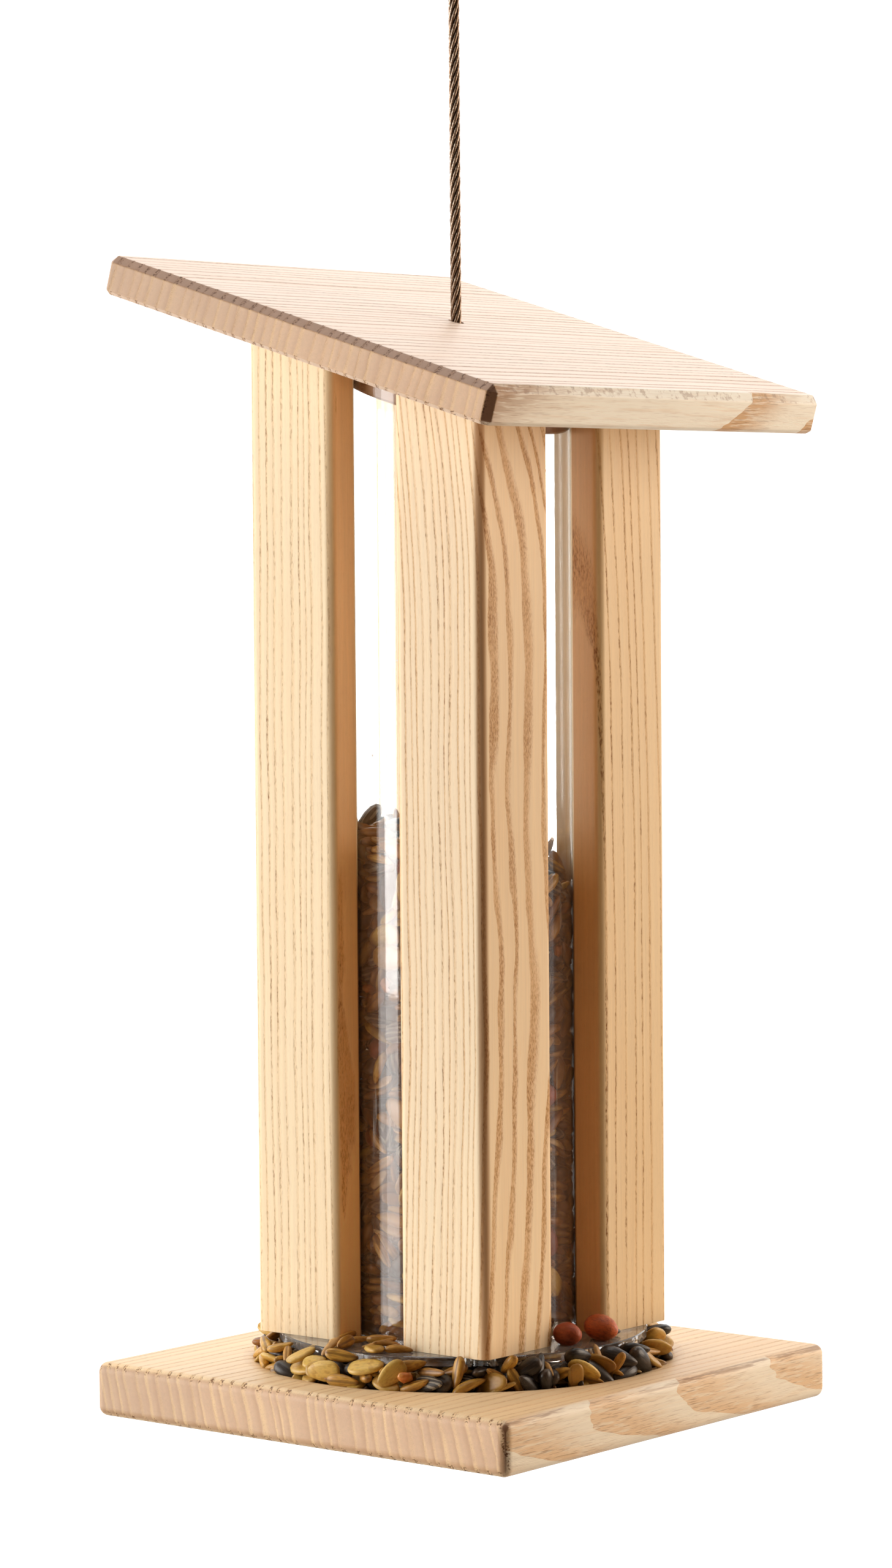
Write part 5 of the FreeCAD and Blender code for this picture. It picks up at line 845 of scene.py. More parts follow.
    (0,103,312,-108,754,56,-20,71,-39,19), (4,102,279,19,795,23,-18,-86,-41,67), (0,98,196,202,796,96,-1,-9,27,55), (4,100,-2,261,751,11,-12,-14,98,43),
    (1,111,39,-244,793,33,92,18,-10,34), (1,103,157,-179,757,5,-38,70,-60,24), (1,101,273,-9,750,6,-34,-21,-91,23), (1,103,228,156,798,34,88,19,25,95),
    (4,103,130,235,813,38,-93,-3,-1,20), (7,113,-51,301,760,54,-76,-35,-9,24), (6,97,-213,250,757,6,51,-6,-85,98), (2,118,-314,93,786,63,51,28,51,33),
    (0,112,-232,-117,775,1,-43,-82,-38,5), (0,109,-146,-268,791,92,-20,-18,-28,81), (3,111,-260,165,785,18,-33,92,12,35), (0,101,-327,-61,776,52,38,59,48,24),
    (0,105,-184,-235,789,8,-12,24,96,61), (6,115,-13,-307,768,31,77,-9,-55,16), (1,128,182,-184,792,89,13,21,38,34), (4,117,284,-39,781,41,-81,25,32,94),
    (1,97,273,60,814,86,-47,16,12,88), (2,110,219,178,821,14,-19,97,-2,92), (2,96,51,281,796,87,-25,-30,-30,95), (1,131,-41,252,807,4,7,-94,33,26),
    (1,114,280,18,837,11,-96,-14,21,58), (6,117,196,206,811,20,6,-1,-98,67), (2,98,63,298,775,46,-74,20,-46,16), (0,97,-72,286,813,15,0,-46,-87,51),
    (1,97,18,315,786,55,80,9,21,96), (1,127,-94,306,846,11,-2,-60,-79,8), (5,95,-252,-161,801,76,24,21,-56,24), (1,110,-70,-224,790,62,-71,-13,-29,86),
    (1,110,92,-267,813,77,-8,10,-62,53), (1,98,326,-41,801,19,-76,-32,54,34), (1,116,-201,-199,809,29,21,-83,-43,43), (5,85,-100,-258,852,81,33,25,42,46),
    (2,105,130,-247,803,71,-48,50,-13,14), (5,88,264,-100,820,14,-1,-39,91,94), (1,101,307,-28,834,3,49,-82,30,57), (1,111,234,151,846,83,-49,7,25,27),
    (3,112,121,293,809,48,86,-11,-10,93), (2,99,39,233,811,45,-8,-86,-25,46), (0,108,-115,234,838,7,-23,95,19,27), (1,115,-281,13,804,41,-90,-8,11,44),
    (1,108,-302,-104,825,4,-77,-21,60,42), (2,130,-151,-201,840,84,-38,36,13,10), (4,103,49,-276,839,78,21,-5,59,81), (4,117,172,-199,847,5,10,-98,18,32),
    (0,112,275,-48,878,4,-26,94,21,32), (0,114,262,103,820,94,-23,24,7,20), (7,97,208,254,819,66,-40,17,-62,59), (4,98,-5,290,845,28,27,-87,-29,4),
    (1,121,-209,244,834,26,-10,59,-75,20), (2,116,-278,41,793,89,42,6,16,38), (6,115,324,43,833,70,-33,8,-63,44), (1,100,290,145,816,59,-9,25,76,56),
    (2,97,116,310,882,35,76,10,-54,6), (2,117,25,231,864,19,13,-70,68,83), (3,98,-229,133,822,17,-96,-14,-18,2), (6,101,-236,-43,792,77,13,2,-63,42),
    (6,102,-176,-245,831,16,43,79,40,44), (4,95,-39,-279,832,15,-47,87,7,0), (1,108,94,-280,845,28,45,-72,-46,45), (1,96,209,-136,817,40,65,-54,36,97),
    (3,104,-230,215,872,82,32,-4,47,20), (2,123,-298,97,828,72,-15,-17,66,11), (1,108,-292,-27,815,25,-48,-80,-27,55), (7,98,-146,-239,825,62,-26,40,62,63),
    (2,98,-63,-325,847,78,-52,33,6,80), (1,122,175,-266,831,79,54,0,29,25), (4,106,264,-161,874,16,90,38,-11,76), (4,96,274,56,864,6,32,-94,14,16),
    (4,100,143,198,849,14,23,77,58,61), (0,105,90,246,868,2,-9,-38,-92,21), (3,104,-185,-262,849,54,-75,35,-17,28), (0,118,16,-278,871,37,2,-14,92,2),
    (2,118,163,-166,886,21,32,-63,-68,54), (2,114,230,-122,866,97,6,-2,23,14), (1,96,242,116,864,1,18,-30,94,38), (2,106,173,244,853,80,9,49,34,0),
    (7,105,44,259,825,76,-33,-27,-50,9), (2,100,-194,200,821,65,-6,59,48,47), (2,109,-248,8,831,55,-5,-42,73,56), (2,128,-234,-86,843,58,8,58,57,11),
    (0,107,200,221,863,39,71,-50,-30,42), (1,97,41,289,849,45,-76,-35,31,86), (2,99,-170,212,850,78,13,27,-55,31), (1,106,-231,78,834,1,88,45,17,42),
    (3,116,-275,3,866,10,49,86,7,19), (1,109,-187,-261,891,6,-31,-94,-14,95), (1,111,71,-263,890,32,47,-82,-4,96), (1,130,155,-224,896,95,27,13,-3,26),
    (0,99,267,-100,888,1,6,-100,-5,27), (1,108,268,95,881,3,-19,94,-29,14), (3,117,149,-282,886,80,58,11,13,47), (2,113,205,-142,919,8,65,-56,-51,33),
    (0,106,280,3,871,37,-88,-29,9,82), (7,117,288,156,858,71,-24,-49,44,11), (4,110,38,273,897,10,32,-92,21,83), (4,109,-112,256,883,13,-4,0,99,58),
    (6,118,-194,159,817,58,-60,46,31,25), (2,103,-294,-78,851,14,-50,7,-85,42), (1,120,-256,-163,873,17,50,85,5,36), (2,132,-132,-283,920,87,-32,31,-22,10),
    (3,113,-19,316,900,85,50,14,6,86), (4,95,-179,202,887,4,21,-12,97,61), (2,124,-252,99,867,66,-15,14,72,34), (3,117,-271,-123,906,66,11,-22,-71,38),
    (6,98,-170,-148,825,69,53,-49,-1,78), (0,99,58,-263,924,58,-38,9,72,30), (1,122,225,-229,931,54,-78,-21,24,41), (6,115,280,-47,905,5,-99,-15,-3,11),
    (2,96,288,68,899,88,23,2,41,73), (2,106,149,261,868,35,58,-72,15,61), (2,116,261,107,908,41,82,40,-2,84), (3,101,234,185,886,56,-46,41,-55,91),
    (2,116,139,189,894,23,-12,-64,73,16), (1,99,-330,-38,835,46,-46,-54,53,18), (0,108,-293,156,904,34,70,1,63,3), (2,103,-327,-19,861,10,-64,-73,22,77),
    (2,96,-199,-125,901,42,-20,-80,38,0), (4,102,-46,-306,879,81,-33,49,-9,25), (2,112,2,-255,946,63,-62,-46,-8,13), (0,107,262,-100,911,3,-49,87,7,5),
    (0,99,268,172,898,65,17,74,8,75), (0,102,29,305,931,9,-11,-99,3,33), (4,103,-151,281,931,30,1,-59,-75,47), (2,109,-187,146,893,81,-33,-49,3,90),
    (0,101,-268,-8,910,18,90,-39,-4,49), (2,102,-217,-95,936,11,-53,-82,19,11), (0,114,278,-31,937,29,-16,-10,-94,65), (7,98,298,-143,903,85,-38,-34,12,89),
    (2,129,266,-142,938,93,25,8,27,33), (2,109,306,67,917,19,-74,-64,-1,74), (4,104,165,265,917,18,-97,15,-8,58), (6,97,121,304,942,23,-15,-17,95,36),
    (1,100,-130,236,914,20,-17,-30,92,21), (2,109,-257,88,908,15,-14,96,-18,4), (1,113,-317,-7,890,59,-8,-3,80,26), (2,111,-324,78,878,14,63,-29,-70,72),
    (6,102,3,-304,888,8,-36,-93,3,13), (2,100,330,31,899,57,-42,-68,20,17), (2,103,267,-88,934,7,-100,5,4,39), (4,110,202,200,937,100,-10,-3,-1,47),
    (3,104,-168,-180,917,28,22,74,57,83), (2,98,7,-258,903,90,-29,20,-26,3), (1,116,126,-278,942,87,-21,6,44,2), (7,105,231,-42,922,47,-44,-71,29,61),
    (1,111,261,106,946,90,-36,1,26,14), (7,115,175,247,956,6,-23,11,-97,11), (0,114,28,282,956,42,2,6,90,71), (1,99,-165,192,922,12,-5,-50,-86,51),
    (2,114,-252,136,897,29,9,-44,-85,23), (1,98,-324,-35,920,32,-62,70,-11,67), (1,125,123,251,965,60,-2,52,-60,23), (1,104,100,283,944,44,-60,67,-1,27),
    (2,103,-54,233,923,7,94,17,-29,73), (0,100,-238,134,934,3,-19,98,1,79), (0,100,-282,32,922,5,-23,-96,18,84), (3,105,-282,-85,947,12,25,96,7,36),
    (2,104,-77,-231,890,12,95,9,-26,39), (1,108,-9,-312,913,25,-94,-10,21,39), (6,100,269,-154,970,79,41,0,45,9), (6,114,258,73,912,69,61,18,35,94),
    (1,102,252,134,961,20,96,-6,16,24), (1,110,69,275,985,13,-73,67,-5,33), (7,113,-85,226,968,6,12,99,9,30), (1,118,-173,228,926,95,-26,-8,-17,23),
    (0,104,-278,56,936,5,-34,-92,18,18), (5,94,-215,-206,958,55,62,-36,44,17), (7,103,-47,-244,900,63,2,41,-66,84), (4,101,46,-260,964,27,-26,75,-54,48),
    (1,96,206,-121,1001,67,-2,-74,3,32), (1,96,257,22,914,87,7,-3,49,81), (1,106,-67,-243,935,8,100,0,-3,1), (0,111,36,-328,937,19,27,-67,66,20),
    (2,104,137,-198,948,89,22,39,2,80), (0,115,274,-68,974,93,32,20,7,13), (6,105,258,157,934,77,-20,-56,23,58), (4,97,156,238,1011,37,29,-1,-88,31),
    (3,98,-33,254,945,64,-35,42,55,8), (1,111,-97,260,947,36,-1,-7,-93,29), (0,107,-156,237,972,6,-59,-76,-26,42), (4,108,-226,226,974,73,-38,-56,9,26),
    (0,116,277,-99,999,81,50,25,18,46), (0,95,277,52,938,7,-97,-23,-1,87), (0,114,204,220,975,49,8,-5,87,69), (2,119,-3,284,992,0,-53,-83,20,22),
    (3,95,-81,281,980,48,-5,-4,-88,87), (1,106,-221,105,966,35,-50,75,24,62), (3,95,-281,-24,954,10,-4,40,-91,55), (2,109,-150,-231,968,21,18,-92,-28,54),
    (4,114,-113,-253,986,88,42,20,12,87), (6,101,111,-244,949,6,37,-89,24,67), (3,112,-180,184,981,16,-59,77,20,65), (3,107,-277,99,964,1,74,66,-14,44),
    (3,97,-276,-47,987,17,12,29,-93,76), (2,102,-160,-224,998,9,28,-88,38,43), (2,99,64,-290,981,16,-21,71,-66,4), (1,103,146,-255,974,34,-44,-83,9,93),
    (2,99,318,-101,999,39,67,12,62,1), (7,114,228,77,994,74,40,53,-11,40), (2,112,189,211,1007,36,-10,70,-61,23), (7,106,25,331,982,59,-65,16,45,96),
    (2,116,277,68,967,27,28,-39,-84,94), (3,117,232,166,997,4,77,63,7,36), (2,108,-107,214,1002,70,62,31,18,33), (0,98,-84,237,1018,29,95,13,-3,64),
    (2,100,-243,152,964,37,-4,-38,84,30), (1,110,-236,33,981,15,-74,-27,60,55), (1,118,-239,-154,956,28,-5,76,-58,7), (3,103,-69,-300,955,4,-9,99,-8,15),
    (1,100,95,-308,978,4,-12,98,-18,12), (1,98,181,-157,952,60,49,-33,54,63), (6,106,198,183,1008,90,-20,-26,27,87), (4,116,87,288,1037,18,3,96,21,49),
    (0,108,-100,275,1020,28,95,-12,4,42), (0,110,-287,102,997,49,-4,-18,-85,69), (0,96,-317,-2,977,43,46,78,1,68), (3,114,-262,-129,997,2,93,-36,5,19),
    (0,100,-4,-283,991,79,-3,-10,-61,6), (7,106,117,-242,967,25,73,-63,-9,77), (4,117,179,-177,998,57,51,-14,63,50), (5,90,286,10,981,14,18,-66,-71,44),
    (2,118,-76,-271,989,59,-71,-34,17,45), (2,108,108,-256,1003,49,52,57,40,27), (2,115,244,-219,966,14,-90,-37,19,13), (1,105,285,-40,1018,12,5,-73,67,64),
    (1,97,245,158,1036,53,-37,45,-61,68), (1,99,56,242,1035,11,-39,-65,64,72), (1,109,-78,315,1033,58,70,30,-29,38), (0,111,-217,185,1011,3,15,21,-97,77),
    (1,109,-246,61,1005,22,-33,75,-53,64), (4,101,-264,-95,1037,98,6,16,-8,95), (3,102,197,164,1042,6,-77,64,-1,51), (3,103,-2,281,1037,6,-82,54,-17,98),
    (2,114,-160,233,1039,51,-3,39,76,76), (4,112,-248,141,1030,11,-15,96,18,69), (6,115,-206,-94,1073,25,70,-1,-67,44), (4,104,-220,-181,1033,1,-1,-4,-100,55),
    (6,97,-8,-289,1006,56,-7,2,82,83), (1,115,158,-271,999,20,39,-88,-18,20), (4,106,283,-150,1015,15,60,-50,-61,85), (1,103,252,57,990,50,67,54,8,85),
    (2,111,-328,0,1018,67,-20,-47,-54,71), (2,113,-245,-139,1041,11,17,4,-98,57), (0,96,-53,-285,1017,69,9,-21,69,22), (1,111,78,-261,1055,65,48,5,-58,61),
    (0,96,231,-181,999,72,-45,-49,22,20), (4,102,280,-7,1065,14,27,-51,81,25), (1,103,285,148,1016,78,-9,46,-42,88), (0,112,60,272,1074,7,-31,95,-2,14),
    (1,116,-134,279,1048,3,1,-96,29,43), (6,110,-265,170,1017,27,-90,-34,-10,3), (2,108,143,218,1051,50,-12,83,-22,8), (7,101,107,314,1010,57,21,-46,65,37),
    (1,118,-168,243,1073,30,91,2,-28,42), (2,112,-311,88,1071,15,64,-22,72,43), (1,99,-289,-46,1033,65,-74,12,6,53), (1,101,-191,-238,1040,88,-47,9,4,22),
    (4,114,39,-283,1024,5,94,-29,-20,19), (1,99,91,-223,1032,13,-16,28,-94,16), (6,98,251,-85,1005,45,-85,-3,27,56), (3,102,270,85,1017,10,-8,-99,5,11),
    (2,109,278,-62,1039,19,-9,82,54,68), (2,116,233,40,1042,32,55,60,48,18), (0,96,115,222,1071,9,59,3,-80,91), (0,112,-2,281,1083,48,9,-30,-82,63),
    (7,103,-164,175,1050,6,-91,17,-36,57), (6,104,-318,53,1066,36,45,-61,55,72), (2,99,-270,-51,1058,13,-98,9,14,33), (1,111,-99,-221,1022,21,97,-9,-13,37),
    (1,109,132,-296,1047,32,-4,58,-75,20), (6,105,162,-198,1023,57,27,24,-74,70), (1,107,98,219,1115,51,-22,72,43,34), (0,110,-72,270,1069,55,-19,25,-78,63),
    (1,113,-201,221,1061,56,40,65,31,26), (0,103,-276,81,1070,80,21,56,-8,87), (1,106,-276,-71,1084,5,-2,-64,-76,85), (0,112,-110,-245,1050,9,-55,-79,-24,53),
    (7,96,217,-203,1093,42,-35,-84,-4,17), (2,105,200,-223,1020,75,13,5,64,12), (2,104,283,-40,1064,10,-11,75,64,39), (0,107,257,91,1059,50,-18,7,-84,87),
    (2,109,158,-235,1033,80,17,5,-57,11), (3,116,229,-168,1057,1,86,51,4,54), (1,110,296,33,1056,64,68,-19,30,69), (1,116,193,169,1086,3,-21,-96,-18,28),
    (1,117,70,259,1106,95,-18,-8,23,53), (6,117,-123,264,1078,60,34,10,72,45), (1,99,-239,129,1070,23,12,96,9,19), (4,106,-283,9,1041,17,-30,-52,78,44),
    (1,97,-176,-281,1049,72,53,-44,6,22), (4,110,-16,-285,1092,88,-1,-21,-42,24), (0,117,218,248,1089,69,-54,49,1,55), (1,118,3,241,1136,6,-4,59,80,91),
    (1,109,-264,186,1049,17,-36,86,-31,4), (0,111,-263,65,1087,7,56,-22,80,80), (1,129,-248,-161,1076,66,25,-20,-68,10), (3,102,-116,-266,1075,55,13,-8,82,39),
    (6,118,-50,-323,1027,16,1,90,40,10), (3,105,292,-124,1097,67,59,32,31,94), (1,98,272,-61,1077,1,31,87,39,28), (2,100,277,117,1074,59,-6,-5,-81,13),
    (2,104,232,205,1068,24,21,66,69,98), (0,115,65,288,1127,18,-2,-42,-89,50), (4,99,-44,281,1103,17,-46,83,-28,84), (0,101,-233,150,1096,2,90,-38,23,83),
    (2,129,-277,-17,1099,92,25,-13,-27,14), (2,130,-182,-219,1081,7,-71,70,-8,12), (1,100,-58,-319,1073,53,-25,77,24,90), (0,116,3,-235,1132,26,19,-68,66,84),
    (3,106,232,-94,1078,61,-38,15,68,63), (0,98,289,76,1080,30,-84,-3,45,46), (4,97,-161,182,1092,39,-28,73,-47,46), (1,114,-224,71,1091,71,1,67,-22,58),
    (2,110,-268,-157,1111,87,-35,-12,-33,32), (5,88,-87,-264,1125,4,-72,69,3,30), (5,85,58,-296,1088,13,65,-22,-72,0), (1,111,169,-238,1067,4,-19,-65,73,11),
    (1,107,278,-48,1108,94,-26,18,-11,62), (1,106,237,122,1105,86,48,4,-16,13), (7,99,106,250,1128,68,-47,43,-36,97), (0,117,-73,272,1129,69,-43,-20,54,2),
    (2,98,143,257,1105,71,-22,18,-64,48), (1,108,-115,268,1124,22,-65,61,-39,58), (1,105,-210,198,1111,51,-9,20,83,2), (1,103,-242,31,1089,62,46,35,-52,74),
    (6,102,-296,-134,1064,1,76,-56,-33,7), (0,104,-230,-224,1114,21,30,80,48,61), (2,97,-272,-189,1139,16,-87,44,-16,73), (4,106,-170,-209,1129,8,-85,51,-7,75),
    (1,105,326,-16,1136,61,-40,-55,39,49), (3,103,279,154,1106,38,81,-36,-28,96), (4,102,37,-319,1188,81,59,-5,7,29), (1,104,308,6,1098,18,87,-44,-16,53),
    (6,99,325,54,1105,22,-76,57,-20,22), (4,114,169,234,1129,91,-20,35,-12,39), (2,116,-109,309,1149,22,95,20,1,97), (2,116,-161,290,1102,46,-17,-68,-54,44),
    (1,99,-224,96,1170,7,-74,-31,59,49), (0,100,-263,-116,1115,6,-7,20,98,24), (2,110,-188,-153,1162,27,-14,-17,94,48), (1,108,9,-292,1144,2,85,47,25,5),
    (1,96,-288,154,1097,26,77,57,4,95), (4,109,-278,-66,1131,13,24,96,-9,94), (1,97,-130,-211,1165,83,56,5,-4,5), (0,112,-68,-282,1171,95,10,27,9,91),
    (1,116,165,-174,1078,54,73,37,20,97), (2,112,268,-198,1094,13,64,-33,68,74), (6,110,320,65,1045,78,8,54,-31,1), (0,104,201,199,1152,56,-79,-8,25,49),
    (4,105,-8,321,1157,6,-17,-59,-79,24), (2,106,-164,254,1117,15,-96,5,22,7), (3,107,183,264,1179,7,-40,-70,58,31), (1,120,-100,257,1170,21,82,53,12,20),
    (2,115,-196,205,1160,20,-28,-94,7,18), (0,100,-285,-2,1140,14,97,7,-17,20), (1,98,-315,-88,1168,20,64,14,73,18), (1,128,-150,-275,1164,91,27,-6,-30,20),
    (1,102,-160,-286,1213,31,-11,61,72,47), (7,107,240,-226,1085,69,57,-9,44,34), (0,106,275,6,1140,57,64,-27,-44,74), (0,96,229,110,1130,28,-47,-72,-43,5),
    (0,102,-188,-213,1199,39,88,25,8,98), (4,113,-55,-284,1205,19,-23,29,-91,28), (6,107,125,-250,1041,2,-87,-20,45,4), (4,112,219,-181,1134,75,9,15,-64,66),
    (1,106,234,13,1120,64,36,-62,-29,67), (2,108,219,182,1161,9,-24,40,-88,85), (0,96,98,305,1174,43,-5,63,64,59), (3,109,64,260,1181,83,22,5,-50,69),
    (1,111,-247,205,1141,14,37,-89,23,27), (4,117,-262,152,1130,76,1,25,59,27), (2,105,-97,314,1188,14,-97,-19,-11,74), (4,109,-273,50,1170,32,-85,40,16,77),
    (1,117,-244,-127,1177,94,25,-24,-6,25), (1,103,-231,-170,1155,94,-23,-3,-26,14), (1,115,-126,-236,1196,15,96,22,-12,88), (4,98,117,-256,1097,6,58,72,-38,37),
    (0,96,187,-215,1138,18,53,67,49,92), (1,108,320,7,1172,25,-62,74,-4,33), (1,102,199,157,1134,19,25,73,-60,71), (2,113,106,241,1198,36,48,31,73,71),
    (0,112,81,-269,1150,3,49,-87,-3,3), (1,101,188,-176,1104,37,-66,-64,15,79), (0,110,285,-50,1158,64,38,4,-67,90), (1,106,266,146,1168,56,62,55,-1,77),
    (1,116,143,237,1200,8,-74,57,36,8), (2,99,-65,260,1204,35,-7,0,93,90), (6,115,-218,156,1154,79,33,6,-50,60), (4,99,-252,12,1193,74,30,-9,59,73),
    (0,107,-272,-156,1179,12,48,81,31,78), (0,110,-155,-238,1234,16,-11,-1,-98,81), (1,122,-283,132,1208,37,32,-87,5,10), (2,100,-329,-4,1129,26,68,69,7,90),
    (2,99,-316,-97,1239,60,-12,28,74,2), (1,131,86,-258,1185,16,98,5,-12,4), (1,96,131,-227,1117,6,28,51,81,49), (6,113,269,-128,1143,72,-6,25,-64,47),
    (3,115,302,76,1135,79,-13,27,-53,25), (1,95,171,173,1229,59,-48,47,45,43), (2,123,-16,284,1197,73,13,-25,62,26), (2,97,-143,248,1137,34,69,-61,-20,14),
    (7,105,-69,300,1206,4,1,88,47,72), (2,111,-185,153,1188,28,57,-22,-74,57), (1,111,-323,-1,1180,65,5,30,69,81), (1,115,-263,-93,1213,3,-5,-54,84,64),
    (0,111,-109,-241,1248,36,8,8,93,39), (0,114,155,-254,1193,90,-5,43,-9,67), (2,114,165,-230,1141,59,-7,-37,72,62), (1,104,240,-75,1147,32,-51,-78,13,79),
    (1,124,269,86,1196,32,21,55,-74,7), (2,117,152,206,1217,5,18,26,95,80), (6,105,298,49,1163,6,29,-16,94,57), (2,106,220,176,1244,40,-53,-6,-74,54),
    (3,108,20,280,1236,75,1,31,-58,34), (4,100,-162,229,1190,5,-75,63,-17,55), (4,108,-216,162,1209,39,-63,61,-29,87), (2,96,-232,-56,1166,19,70,66,-18,16),
    (7,116,-219,-246,1277,51,27,-79,22,23), (3,104,-4,-290,1235,94,8,11,32,21), (2,101,150,-247,1149,8,63,69,35,50), (4,113,240,-89,1191,13,58,-75,-29,63),
    (2,105,228,-242,1168,69,49,52,-9,59), (3,113,277,39,1216,17,14,89,39,65), (1,113,259,192,1224,63,14,75,14,8), (6,107,105,200,1209,26,13,69,66,30),
    (0,116,-136,246,1221,2,0,-4,-100,56), (1,106,-257,198,1241,85,23,4,48,52), (2,117,-275,-61,1181,81,53,-25,7,92), (2,119,-206,-194,1228,4,48,-69,53,34),
    (1,103,-2,-235,1231,70,-69,12,12,96), (2,95,131,-200,1196,92,6,39,9,38), (0,113,245,145,1206,40,72,57,-2,42), (7,118,69,296,1232,53,-53,-67,1,43),
    (3,97,-56,283,1237,7,-41,-90,14,36), (1,117,-201,224,1261,98,7,19,7,16), (1,132,-307,-2,1227,11,73,-62,-26,34), (2,108,-274,-180,1198,44,-13,-12,88,14),
    (0,101,-87,-250,1267,7,95,-29,-9,51), (2,114,100,-265,1226,61,26,54,52,65), (1,127,211,-200,1189,93,4,33,13,22), (0,111,297,-146,1168,37,-37,60,-60,80),
    (1,104,-71,-322,1268,12,30,65,-69,16), (0,107,77,-274,1246,50,29,-25,-78,27), (2,115,272,93,1260,90,21,-23,32,84), (2,109,309,120,1184,66,-48,53,-23,14),
    (6,96,201,260,1218,89,-36,4,-28,9), (2,106,82,251,1238,35,17,31,-87,33), (0,117,-159,288,1259,64,-70,-3,33,49), (0,99,-242,142,1246,97,19,7,-16,74),
    (4,109,-281,-36,1259,41,-12,29,-86,42), (0,106,-230,-162,1237,38,92,3,12,28), (2,103,-146,-278,1262,42,-79,40,-21,85), (6,103,44,-297,1239,77,-28,-35,45,42),
    (3,105,232,-159,1220,21,-45,-84,23,13), (1,114,288,-19,1224,22,-22,-86,41,45), (0,96,118,311,1225,10,-33,-60,-72,57), (4,117,177,216,1252,39,91,7,-13,54),
    (0,96,-62,254,1268,37,-1,-6,-93,59), (6,113,-223,190,1265,44,89,2,-11,7), (0,97,-252,60,1252,32,70,-57,28,88), (6,117,-268,-118,1217,95,30,-6,-1,23),
    (1,101,-109,-217,1295,97,7,-2,-22,60), (0,111,49,-276,1272,3,-84,-52,-13,11), (1,101,290,-63,1211,35,-15,-92,-11,90), (6,99,245,-1,1225,45,72,-49,-16,4),
    (0,113,277,44,1262,21,-10,-26,94,62), (2,113,302,135,1249,48,-67,23,-52,29), (4,117,-90,248,1307,0,42,-90,14,52), (2,117,-131,197,1247,95,-19,-10,24,10),
    (5,85,-275,98,1282,1,-16,-27,-95,43), (0,97,-253,-101,1245,0,-86,-50,-6,71), (1,114,-179,-210,1280,17,60,-78,-3,2), (2,117,-4,-241,1270,89,35,23,-20,57),
    (0,109,157,-172,1233,71,52,48,3,34), (0,101,249,-131,1234,31,22,38,84,66), (1,130,252,10,1282,32,-60,73,-3,13), (2,118,137,296,1264,17,-27,-91,-28,38),
    (4,109,25,264,1287,26,84,-25,-40,34), (2,101,-115,249,1245,99,7,2,-12,88), (0,111,-245,143,1298,15,11,-91,38,67), (1,117,-264,-101,1271,5,0,100,-7,77),
    (3,112,-147,232,1278,5,-86,-50,10,8), (1,112,-228,175,1305,89,-43,12,-7,24), (1,96,-236,-19,1331,74,12,-64,-18,1), (0,108,-233,-199,1295,81,-26,-17,-50,93),
    (1,124,-18,-290,1292,14,29,90,29,37), (3,118,100,-267,1308,11,-73,60,32,30), (1,115,269,-93,1237,23,17,-5,96,67), (2,110,296,-8,1272,57,51,12,63,52),
    (0,105,205,261,1285,50,70,9,-51,23), (1,113,70,278,1284,28,73,-62,-8,12), (0,101,-222,-146,1295,18,26,79,-52,27), (1,114,-31,-244,1324,14,-5,95,28,29),
    (2,98,52,-275,1303,60,-27,-17,73,3), (4,113,275,-118,1274,72,-1,8,-69,7), (0,118,255,181,1299,38,-82,40,-12,70), (0,113,224,137,1234,39,-35,20,83,59),
    (0,113,156,218,1301,27,72,-63,11,4), (1,128,-39,282,1353,44,-21,11,87,34), (1,107,-203,202,1314,29,-17,5,94,33), (2,109,-287,29,1298,4,97,-5,21,42),
    (1,100,-144,-277,1296,4,1,77,-64,31), (2,104,27,-245,1311,35,-80,-38,-29,32), (0,99,187,-228,1243,67,0,21,-71,43), (0,114,260,-99,1311,53,-6,-7,84,5),
    (4,101,239,183,1345,64,-74,14,-13,55), (0,98,161,269,1322,17,-47,-49,72,62), (7,110,30,325,1299,42,49,29,-71,63), (1,100,-161,227,1321,25,19,95,-2,49),
    (1,118,-299,-33,1312,85,3,33,-41,6), (1,95,-242,-64,1295,24,-59,58,-50,91), (1,109,-220,-188,1317,31,94,13,-6,38), (7,116,-27,-324,1324,75,-37,51,20,73),
    (7,113,184,-266,1202,73,-38,55,-18,49), (1,102,136,-246,1265,57,58,34,47,11), (2,112,291,31,1330,65,63,31,29,69), (3,110,111,272,1326,22,-88,40,-12,91),
    (1,102,33,268,1331,11,-81,-43,39,93), (2,110,-126,277,1317,58,-53,1,62,0), (4,98,-243,147,1344,2,-4,-3,-100,54), (3,107,-289,-117,1311,40,-25,6,88,24),
    (2,95,83,-320,1305,19,23,23,-93,91), (1,112,205,-259,1261,29,-21,67,-65,74), (4,116,318,-23,1297,8,74,-27,-61,56), (2,112,206,124,1279,52,30,68,43,70),
    (0,102,93,267,1356,6,-87,-47,-9,11), (2,105,-88,271,1339,2,85,-50,16,10), (6,96,-214,221,1324,78,-9,-26,-56,6), (2,109,-274,65,1319,7,3,-95,-31,63),
    (2,99,-216,-106,1312,72,18,-48,-47,8), (7,100,-106,-300,1277,38,6,59,71,16), (1,117,165,226,1375,75,-41,-48,22,11), (6,112,-35,329,1248,24,-39,44,77,6),
    (7,98,-152,258,1306,27,95,-4,-17,99), (1,111,-269,88,1351,86,-44,20,-17,43), (3,109,-283,-63,1348,15,-83,-47,25,14), (2,114,-168,-230,1330,67,42,45,42,36),
    (3,116,34,-307,1345,19,98,-7,-8,76), (2,104,146,-300,1265,48,67,-26,50,24), (6,104,264,-72,1337,22,-96,15,-5,70), (4,110,277,68,1348,82,-34,3,47,30),
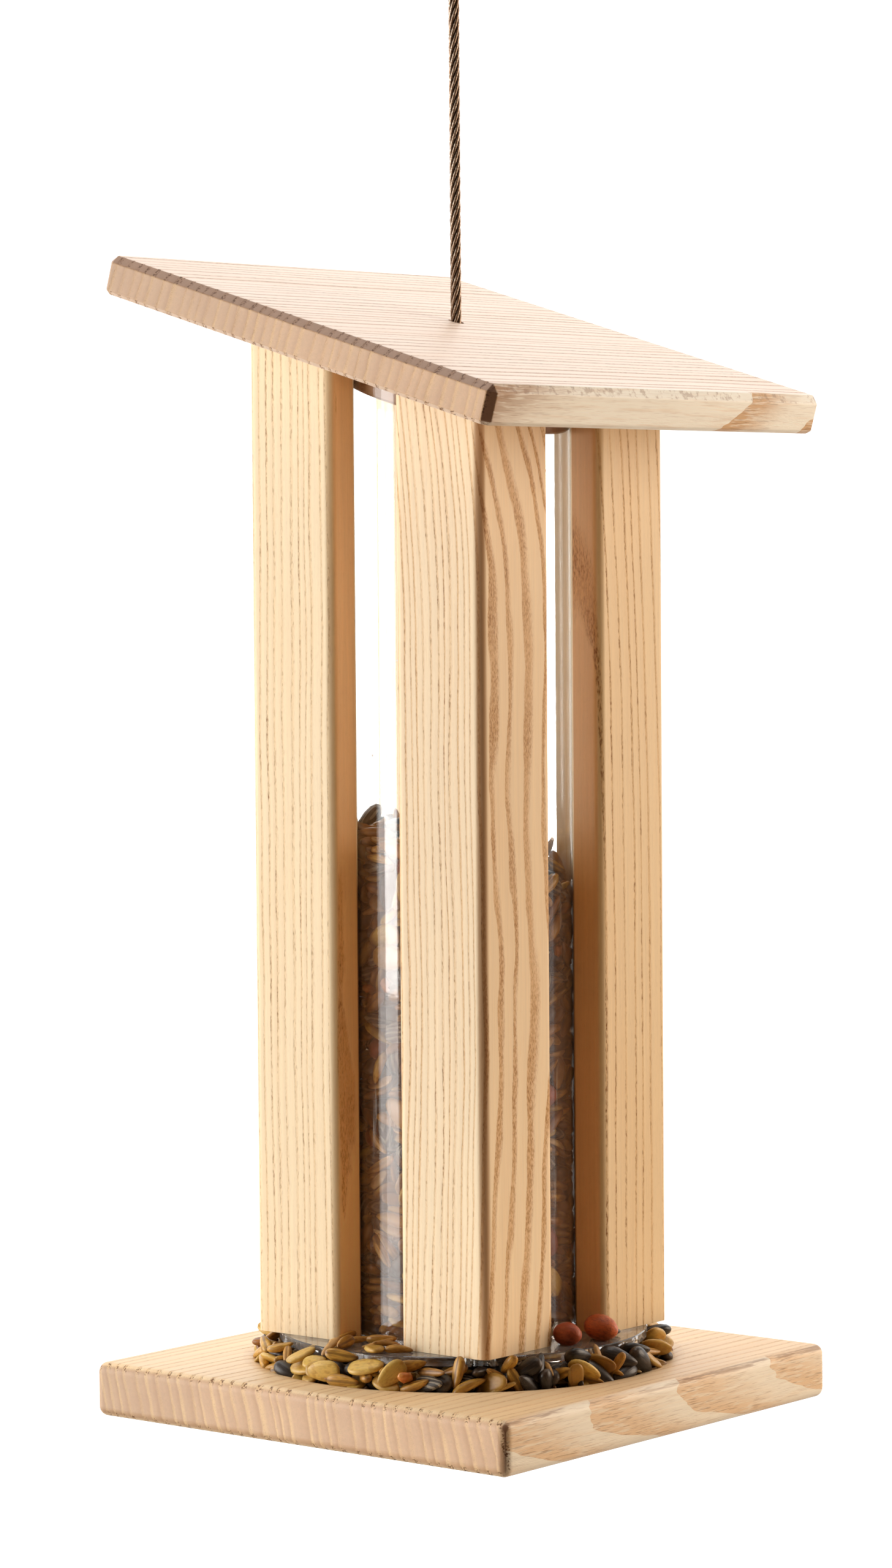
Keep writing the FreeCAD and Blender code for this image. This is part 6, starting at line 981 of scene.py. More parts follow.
    (1,114,-159,280,1335,92,-21,-15,28,69), (6,100,-248,180,1349,86,-50,-12,-2,33), (3,114,-279,-2,1367,10,42,-88,19,95), (6,108,-174,-159,1341,84,-40,23,-29,72),
    (7,110,-103,-307,1308,16,29,-93,-19,94), (2,114,113,-309,1359,6,-21,63,-75,20), (3,99,224,-157,1281,50,-18,-53,66,35), (7,110,325,59,1420,73,-48,46,-19,60),
    (1,109,225,123,1316,89,-18,8,-40,40), (1,111,32,292,1359,70,-23,-19,-64,81), (2,106,-231,236,1339,68,62,17,36,38), (1,114,-244,16,1394,5,80,55,-22,56),
    (1,107,-230,-101,1343,70,-17,9,-69,86), (4,114,-127,-247,1354,38,-48,-65,46,26), (0,110,21,-274,1374,11,-17,-93,32,93), (1,105,155,-272,1298,9,52,-62,58,0),
    (2,113,278,-42,1345,49,-82,29,-4,41), (2,104,281,121,1315,54,15,54,-62,68), (6,105,250,210,1378,19,89,-36,-19,4), (0,101,14,268,1400,15,41,-88,21,43),
    (1,101,-69,323,1371,12,6,-70,-70,49), (0,102,-179,218,1357,7,-84,54,7,1), (0,104,-275,-94,1383,75,-14,34,-55,72), (2,105,-187,-212,1361,31,-33,81,-37,53),
    (0,100,-75,-272,1347,41,58,56,43,12), (1,112,93,-260,1373,13,30,95,-1,11), (5,92,192,-211,1312,95,3,-7,-31,68), (2,95,280,-42,1307,27,30,68,61,26),
    (7,100,262,147,1315,74,59,6,-32,36), (3,98,95,265,1387,89,-10,-10,44,36), (7,115,-116,273,1360,32,-94,6,-6,96), (2,117,-244,-140,1413,10,-3,-90,-43,72),
    (3,113,-237,-97,1400,6,-88,39,27,53), (1,99,-102,-254,1394,6,2,-99,8,67), (0,112,0,-330,1410,72,-69,0,0,23), (2,109,145,-269,1355,99,-12,-7,5,23),
    (4,115,275,-90,1362,31,29,7,-90,27), (3,106,258,93,1387,8,18,92,-35,20), (1,112,204,254,1360,30,-23,-77,51,44), (6,117,32,281,1419,5,94,31,-13,30),
    (2,103,215,-250,1350,22,-91,-32,-10,3), (3,106,306,2,1394,27,-81,50,15,52), (2,109,270,126,1352,94,15,-20,-23,74), (1,97,134,241,1371,86,-13,0,50,17),
    (2,100,-48,299,1389,18,12,-96,-20,41), (0,117,-239,-181,1365,26,-28,-92,-9,68), (2,117,-231,53,1413,51,-59,-15,61,83), (1,110,-211,-198,1384,76,15,13,62,35),
    (0,97,-56,-295,1335,2,-60,3,80,12), (4,115,46,-274,1411,3,-32,-85,42,63), (2,108,-11,328,1474,21,76,-8,61,33), (0,114,-212,185,1379,3,-71,-70,-2,53),
    (1,113,-316,53,1360,60,46,-23,61,14), (1,100,-257,-194,1404,78,16,31,-53,87), (1,108,-91,-224,1427,71,-61,-20,-30,13), (2,111,59,-230,1405,21,-32,-27,-88,2),
    (1,113,231,-164,1329,92,-29,19,-19,83), (0,105,250,-54,1396,57,-30,-7,76,39), (1,111,225,145,1362,23,1,97,3,92), (1,103,143,249,1398,46,9,-26,-84,72),
    (3,110,-288,18,1427,20,90,20,33,16), (7,115,-189,-265,1387,69,-48,-18,-51,60), (4,113,-49,-280,1422,11,44,-52,-72,7), (2,112,127,-232,1362,1,83,-25,-50,23),
    (5,91,243,-154,1388,77,-53,3,-36,96), (0,100,231,20,1429,19,-65,-27,68,20), (0,116,212,188,1398,7,84,45,31,42), (1,97,55,327,1373,19,-1,69,69,42),
    (0,111,-119,234,1376,45,-9,25,-85,46), (2,112,-251,116,1373,60,-65,41,-24,14), (2,117,-118,-272,1419,20,-23,85,42,52), (0,113,87,-257,1439,20,92,28,-18,3),
    (0,109,191,-213,1371,95,14,-24,-13,67), (1,113,269,-47,1434,20,94,24,-15,64), (2,96,309,122,1402,9,-61,-40,68,20), (1,113,114,255,1419,3,92,40,-4,56),
    (3,108,-233,160,1412,7,-40,91,-10,49), (2,111,-245,105,1401,8,18,-38,-91,67), (6,116,-293,33,1377,14,30,-40,-86,34), (1,112,-225,-231,1422,24,20,42,85,73),
    (2,103,273,-4,1429,20,91,16,33,76), (1,95,258,131,1407,16,10,2,-98,70), (4,104,-98,233,1407,25,-7,19,-95,98), (1,97,-124,285,1440,68,30,-67,-5,54),
    (2,117,-199,129,1468,36,41,-83,-4,85), (1,116,-251,86,1424,15,-94,-26,-13,44), (4,106,-208,-192,1429,27,19,-93,14,50), (7,99,-97,-291,1391,85,13,41,-31,63),
    (1,112,93,-228,1459,85,28,40,20,24), (1,106,152,-239,1382,28,-59,-62,43,91), (1,116,-254,-122,1449,44,-83,-22,27,34), (1,99,-123,-303,1413,34,-27,63,65,66),
    (1,106,34,-264,1485,69,-62,20,-32,58), (3,111,176,-223,1412,13,72,-65,-18,87), (1,100,326,43,1491,59,-33,-71,19,37), (4,114,242,134,1439,23,-95,21,-9,56),
    (2,105,102,272,1448,8,-6,40,-91,36), (1,105,3,302,1444,13,-57,38,-72,29), (0,114,-270,190,1422,30,-36,61,-64,1), (7,96,-298,140,1377,1,80,-6,-59,62),
    (2,106,-175,158,1405,37,-11,62,-69,50), (4,104,-169,270,1403,39,-82,-13,40,87), (2,103,-222,124,1455,10,68,73,-5,21), (0,99,-266,-101,1471,7,15,-47,-87,66),
    (0,104,-143,-244,1438,70,-25,-32,59,58), (0,97,19,-296,1461,28,55,30,-73,85), (1,96,223,-234,1414,25,47,-41,-74,82), (1,108,252,-120,1439,69,63,-15,-32,24),
    (1,98,217,142,1475,1,11,99,10,24), (7,116,152,184,1392,15,3,87,46,27), (2,105,-297,114,1415,38,-28,88,8,95), (7,99,-319,-91,1419,7,-51,-47,72,84),
    (1,125,-229,-165,1480,42,-33,18,-83,32), (0,103,-29,-323,1471,10,12,81,-57,74), (4,112,169,-263,1458,22,-31,88,-29,5), (3,114,314,-64,1447,63,52,30,49,82),
    (1,97,274,154,1477,31,-13,-68,65,50), (0,102,167,228,1421,73,10,2,68,36), (2,99,123,307,1425,24,93,-22,14,84), (5,86,-150,216,1458,4,-20,95,23,43),
    (0,98,-290,52,1451,91,-32,-24,12,70), (2,96,-245,-160,1445,22,-20,1,-95,91), (1,118,-24,-247,1500,3,95,10,30,94), (2,109,64,-281,1516,17,91,-37,-4,57),
    (1,128,231,-166,1467,88,-25,-24,-33,5), (4,96,268,93,1477,15,-93,-31,-16,70), (1,112,280,69,1441,98,6,-16,-7,10), (0,110,99,258,1469,4,-11,40,-91,14),
    (2,111,-24,286,1417,28,47,-84,3,27), (7,118,-220,206,1449,59,23,-39,-67,66), (1,103,-302,-133,1504,49,-29,-64,52,44), (1,120,-180,-212,1520,4,-97,-21,-15,20),
    (2,99,99,-263,1487,8,-55,74,-37,64), (3,110,238,-149,1512,39,71,-58,7,95), (2,115,296,-6,1480,74,-55,-39,-8,12), (0,108,257,193,1465,60,-62,51,8,14),
    (2,102,83,296,1506,44,52,-47,57,76), (3,98,-56,300,1437,47,29,83,0,43), (2,104,-247,191,1458,41,-64,-64,10,60), (1,102,-318,-27,1442,16,-72,-60,-29,48),
    (6,114,-57,-295,1475,11,94,-16,30,97), (1,111,143,-208,1457,74,-40,-22,50,51), (2,107,271,-126,1471,64,48,-39,-45,85), (3,103,284,45,1488,62,-57,-53,4,37),
    (3,97,175,209,1448,22,-97,-2,14,19), (2,106,61,286,1436,30,11,-31,-89,19), (1,117,-186,266,1472,79,48,32,20,96), (2,131,-224,174,1488,14,-42,88,16,41),
    (4,110,-274,-46,1465,89,-20,20,37,29), (1,129,-175,-226,1464,64,16,16,-74,33), (3,105,-101,-264,1484,62,-41,46,-49,13), (1,110,85,-218,1505,64,-70,5,32,64),
    (3,103,201,-217,1517,56,-52,-23,61,92), (1,110,271,-114,1509,31,6,-90,29,58), (1,114,326,-51,1497,61,48,52,36,9), (6,103,219,78,1358,66,27,-67,20,16),
    (0,103,-83,270,1459,28,-70,49,-43,26), (2,111,-160,233,1522,41,18,71,55,4), (2,100,-267,9,1470,29,-91,-26,16,23), (0,105,-201,-116,1531,19,48,52,68,12),
    (2,104,-236,-13,1526,52,53,-66,-10,87), (1,99,-149,-257,1478,33,-72,-60,-10,1), (6,112,5,-240,1549,16,7,84,51,89), (1,115,158,-196,1493,47,-11,20,-85,52),
    (0,118,191,-135,1557,66,56,43,24,52), (1,109,246,-222,1508,67,23,66,-24,10), (6,107,290,-157,1489,80,18,54,20,84), (1,96,275,187,1396,64,-63,33,-30,2),
    (2,113,-140,281,1480,6,-42,81,-40,22), (1,101,-278,103,1452,28,-93,-9,-23,69), (4,117,262,-21,1516,62,-58,-47,24,30), (4,97,-127,254,1515,13,-27,-91,27,58),
    (0,97,-288,57,1493,2,83,-55,-3,17), (4,99,-252,-62,1514,70,-34,18,-59,42), (3,110,-173,-267,1535,14,-35,-74,-55,40), (0,103,14,-287,1526,28,-7,-27,92,32),
    (1,99,115,-292,1476,36,-86,-37,3,6), (2,109,301,-35,1503,39,76,24,46,13), (0,118,256,116,1509,8,-61,79,-6,80), (2,103,318,37,1535,81,-8,-55,20,23),
    (0,97,-77,-273,1515,1,-75,62,23,21), (0,115,47,-280,1568,59,28,11,-75,56), (4,99,299,-89,1553,68,-20,-2,-71,10), (4,107,256,93,1544,13,22,96,-12,83),
    (2,118,183,197,1494,4,-52,-78,34,59), (2,112,65,263,1423,77,-49,0,41,23), (2,100,-51,281,1499,70,-48,22,-48,79), (2,96,-284,172,1473,66,-56,-39,31,44),
    (1,101,-329,42,1472,34,-65,-27,63,46), (3,105,-223,-168,1538,8,-98,10,-16,60), (0,98,276,-128,1545,32,64,-69,-7,80), (2,102,246,17,1540,41,-34,22,-82,4),
    (7,106,301,130,1542,53,-44,72,6,42), (1,99,165,164,1510,69,57,-43,-13,11), (4,98,27,280,1467,31,-34,68,-57,78), (0,108,-87,269,1526,52,71,-46,-10,4),
    (0,97,-264,145,1498,59,27,-1,-76,49), (1,114,-311,-35,1511,34,66,67,-5,76), (2,106,-177,-211,1556,6,-18,97,-13,3), (0,112,-32,-280,1541,6,56,76,32,90),
    (2,124,-85,-269,1565,82,29,-11,49,42), (5,94,121,-260,1541,28,28,5,92,22), (7,103,312,2,1541,52,23,82,2,99), (7,112,169,178,1474,8,-13,-21,97,90),
    (2,117,78,320,1546,70,-70,11,-6,87), (1,128,-13,280,1516,56,69,-31,-33,38), (0,101,-143,242,1553,59,-6,17,79,78), (1,122,-298,89,1525,52,-7,10,-84,17),
    (1,110,-274,-84,1561,47,-81,-36,4,0), (2,105,-123,-227,1552,77,-63,-7,5,90), (4,114,196,-224,1576,90,-5,14,41,40), (0,97,112,312,1491,4,-27,-63,-72,85),
    (4,113,245,205,1550,57,-73,33,-19,76), (4,106,49,278,1529,23,-47,-69,51,71), (6,103,-49,297,1561,4,-94,32,-7,97), (6,114,-199,135,1499,84,-43,-21,23,97),
    (0,115,-266,-15,1557,79,-22,-36,-43,12), (1,102,-238,-201,1555,33,-58,72,21,93), (0,103,-135,-194,1605,69,-57,43,-13,50), (6,103,107,-315,1546,77,56,-14,28,74),
    (0,112,-190,208,1558,35,-54,-67,38,3), (0,97,-264,39,1537,53,77,35,-9,32), (1,108,-254,-129,1572,8,-91,-40,-6,24), (1,109,-194,-198,1582,58,1,-12,-81,20),
    (7,97,91,-316,1574,56,-47,-68,-2,69), (6,113,171,-193,1530,12,18,-55,-81,2), (2,121,191,257,1476,78,-27,55,13,11), (1,114,221,172,1530,62,-3,44,65,46),
    (3,100,122,262,1515,41,-65,54,34,89), (2,98,-17,324,1549,30,84,3,-45,35), (1,97,262,153,1570,92,27,-5,-29,81), (1,118,108,218,1491,32,-33,61,64,78),
    (6,115,3,287,1551,69,-24,33,-60,23), (7,107,-162,177,1567,36,2,-93,3,95), (1,118,-257,65,1545,6,36,-77,52,82), (1,110,-258,-5,1589,40,80,44,0,30),
    (4,101,-241,-210,1612,74,53,-27,-31,52), (1,97,116,-311,1606,71,61,33,-12,32), (0,101,273,-7,1570,16,89,-42,-6,12), (1,122,240,-90,1585,66,9,28,69,40),
    (0,111,-145,-252,1602,55,56,-33,-52,18), (0,109,226,-186,1597,62,-25,27,69,60), (0,96,264,124,1590,35,27,0,-90,94), (1,110,208,118,1600,74,-39,46,-29,87),
    (4,109,-150,253,1585,0,-48,85,-23,13), (1,111,-63,275,1540,7,-50,-68,53,22), (4,106,-230,172,1550,8,-63,-76,-8,23), (0,99,-321,-25,1564,61,24,76,-5,12),
    (4,105,-259,-99,1609,99,8,0,-15,29), (2,101,-180,-279,1577,36,-1,-69,63,81), (2,97,-86,260,1569,8,64,73,-24,38), (0,113,-243,148,1580,19,-9,97,15,68),
    (7,115,-327,-24,1636,1,-51,8,-85,3), (1,108,-99,-258,1616,42,65,33,54,3), (0,111,-53,-277,1588,67,38,-3,63,28), (0,102,263,-79,1606,34,83,-32,-30,14),
    (1,114,318,15,1612,63,27,16,-71,92), (1,104,291,31,1580,19,-15,-92,30,60), (4,108,173,204,1558,42,-44,-44,66,84), (1,115,-27,307,1594,92,19,-14,31,64),
    (6,104,-320,33,1571,56,18,78,21,75), (2,116,263,-195,1668,68,-55,-14,46,28), (0,101,242,-191,1630,32,89,32,-10,24), (2,120,180,-267,1640,50,-78,-3,37,34),
    (6,118,336,-37,1556,65,20,-70,-21,95), (4,106,135,216,1588,53,13,83,12,30), (0,100,-213,229,1604,23,89,37,12,80), (3,109,-250,107,1600,59,-17,-32,72,59),
    (1,99,-222,-150,1597,52,66,42,-36,57), (3,103,-17,-316,1606,14,-68,26,67,29), (1,104,291,-73,1610,41,0,-89,19,5), (1,127,284,-31,1634,73,60,23,-24,41),
    (1,111,239,10,1636,70,-10,66,-24,33), (2,115,87,268,1576,19,-71,68,4,10), (4,114,-75,245,1623,89,-39,6,23,27), (2,107,-235,156,1628,42,-6,7,90,17),
    (0,111,-320,29,1624,13,61,-1,-78,78), (4,101,106,259,1613,23,-22,55,-77,2), (3,100,22,285,1579,46,-2,12,-88,42), (0,117,-132,293,1644,57,79,10,18,36),
    (2,116,-299,71,1592,28,-71,40,-52,19), (2,101,-212,-92,1637,45,-67,23,-54,22), (2,98,-161,-274,1607,59,16,74,30,60), (0,98,16,-294,1600,59,-36,70,-17,82),
    (2,111,150,-211,1608,22,30,-68,-63,29), (2,106,275,12,1617,90,25,-35,-6,66), (4,98,269,78,1610,1,-13,-84,-52,59), (1,98,171,285,1567,50,-66,-23,-51,22),
    (0,107,52,278,1624,63,41,6,65,11), (1,105,-62,325,1616,68,-62,-33,-19,99), (3,111,-254,108,1648,17,56,81,-4,89), (7,105,-305,-56,1572,26,-57,-22,75,64),
    (6,109,-193,-175,1610,22,-70,-65,20,26), (1,96,-53,-300,1610,78,55,25,13,8), (2,107,119,-209,1588,19,30,-60,71,18), (1,115,281,-135,1631,21,35,-89,-20,99),
    (0,97,-268,8,1628,24,-47,20,82,46), (2,111,-257,-134,1635,3,-34,44,84,87), (1,108,-128,-251,1653,29,50,-75,-33,53), (1,114,42,-286,1607,31,58,-14,-74,45),
    (1,106,194,-169,1642,33,15,-70,-61,55), (6,115,95,317,1702,48,-76,-16,-41,60), (2,113,-10,312,1628,8,-96,-22,-14,41), (7,101,-246,215,1621,3,62,-78,9,12),
    (7,117,-221,-95,1675,67,5,-30,-68,15), (0,101,-171,-255,1641,59,15,79,2,88), (0,99,56,-316,1623,25,-67,33,61,45), (0,105,162,-166,1641,48,-3,71,-52,52),
    (2,116,-8,268,1669,68,-73,3,9,55), (1,111,-189,219,1643,97,5,9,-22,76), (2,103,-271,61,1632,90,-33,24,-15,60), (2,106,-42,-326,1706,13,-99,11,5,73),
    (1,111,5,273,1627,81,31,36,35,17), (0,111,-115,273,1640,13,13,-59,-79,43), (2,118,-304,126,1645,58,58,10,57,3), (1,106,-245,-18,1622,6,-79,-58,18,21),
    (2,115,-213,-196,1653,6,-89,-23,39,19), (2,106,-38,-261,1620,15,24,-90,-33,35), (0,101,104,-247,1622,77,20,-18,58,58), (4,99,233,-126,1666,61,3,40,68,33),
    (1,96,332,-25,1660,73,15,66,14,19), (1,105,-254,-92,1652,43,-19,56,-69,79), (6,103,-130,-199,1679,9,-88,2,-47,53), (0,99,-70,-274,1645,85,2,-1,52,48),
    (1,111,90,-262,1649,36,22,15,89,32), (2,97,183,-163,1719,48,17,-84,17,91), (2,103,246,-8,1697,36,-39,13,-84,76), (3,110,-42,312,1685,11,22,-32,92,6),
    (0,101,-198,144,1674,4,-53,69,-49,46), (1,111,118,-252,1670,89,0,19,42,78), (4,113,273,-78,1675,93,4,36,-1,18), (4,109,186,167,1672,37,-27,-55,69,34),
    (4,110,-213,189,1683,67,70,-17,19,96), (4,97,-163,235,1679,97,21,2,-8,18), (2,124,-267,122,1690,94,-8,-13,31,9), (6,115,-260,-50,1656,32,33,-32,-83,60),
    (2,98,-190,-229,1661,45,-72,-11,51,82), (4,104,-63,-301,1679,99,-4,-1,-16,22), (2,113,-234,-152,1665,26,-10,-77,-57,24), (0,105,-127,-254,1714,43,17,-68,-58,32),
    (5,87,34,-265,1691,92,-9,-25,28,19), (2,117,188,-216,1664,33,-7,94,-5,39), (2,109,190,-183,1679,16,16,-65,72,60), (0,109,95,216,1670,15,-28,-65,69,90),
    (2,107,-132,301,1691,21,-95,-22,7,30), (7,113,-176,163,1718,23,-69,-60,-33,55), (1,102,-258,23,1670,29,86,-5,41,44), (6,107,41,266,1591,72,29,-3,63,46),
    (2,96,-255,120,1722,3,-100,-3,4,46), (6,107,-331,-24,1676,47,-50,-63,36,97), (0,102,-191,-208,1686,52,-37,3,-77,39), (2,114,-2,-238,1653,20,-13,-63,-73,48),
    (5,91,142,-231,1712,8,-97,6,20,69), (7,99,-1,238,1664,18,-27,62,-71,64), (0,108,-116,248,1702,97,3,15,-19,4), (1,131,-258,64,1724,36,39,7,-84,4),
    (0,108,-250,-90,1690,40,-20,-12,89,39), (1,100,-169,-175,1689,88,-17,19,-41,4), (2,99,-30,-269,1701,18,81,-56,3,58), (7,98,210,-249,1672,77,21,-49,-36,29),
    (1,111,155,292,1656,71,-57,39,13,28), (6,115,-139,203,1681,44,34,-54,63,52), (0,117,-313,-66,1672,65,-36,46,-49,23), (1,106,-152,-236,1711,20,-43,78,-40,58),
    (1,102,-35,-294,1729,11,93,36,-2,58), (2,102,129,-302,1697,98,-3,-3,20,58), (1,104,158,251,1662,89,37,26,5,63), (6,104,64,270,1630,38,-22,36,-82,2),
    (2,102,114,257,1653,80,-7,22,-55,4), (2,108,-248,154,1728,91,40,0,9,18), (4,101,-283,1,1708,20,-19,-56,78,2), (1,104,-227,-140,1734,85,-35,-38,5,74),
    (6,96,-103,-263,1710,41,31,-67,-54,92), (6,98,73,-312,1677,56,45,-29,63,69), (2,110,34,229,1678,40,44,54,-60,77), (4,108,-310,80,1738,59,-19,77,-15,40),
    (1,124,-282,-95,1713,58,-37,-21,70,38), (0,108,-162,-235,1740,3,-74,59,-33,51), (1,115,12,-322,1736,17,-5,-79,-59,14), (2,101,48,291,1677,51,-22,-2,84,15),
    (2,97,-160,174,1749,14,-41,89,11,3), (1,112,-291,-35,1736,79,-53,16,-26,78), (1,116,-211,-180,1718,27,94,10,19,58), (1,109,-82,-272,1717,22,-51,60,-58,27),
    (1,110,99,-289,1741,95,6,26,-17,18), (6,114,-117,268,1742,71,-6,12,-69,59), (1,108,-243,134,1750,1,-1,66,-75,88), (7,97,-327,-28,1766,18,85,48,13,16),
    (0,111,-192,-210,1755,21,22,2,-95,16), (1,112,-56,-271,1750,45,-4,-15,-88,74), (4,115,-215,196,1745,31,49,77,-28,64), (1,101,-259,-25,1773,9,37,32,87,42),
    (1,96,-184,-187,1786,21,1,98,6,73), (1,99,-102,-273,1745,39,76,51,9,16), (0,97,79,287,1691,28,70,-3,-66,51), (3,109,-273,-64,1784,82,49,-22,18,71),
    (2,107,-201,-225,1773,22,-3,97,7,63), (1,108,-302,2,1761,47,78,-21,-35,5), (0,104,-231,-133,1775,55,34,7,-76,52), (2,100,-149,-248,1785,85,39,30,19,16),
    (7,112,-201,248,1719,33,-17,91,18,72), (6,96,-170,-294,1792,49,-18,67,53,39), (6,118,-265,-104,1752,98,-10,0,18,84), (1,106,-114,-256,1776,30,33,-76,-47,22),
    (4,107,-276,-119,1799,47,38,11,-79,64), (1,116,-276,24,1779,71,34,-60,10,36), (2,118,-253,-193,1750,43,-79,-4,-43,13), (0,111,-261,-202,1805,62,64,-27,-36,27),
    (3,110,-99,17,1716,-62,37,37,59,66), (2,111,-170,-80,1743,97,11,4,20,49), (7,111,-100,-57,1728,-76,-14,23,60,80), (4,110,124,-47,1690,39,-11,1,91,53),
    (2,97,-209,9,1739,-97,-9,-17,13,35), (0,109,-40,196,1668,51,-16,0,84,21), (4,102,116,63,1668,-57,2,-28,77,0), (3,96,87,128,1658,-82,-9,-18,54,54),
    (2,102,-159,-21,1735,97,6,9,24,29), (3,103,-32,134,1685,-98,0,-7,21,26), (2,104,79,-56,1698,59,-5,5,81,38), (2,111,27,143,1668,-83,-25,-28,41,75),
    (1,112,194,-111,1687,-80,-16,9,57,72), (2,109,140,168,1644,-57,19,10,80,75), (4,97,-101,-158,1750,81,-12,1,57,73), (0,99,-174,52,1719,-32,31,7,90,0),
    (4,96,35,-70,1705,98,-1,-3,21,30), (2,107,-122,95,1706,-44,13,-28,84,98), (0,107,159,-11,1671,-55,27,-14,78,30), (7,97,132,-149,1706,-88,-4,6,46,39),
    (3,106,-9,91,1682,-86,3,7,50,40), (4,101,-35,37,1703,23,0,-31,92,77), (2,102,68,3,1684,-39,2,-2,92,63), (1,108,-21,-72,1720,98,-5,-15,12,95),
    (4,99,-1,-128,1725,-60,-14,-8,79,11), (3,97,47,-128,1716,-2,-19,2,98,53), (4,100,-87,168,1685,-89,17,-18,38,87), (1,95,172,96,1652,-97,-9,-3,23,88),
    (2,103,-69,94,1693,99,9,9,1,22), (0,99,47,-198,1726,53,-31,-2,79,15), (1,103,97,191,1645,-40,13,11,90,79), (2,99,215,31,1653,-97,-5,-24,7,9),
    (4,109,51,83,1676,66,7,5,74,68), (2,107,-35,-217,1747,92,23,8,31,85), (1,110,107,-104,1703,-66,4,0,75,37), (4,96,-47,-167,1734,-25,-14,3,96,67),
    (2,106,26,33,1689,58,5,30,75,87), (1,100,-183,122,1715,-84,-16,-21,48,48), (0,104,-61,-104,1727,-98,-6,8,19,56), (0,108,-146,-169,1755,77,12,0,62,44),
    (7,106,204,-27,1665,70,-9,-20,68,32), (1,99,163,50,1663,49,-25,14,82,11), (4,99,-209,81,1723,47,-6,0,88,5), (1,105,-133,149,1694,-66,8,-6,74,14),
    (2,98,45,211,1651,86,8,24,43,49), (4,96,-39,-15,1711,-82,-1,0,57,70), (0,100,5,-175,1731,94,-18,-18,22,29), (3,103,-219,-37,1750,88,-11,-25,38,13),
    (3,102,-133,-109,1743,87,7,26,40,93), (2,99,-89,-204,1753,-63,2,-22,75,67), (0,107,170,-65,1684,-96,18,-11,19,27), (6,106,108,-195,1712,36,4,-5,93,70),
    (1,111,-182,-131,1756,-61,-19,20,74,73), (0,107,0,220,1656,75,-7,22,63,60), (2,101,-94,148,1719,-85,-15,-5,50,77), (1,108,156,104,1684,-96,12,-2,27,9),
    (3,105,-156,47,1752,-90,5,-10,43,11), (1,100,50,-7,1722,-96,-2,-11,26,8), (1,110,-160,-64,1772,75,22,11,62,59), (0,100,2,-79,1743,33,-2,-21,92,47),
    (1,100,99,-1,1710,-83,2,-17,54,62), (6,110,-56,-58,1748,96,-7,11,25,43), (2,104,-1,130,1705,-71,24,-7,66,36), (2,112,36,38,1719,-92,14,32,15,29),
    (0,108,161,-55,1714,15,-24,10,95,51), (3,106,-65,25,1738,51,4,-7,86,23), (7,99,8,189,1697,95,-22,-13,18,57), (0,99,184,12,1693,92,-16,-3,36,95),
    (1,104,43,-124,1741,-78,-1,-2,63,97), (6,100,90,-63,1729,-100,-1,-6,5,56), (4,109,-114,-35,1760,97,12,5,23,48), (1,102,-208,-65,1776,48,20,-12,85,4),
    (6,103,-168,109,1741,95,-11,2,28,59), (1,104,87,66,1706,42,4,-22,88,98), (1,108,-154,-162,1789,3,0,14,99,27), (0,95,18,87,1708,82,7,-4,57,72),
    (1,107,106,169,1679,-66,-27,29,64,81), (0,104,90,125,1692,26,6,6,96,74), (1,110,144,-105,1726,-43,40,2,81,21), (0,100,-196,23,1758,31,16,2,94,98),
    (1,109,217,-40,1701,-95,27,13,11,37), (4,106,199,62,1683,-74,17,-7,65,80), (2,108,-71,203,1703,93,-20,9,29,36), (3,101,-178,-116,1787,-18,-15,0,97,53),
    (3,97,-104,76,1738,89,-14,21,38,21), (2,101,59,179,1691,46,20,1,87,92), (1,110,190,-112,1713,-86,4,21,45,49), (0,104,151,159,1674,91,-22,3,34,49),
    (1,110,-55,98,1724,-61,-2,11,78,81), (2,105,94,-114,1733,-77,4,-11,63,22), (0,101,-119,17,1748,0,21,4,98,62), (6,96,-200,74,1755,-44,-1,2,90,43),
    (1,100,135,38,1700,49,9,3,87,39), (4,98,-31,56,1727,-100,6,-6,4,57), (3,104,-145,168,1725,-39,-20,-4,90,76), (2,96,-25,223,1698,-71,-16,-15,67,81),
    (3,99,162,-150,1730,84,10,-24,47,37), (0,112,-42,154,1712,10,-7,3,99,4), (2,98,-221,-18,1777,-86,-31,9,41,98), (1,96,-158,-14,1760,76,-16,6,62,99),
    (4,111,42,196,1710,66,8,-2,75,87), (2,103,87,134,1712,58,-18,-25,75,61), (6,99,-10,110,1733,5,6,9,99,66), (4,108,-109,173,1745,27,15,4,95,47),
    (4,109,138,142,1706,-65,4,-8,75,2), (2,111,-79,131,1746,-89,15,-15,41,52), (3,109,1,55,1744,-17,-24,-1,96,68), (6,102,-45,200,1727,77,1,3,63,74),
]

# ------------------------------------------------------------------ pieces
def piece(name, verts, faces, mats, smooth=True, sharp=None):
    """One mesh object from points in millimetres."""
    me = bpy.data.meshes.new(name)
    me.from_pydata([(x * MM, y * MM, z * MM) for x, y, z in verts], [], faces)
    for m in mats:
        me.materials.append(m)
    if smooth:
        me.polygons.foreach_set("use_smooth", [True] * len(me.polygons))
    if sharp is not None:
        me.set_sharp_from_angle(angle=math.radians(sharp))
    me.update()
    ob = bpy.data.objects.new(name, me)
    scene.collection.objects.link(ob)
    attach(ob, "house")
    return ob


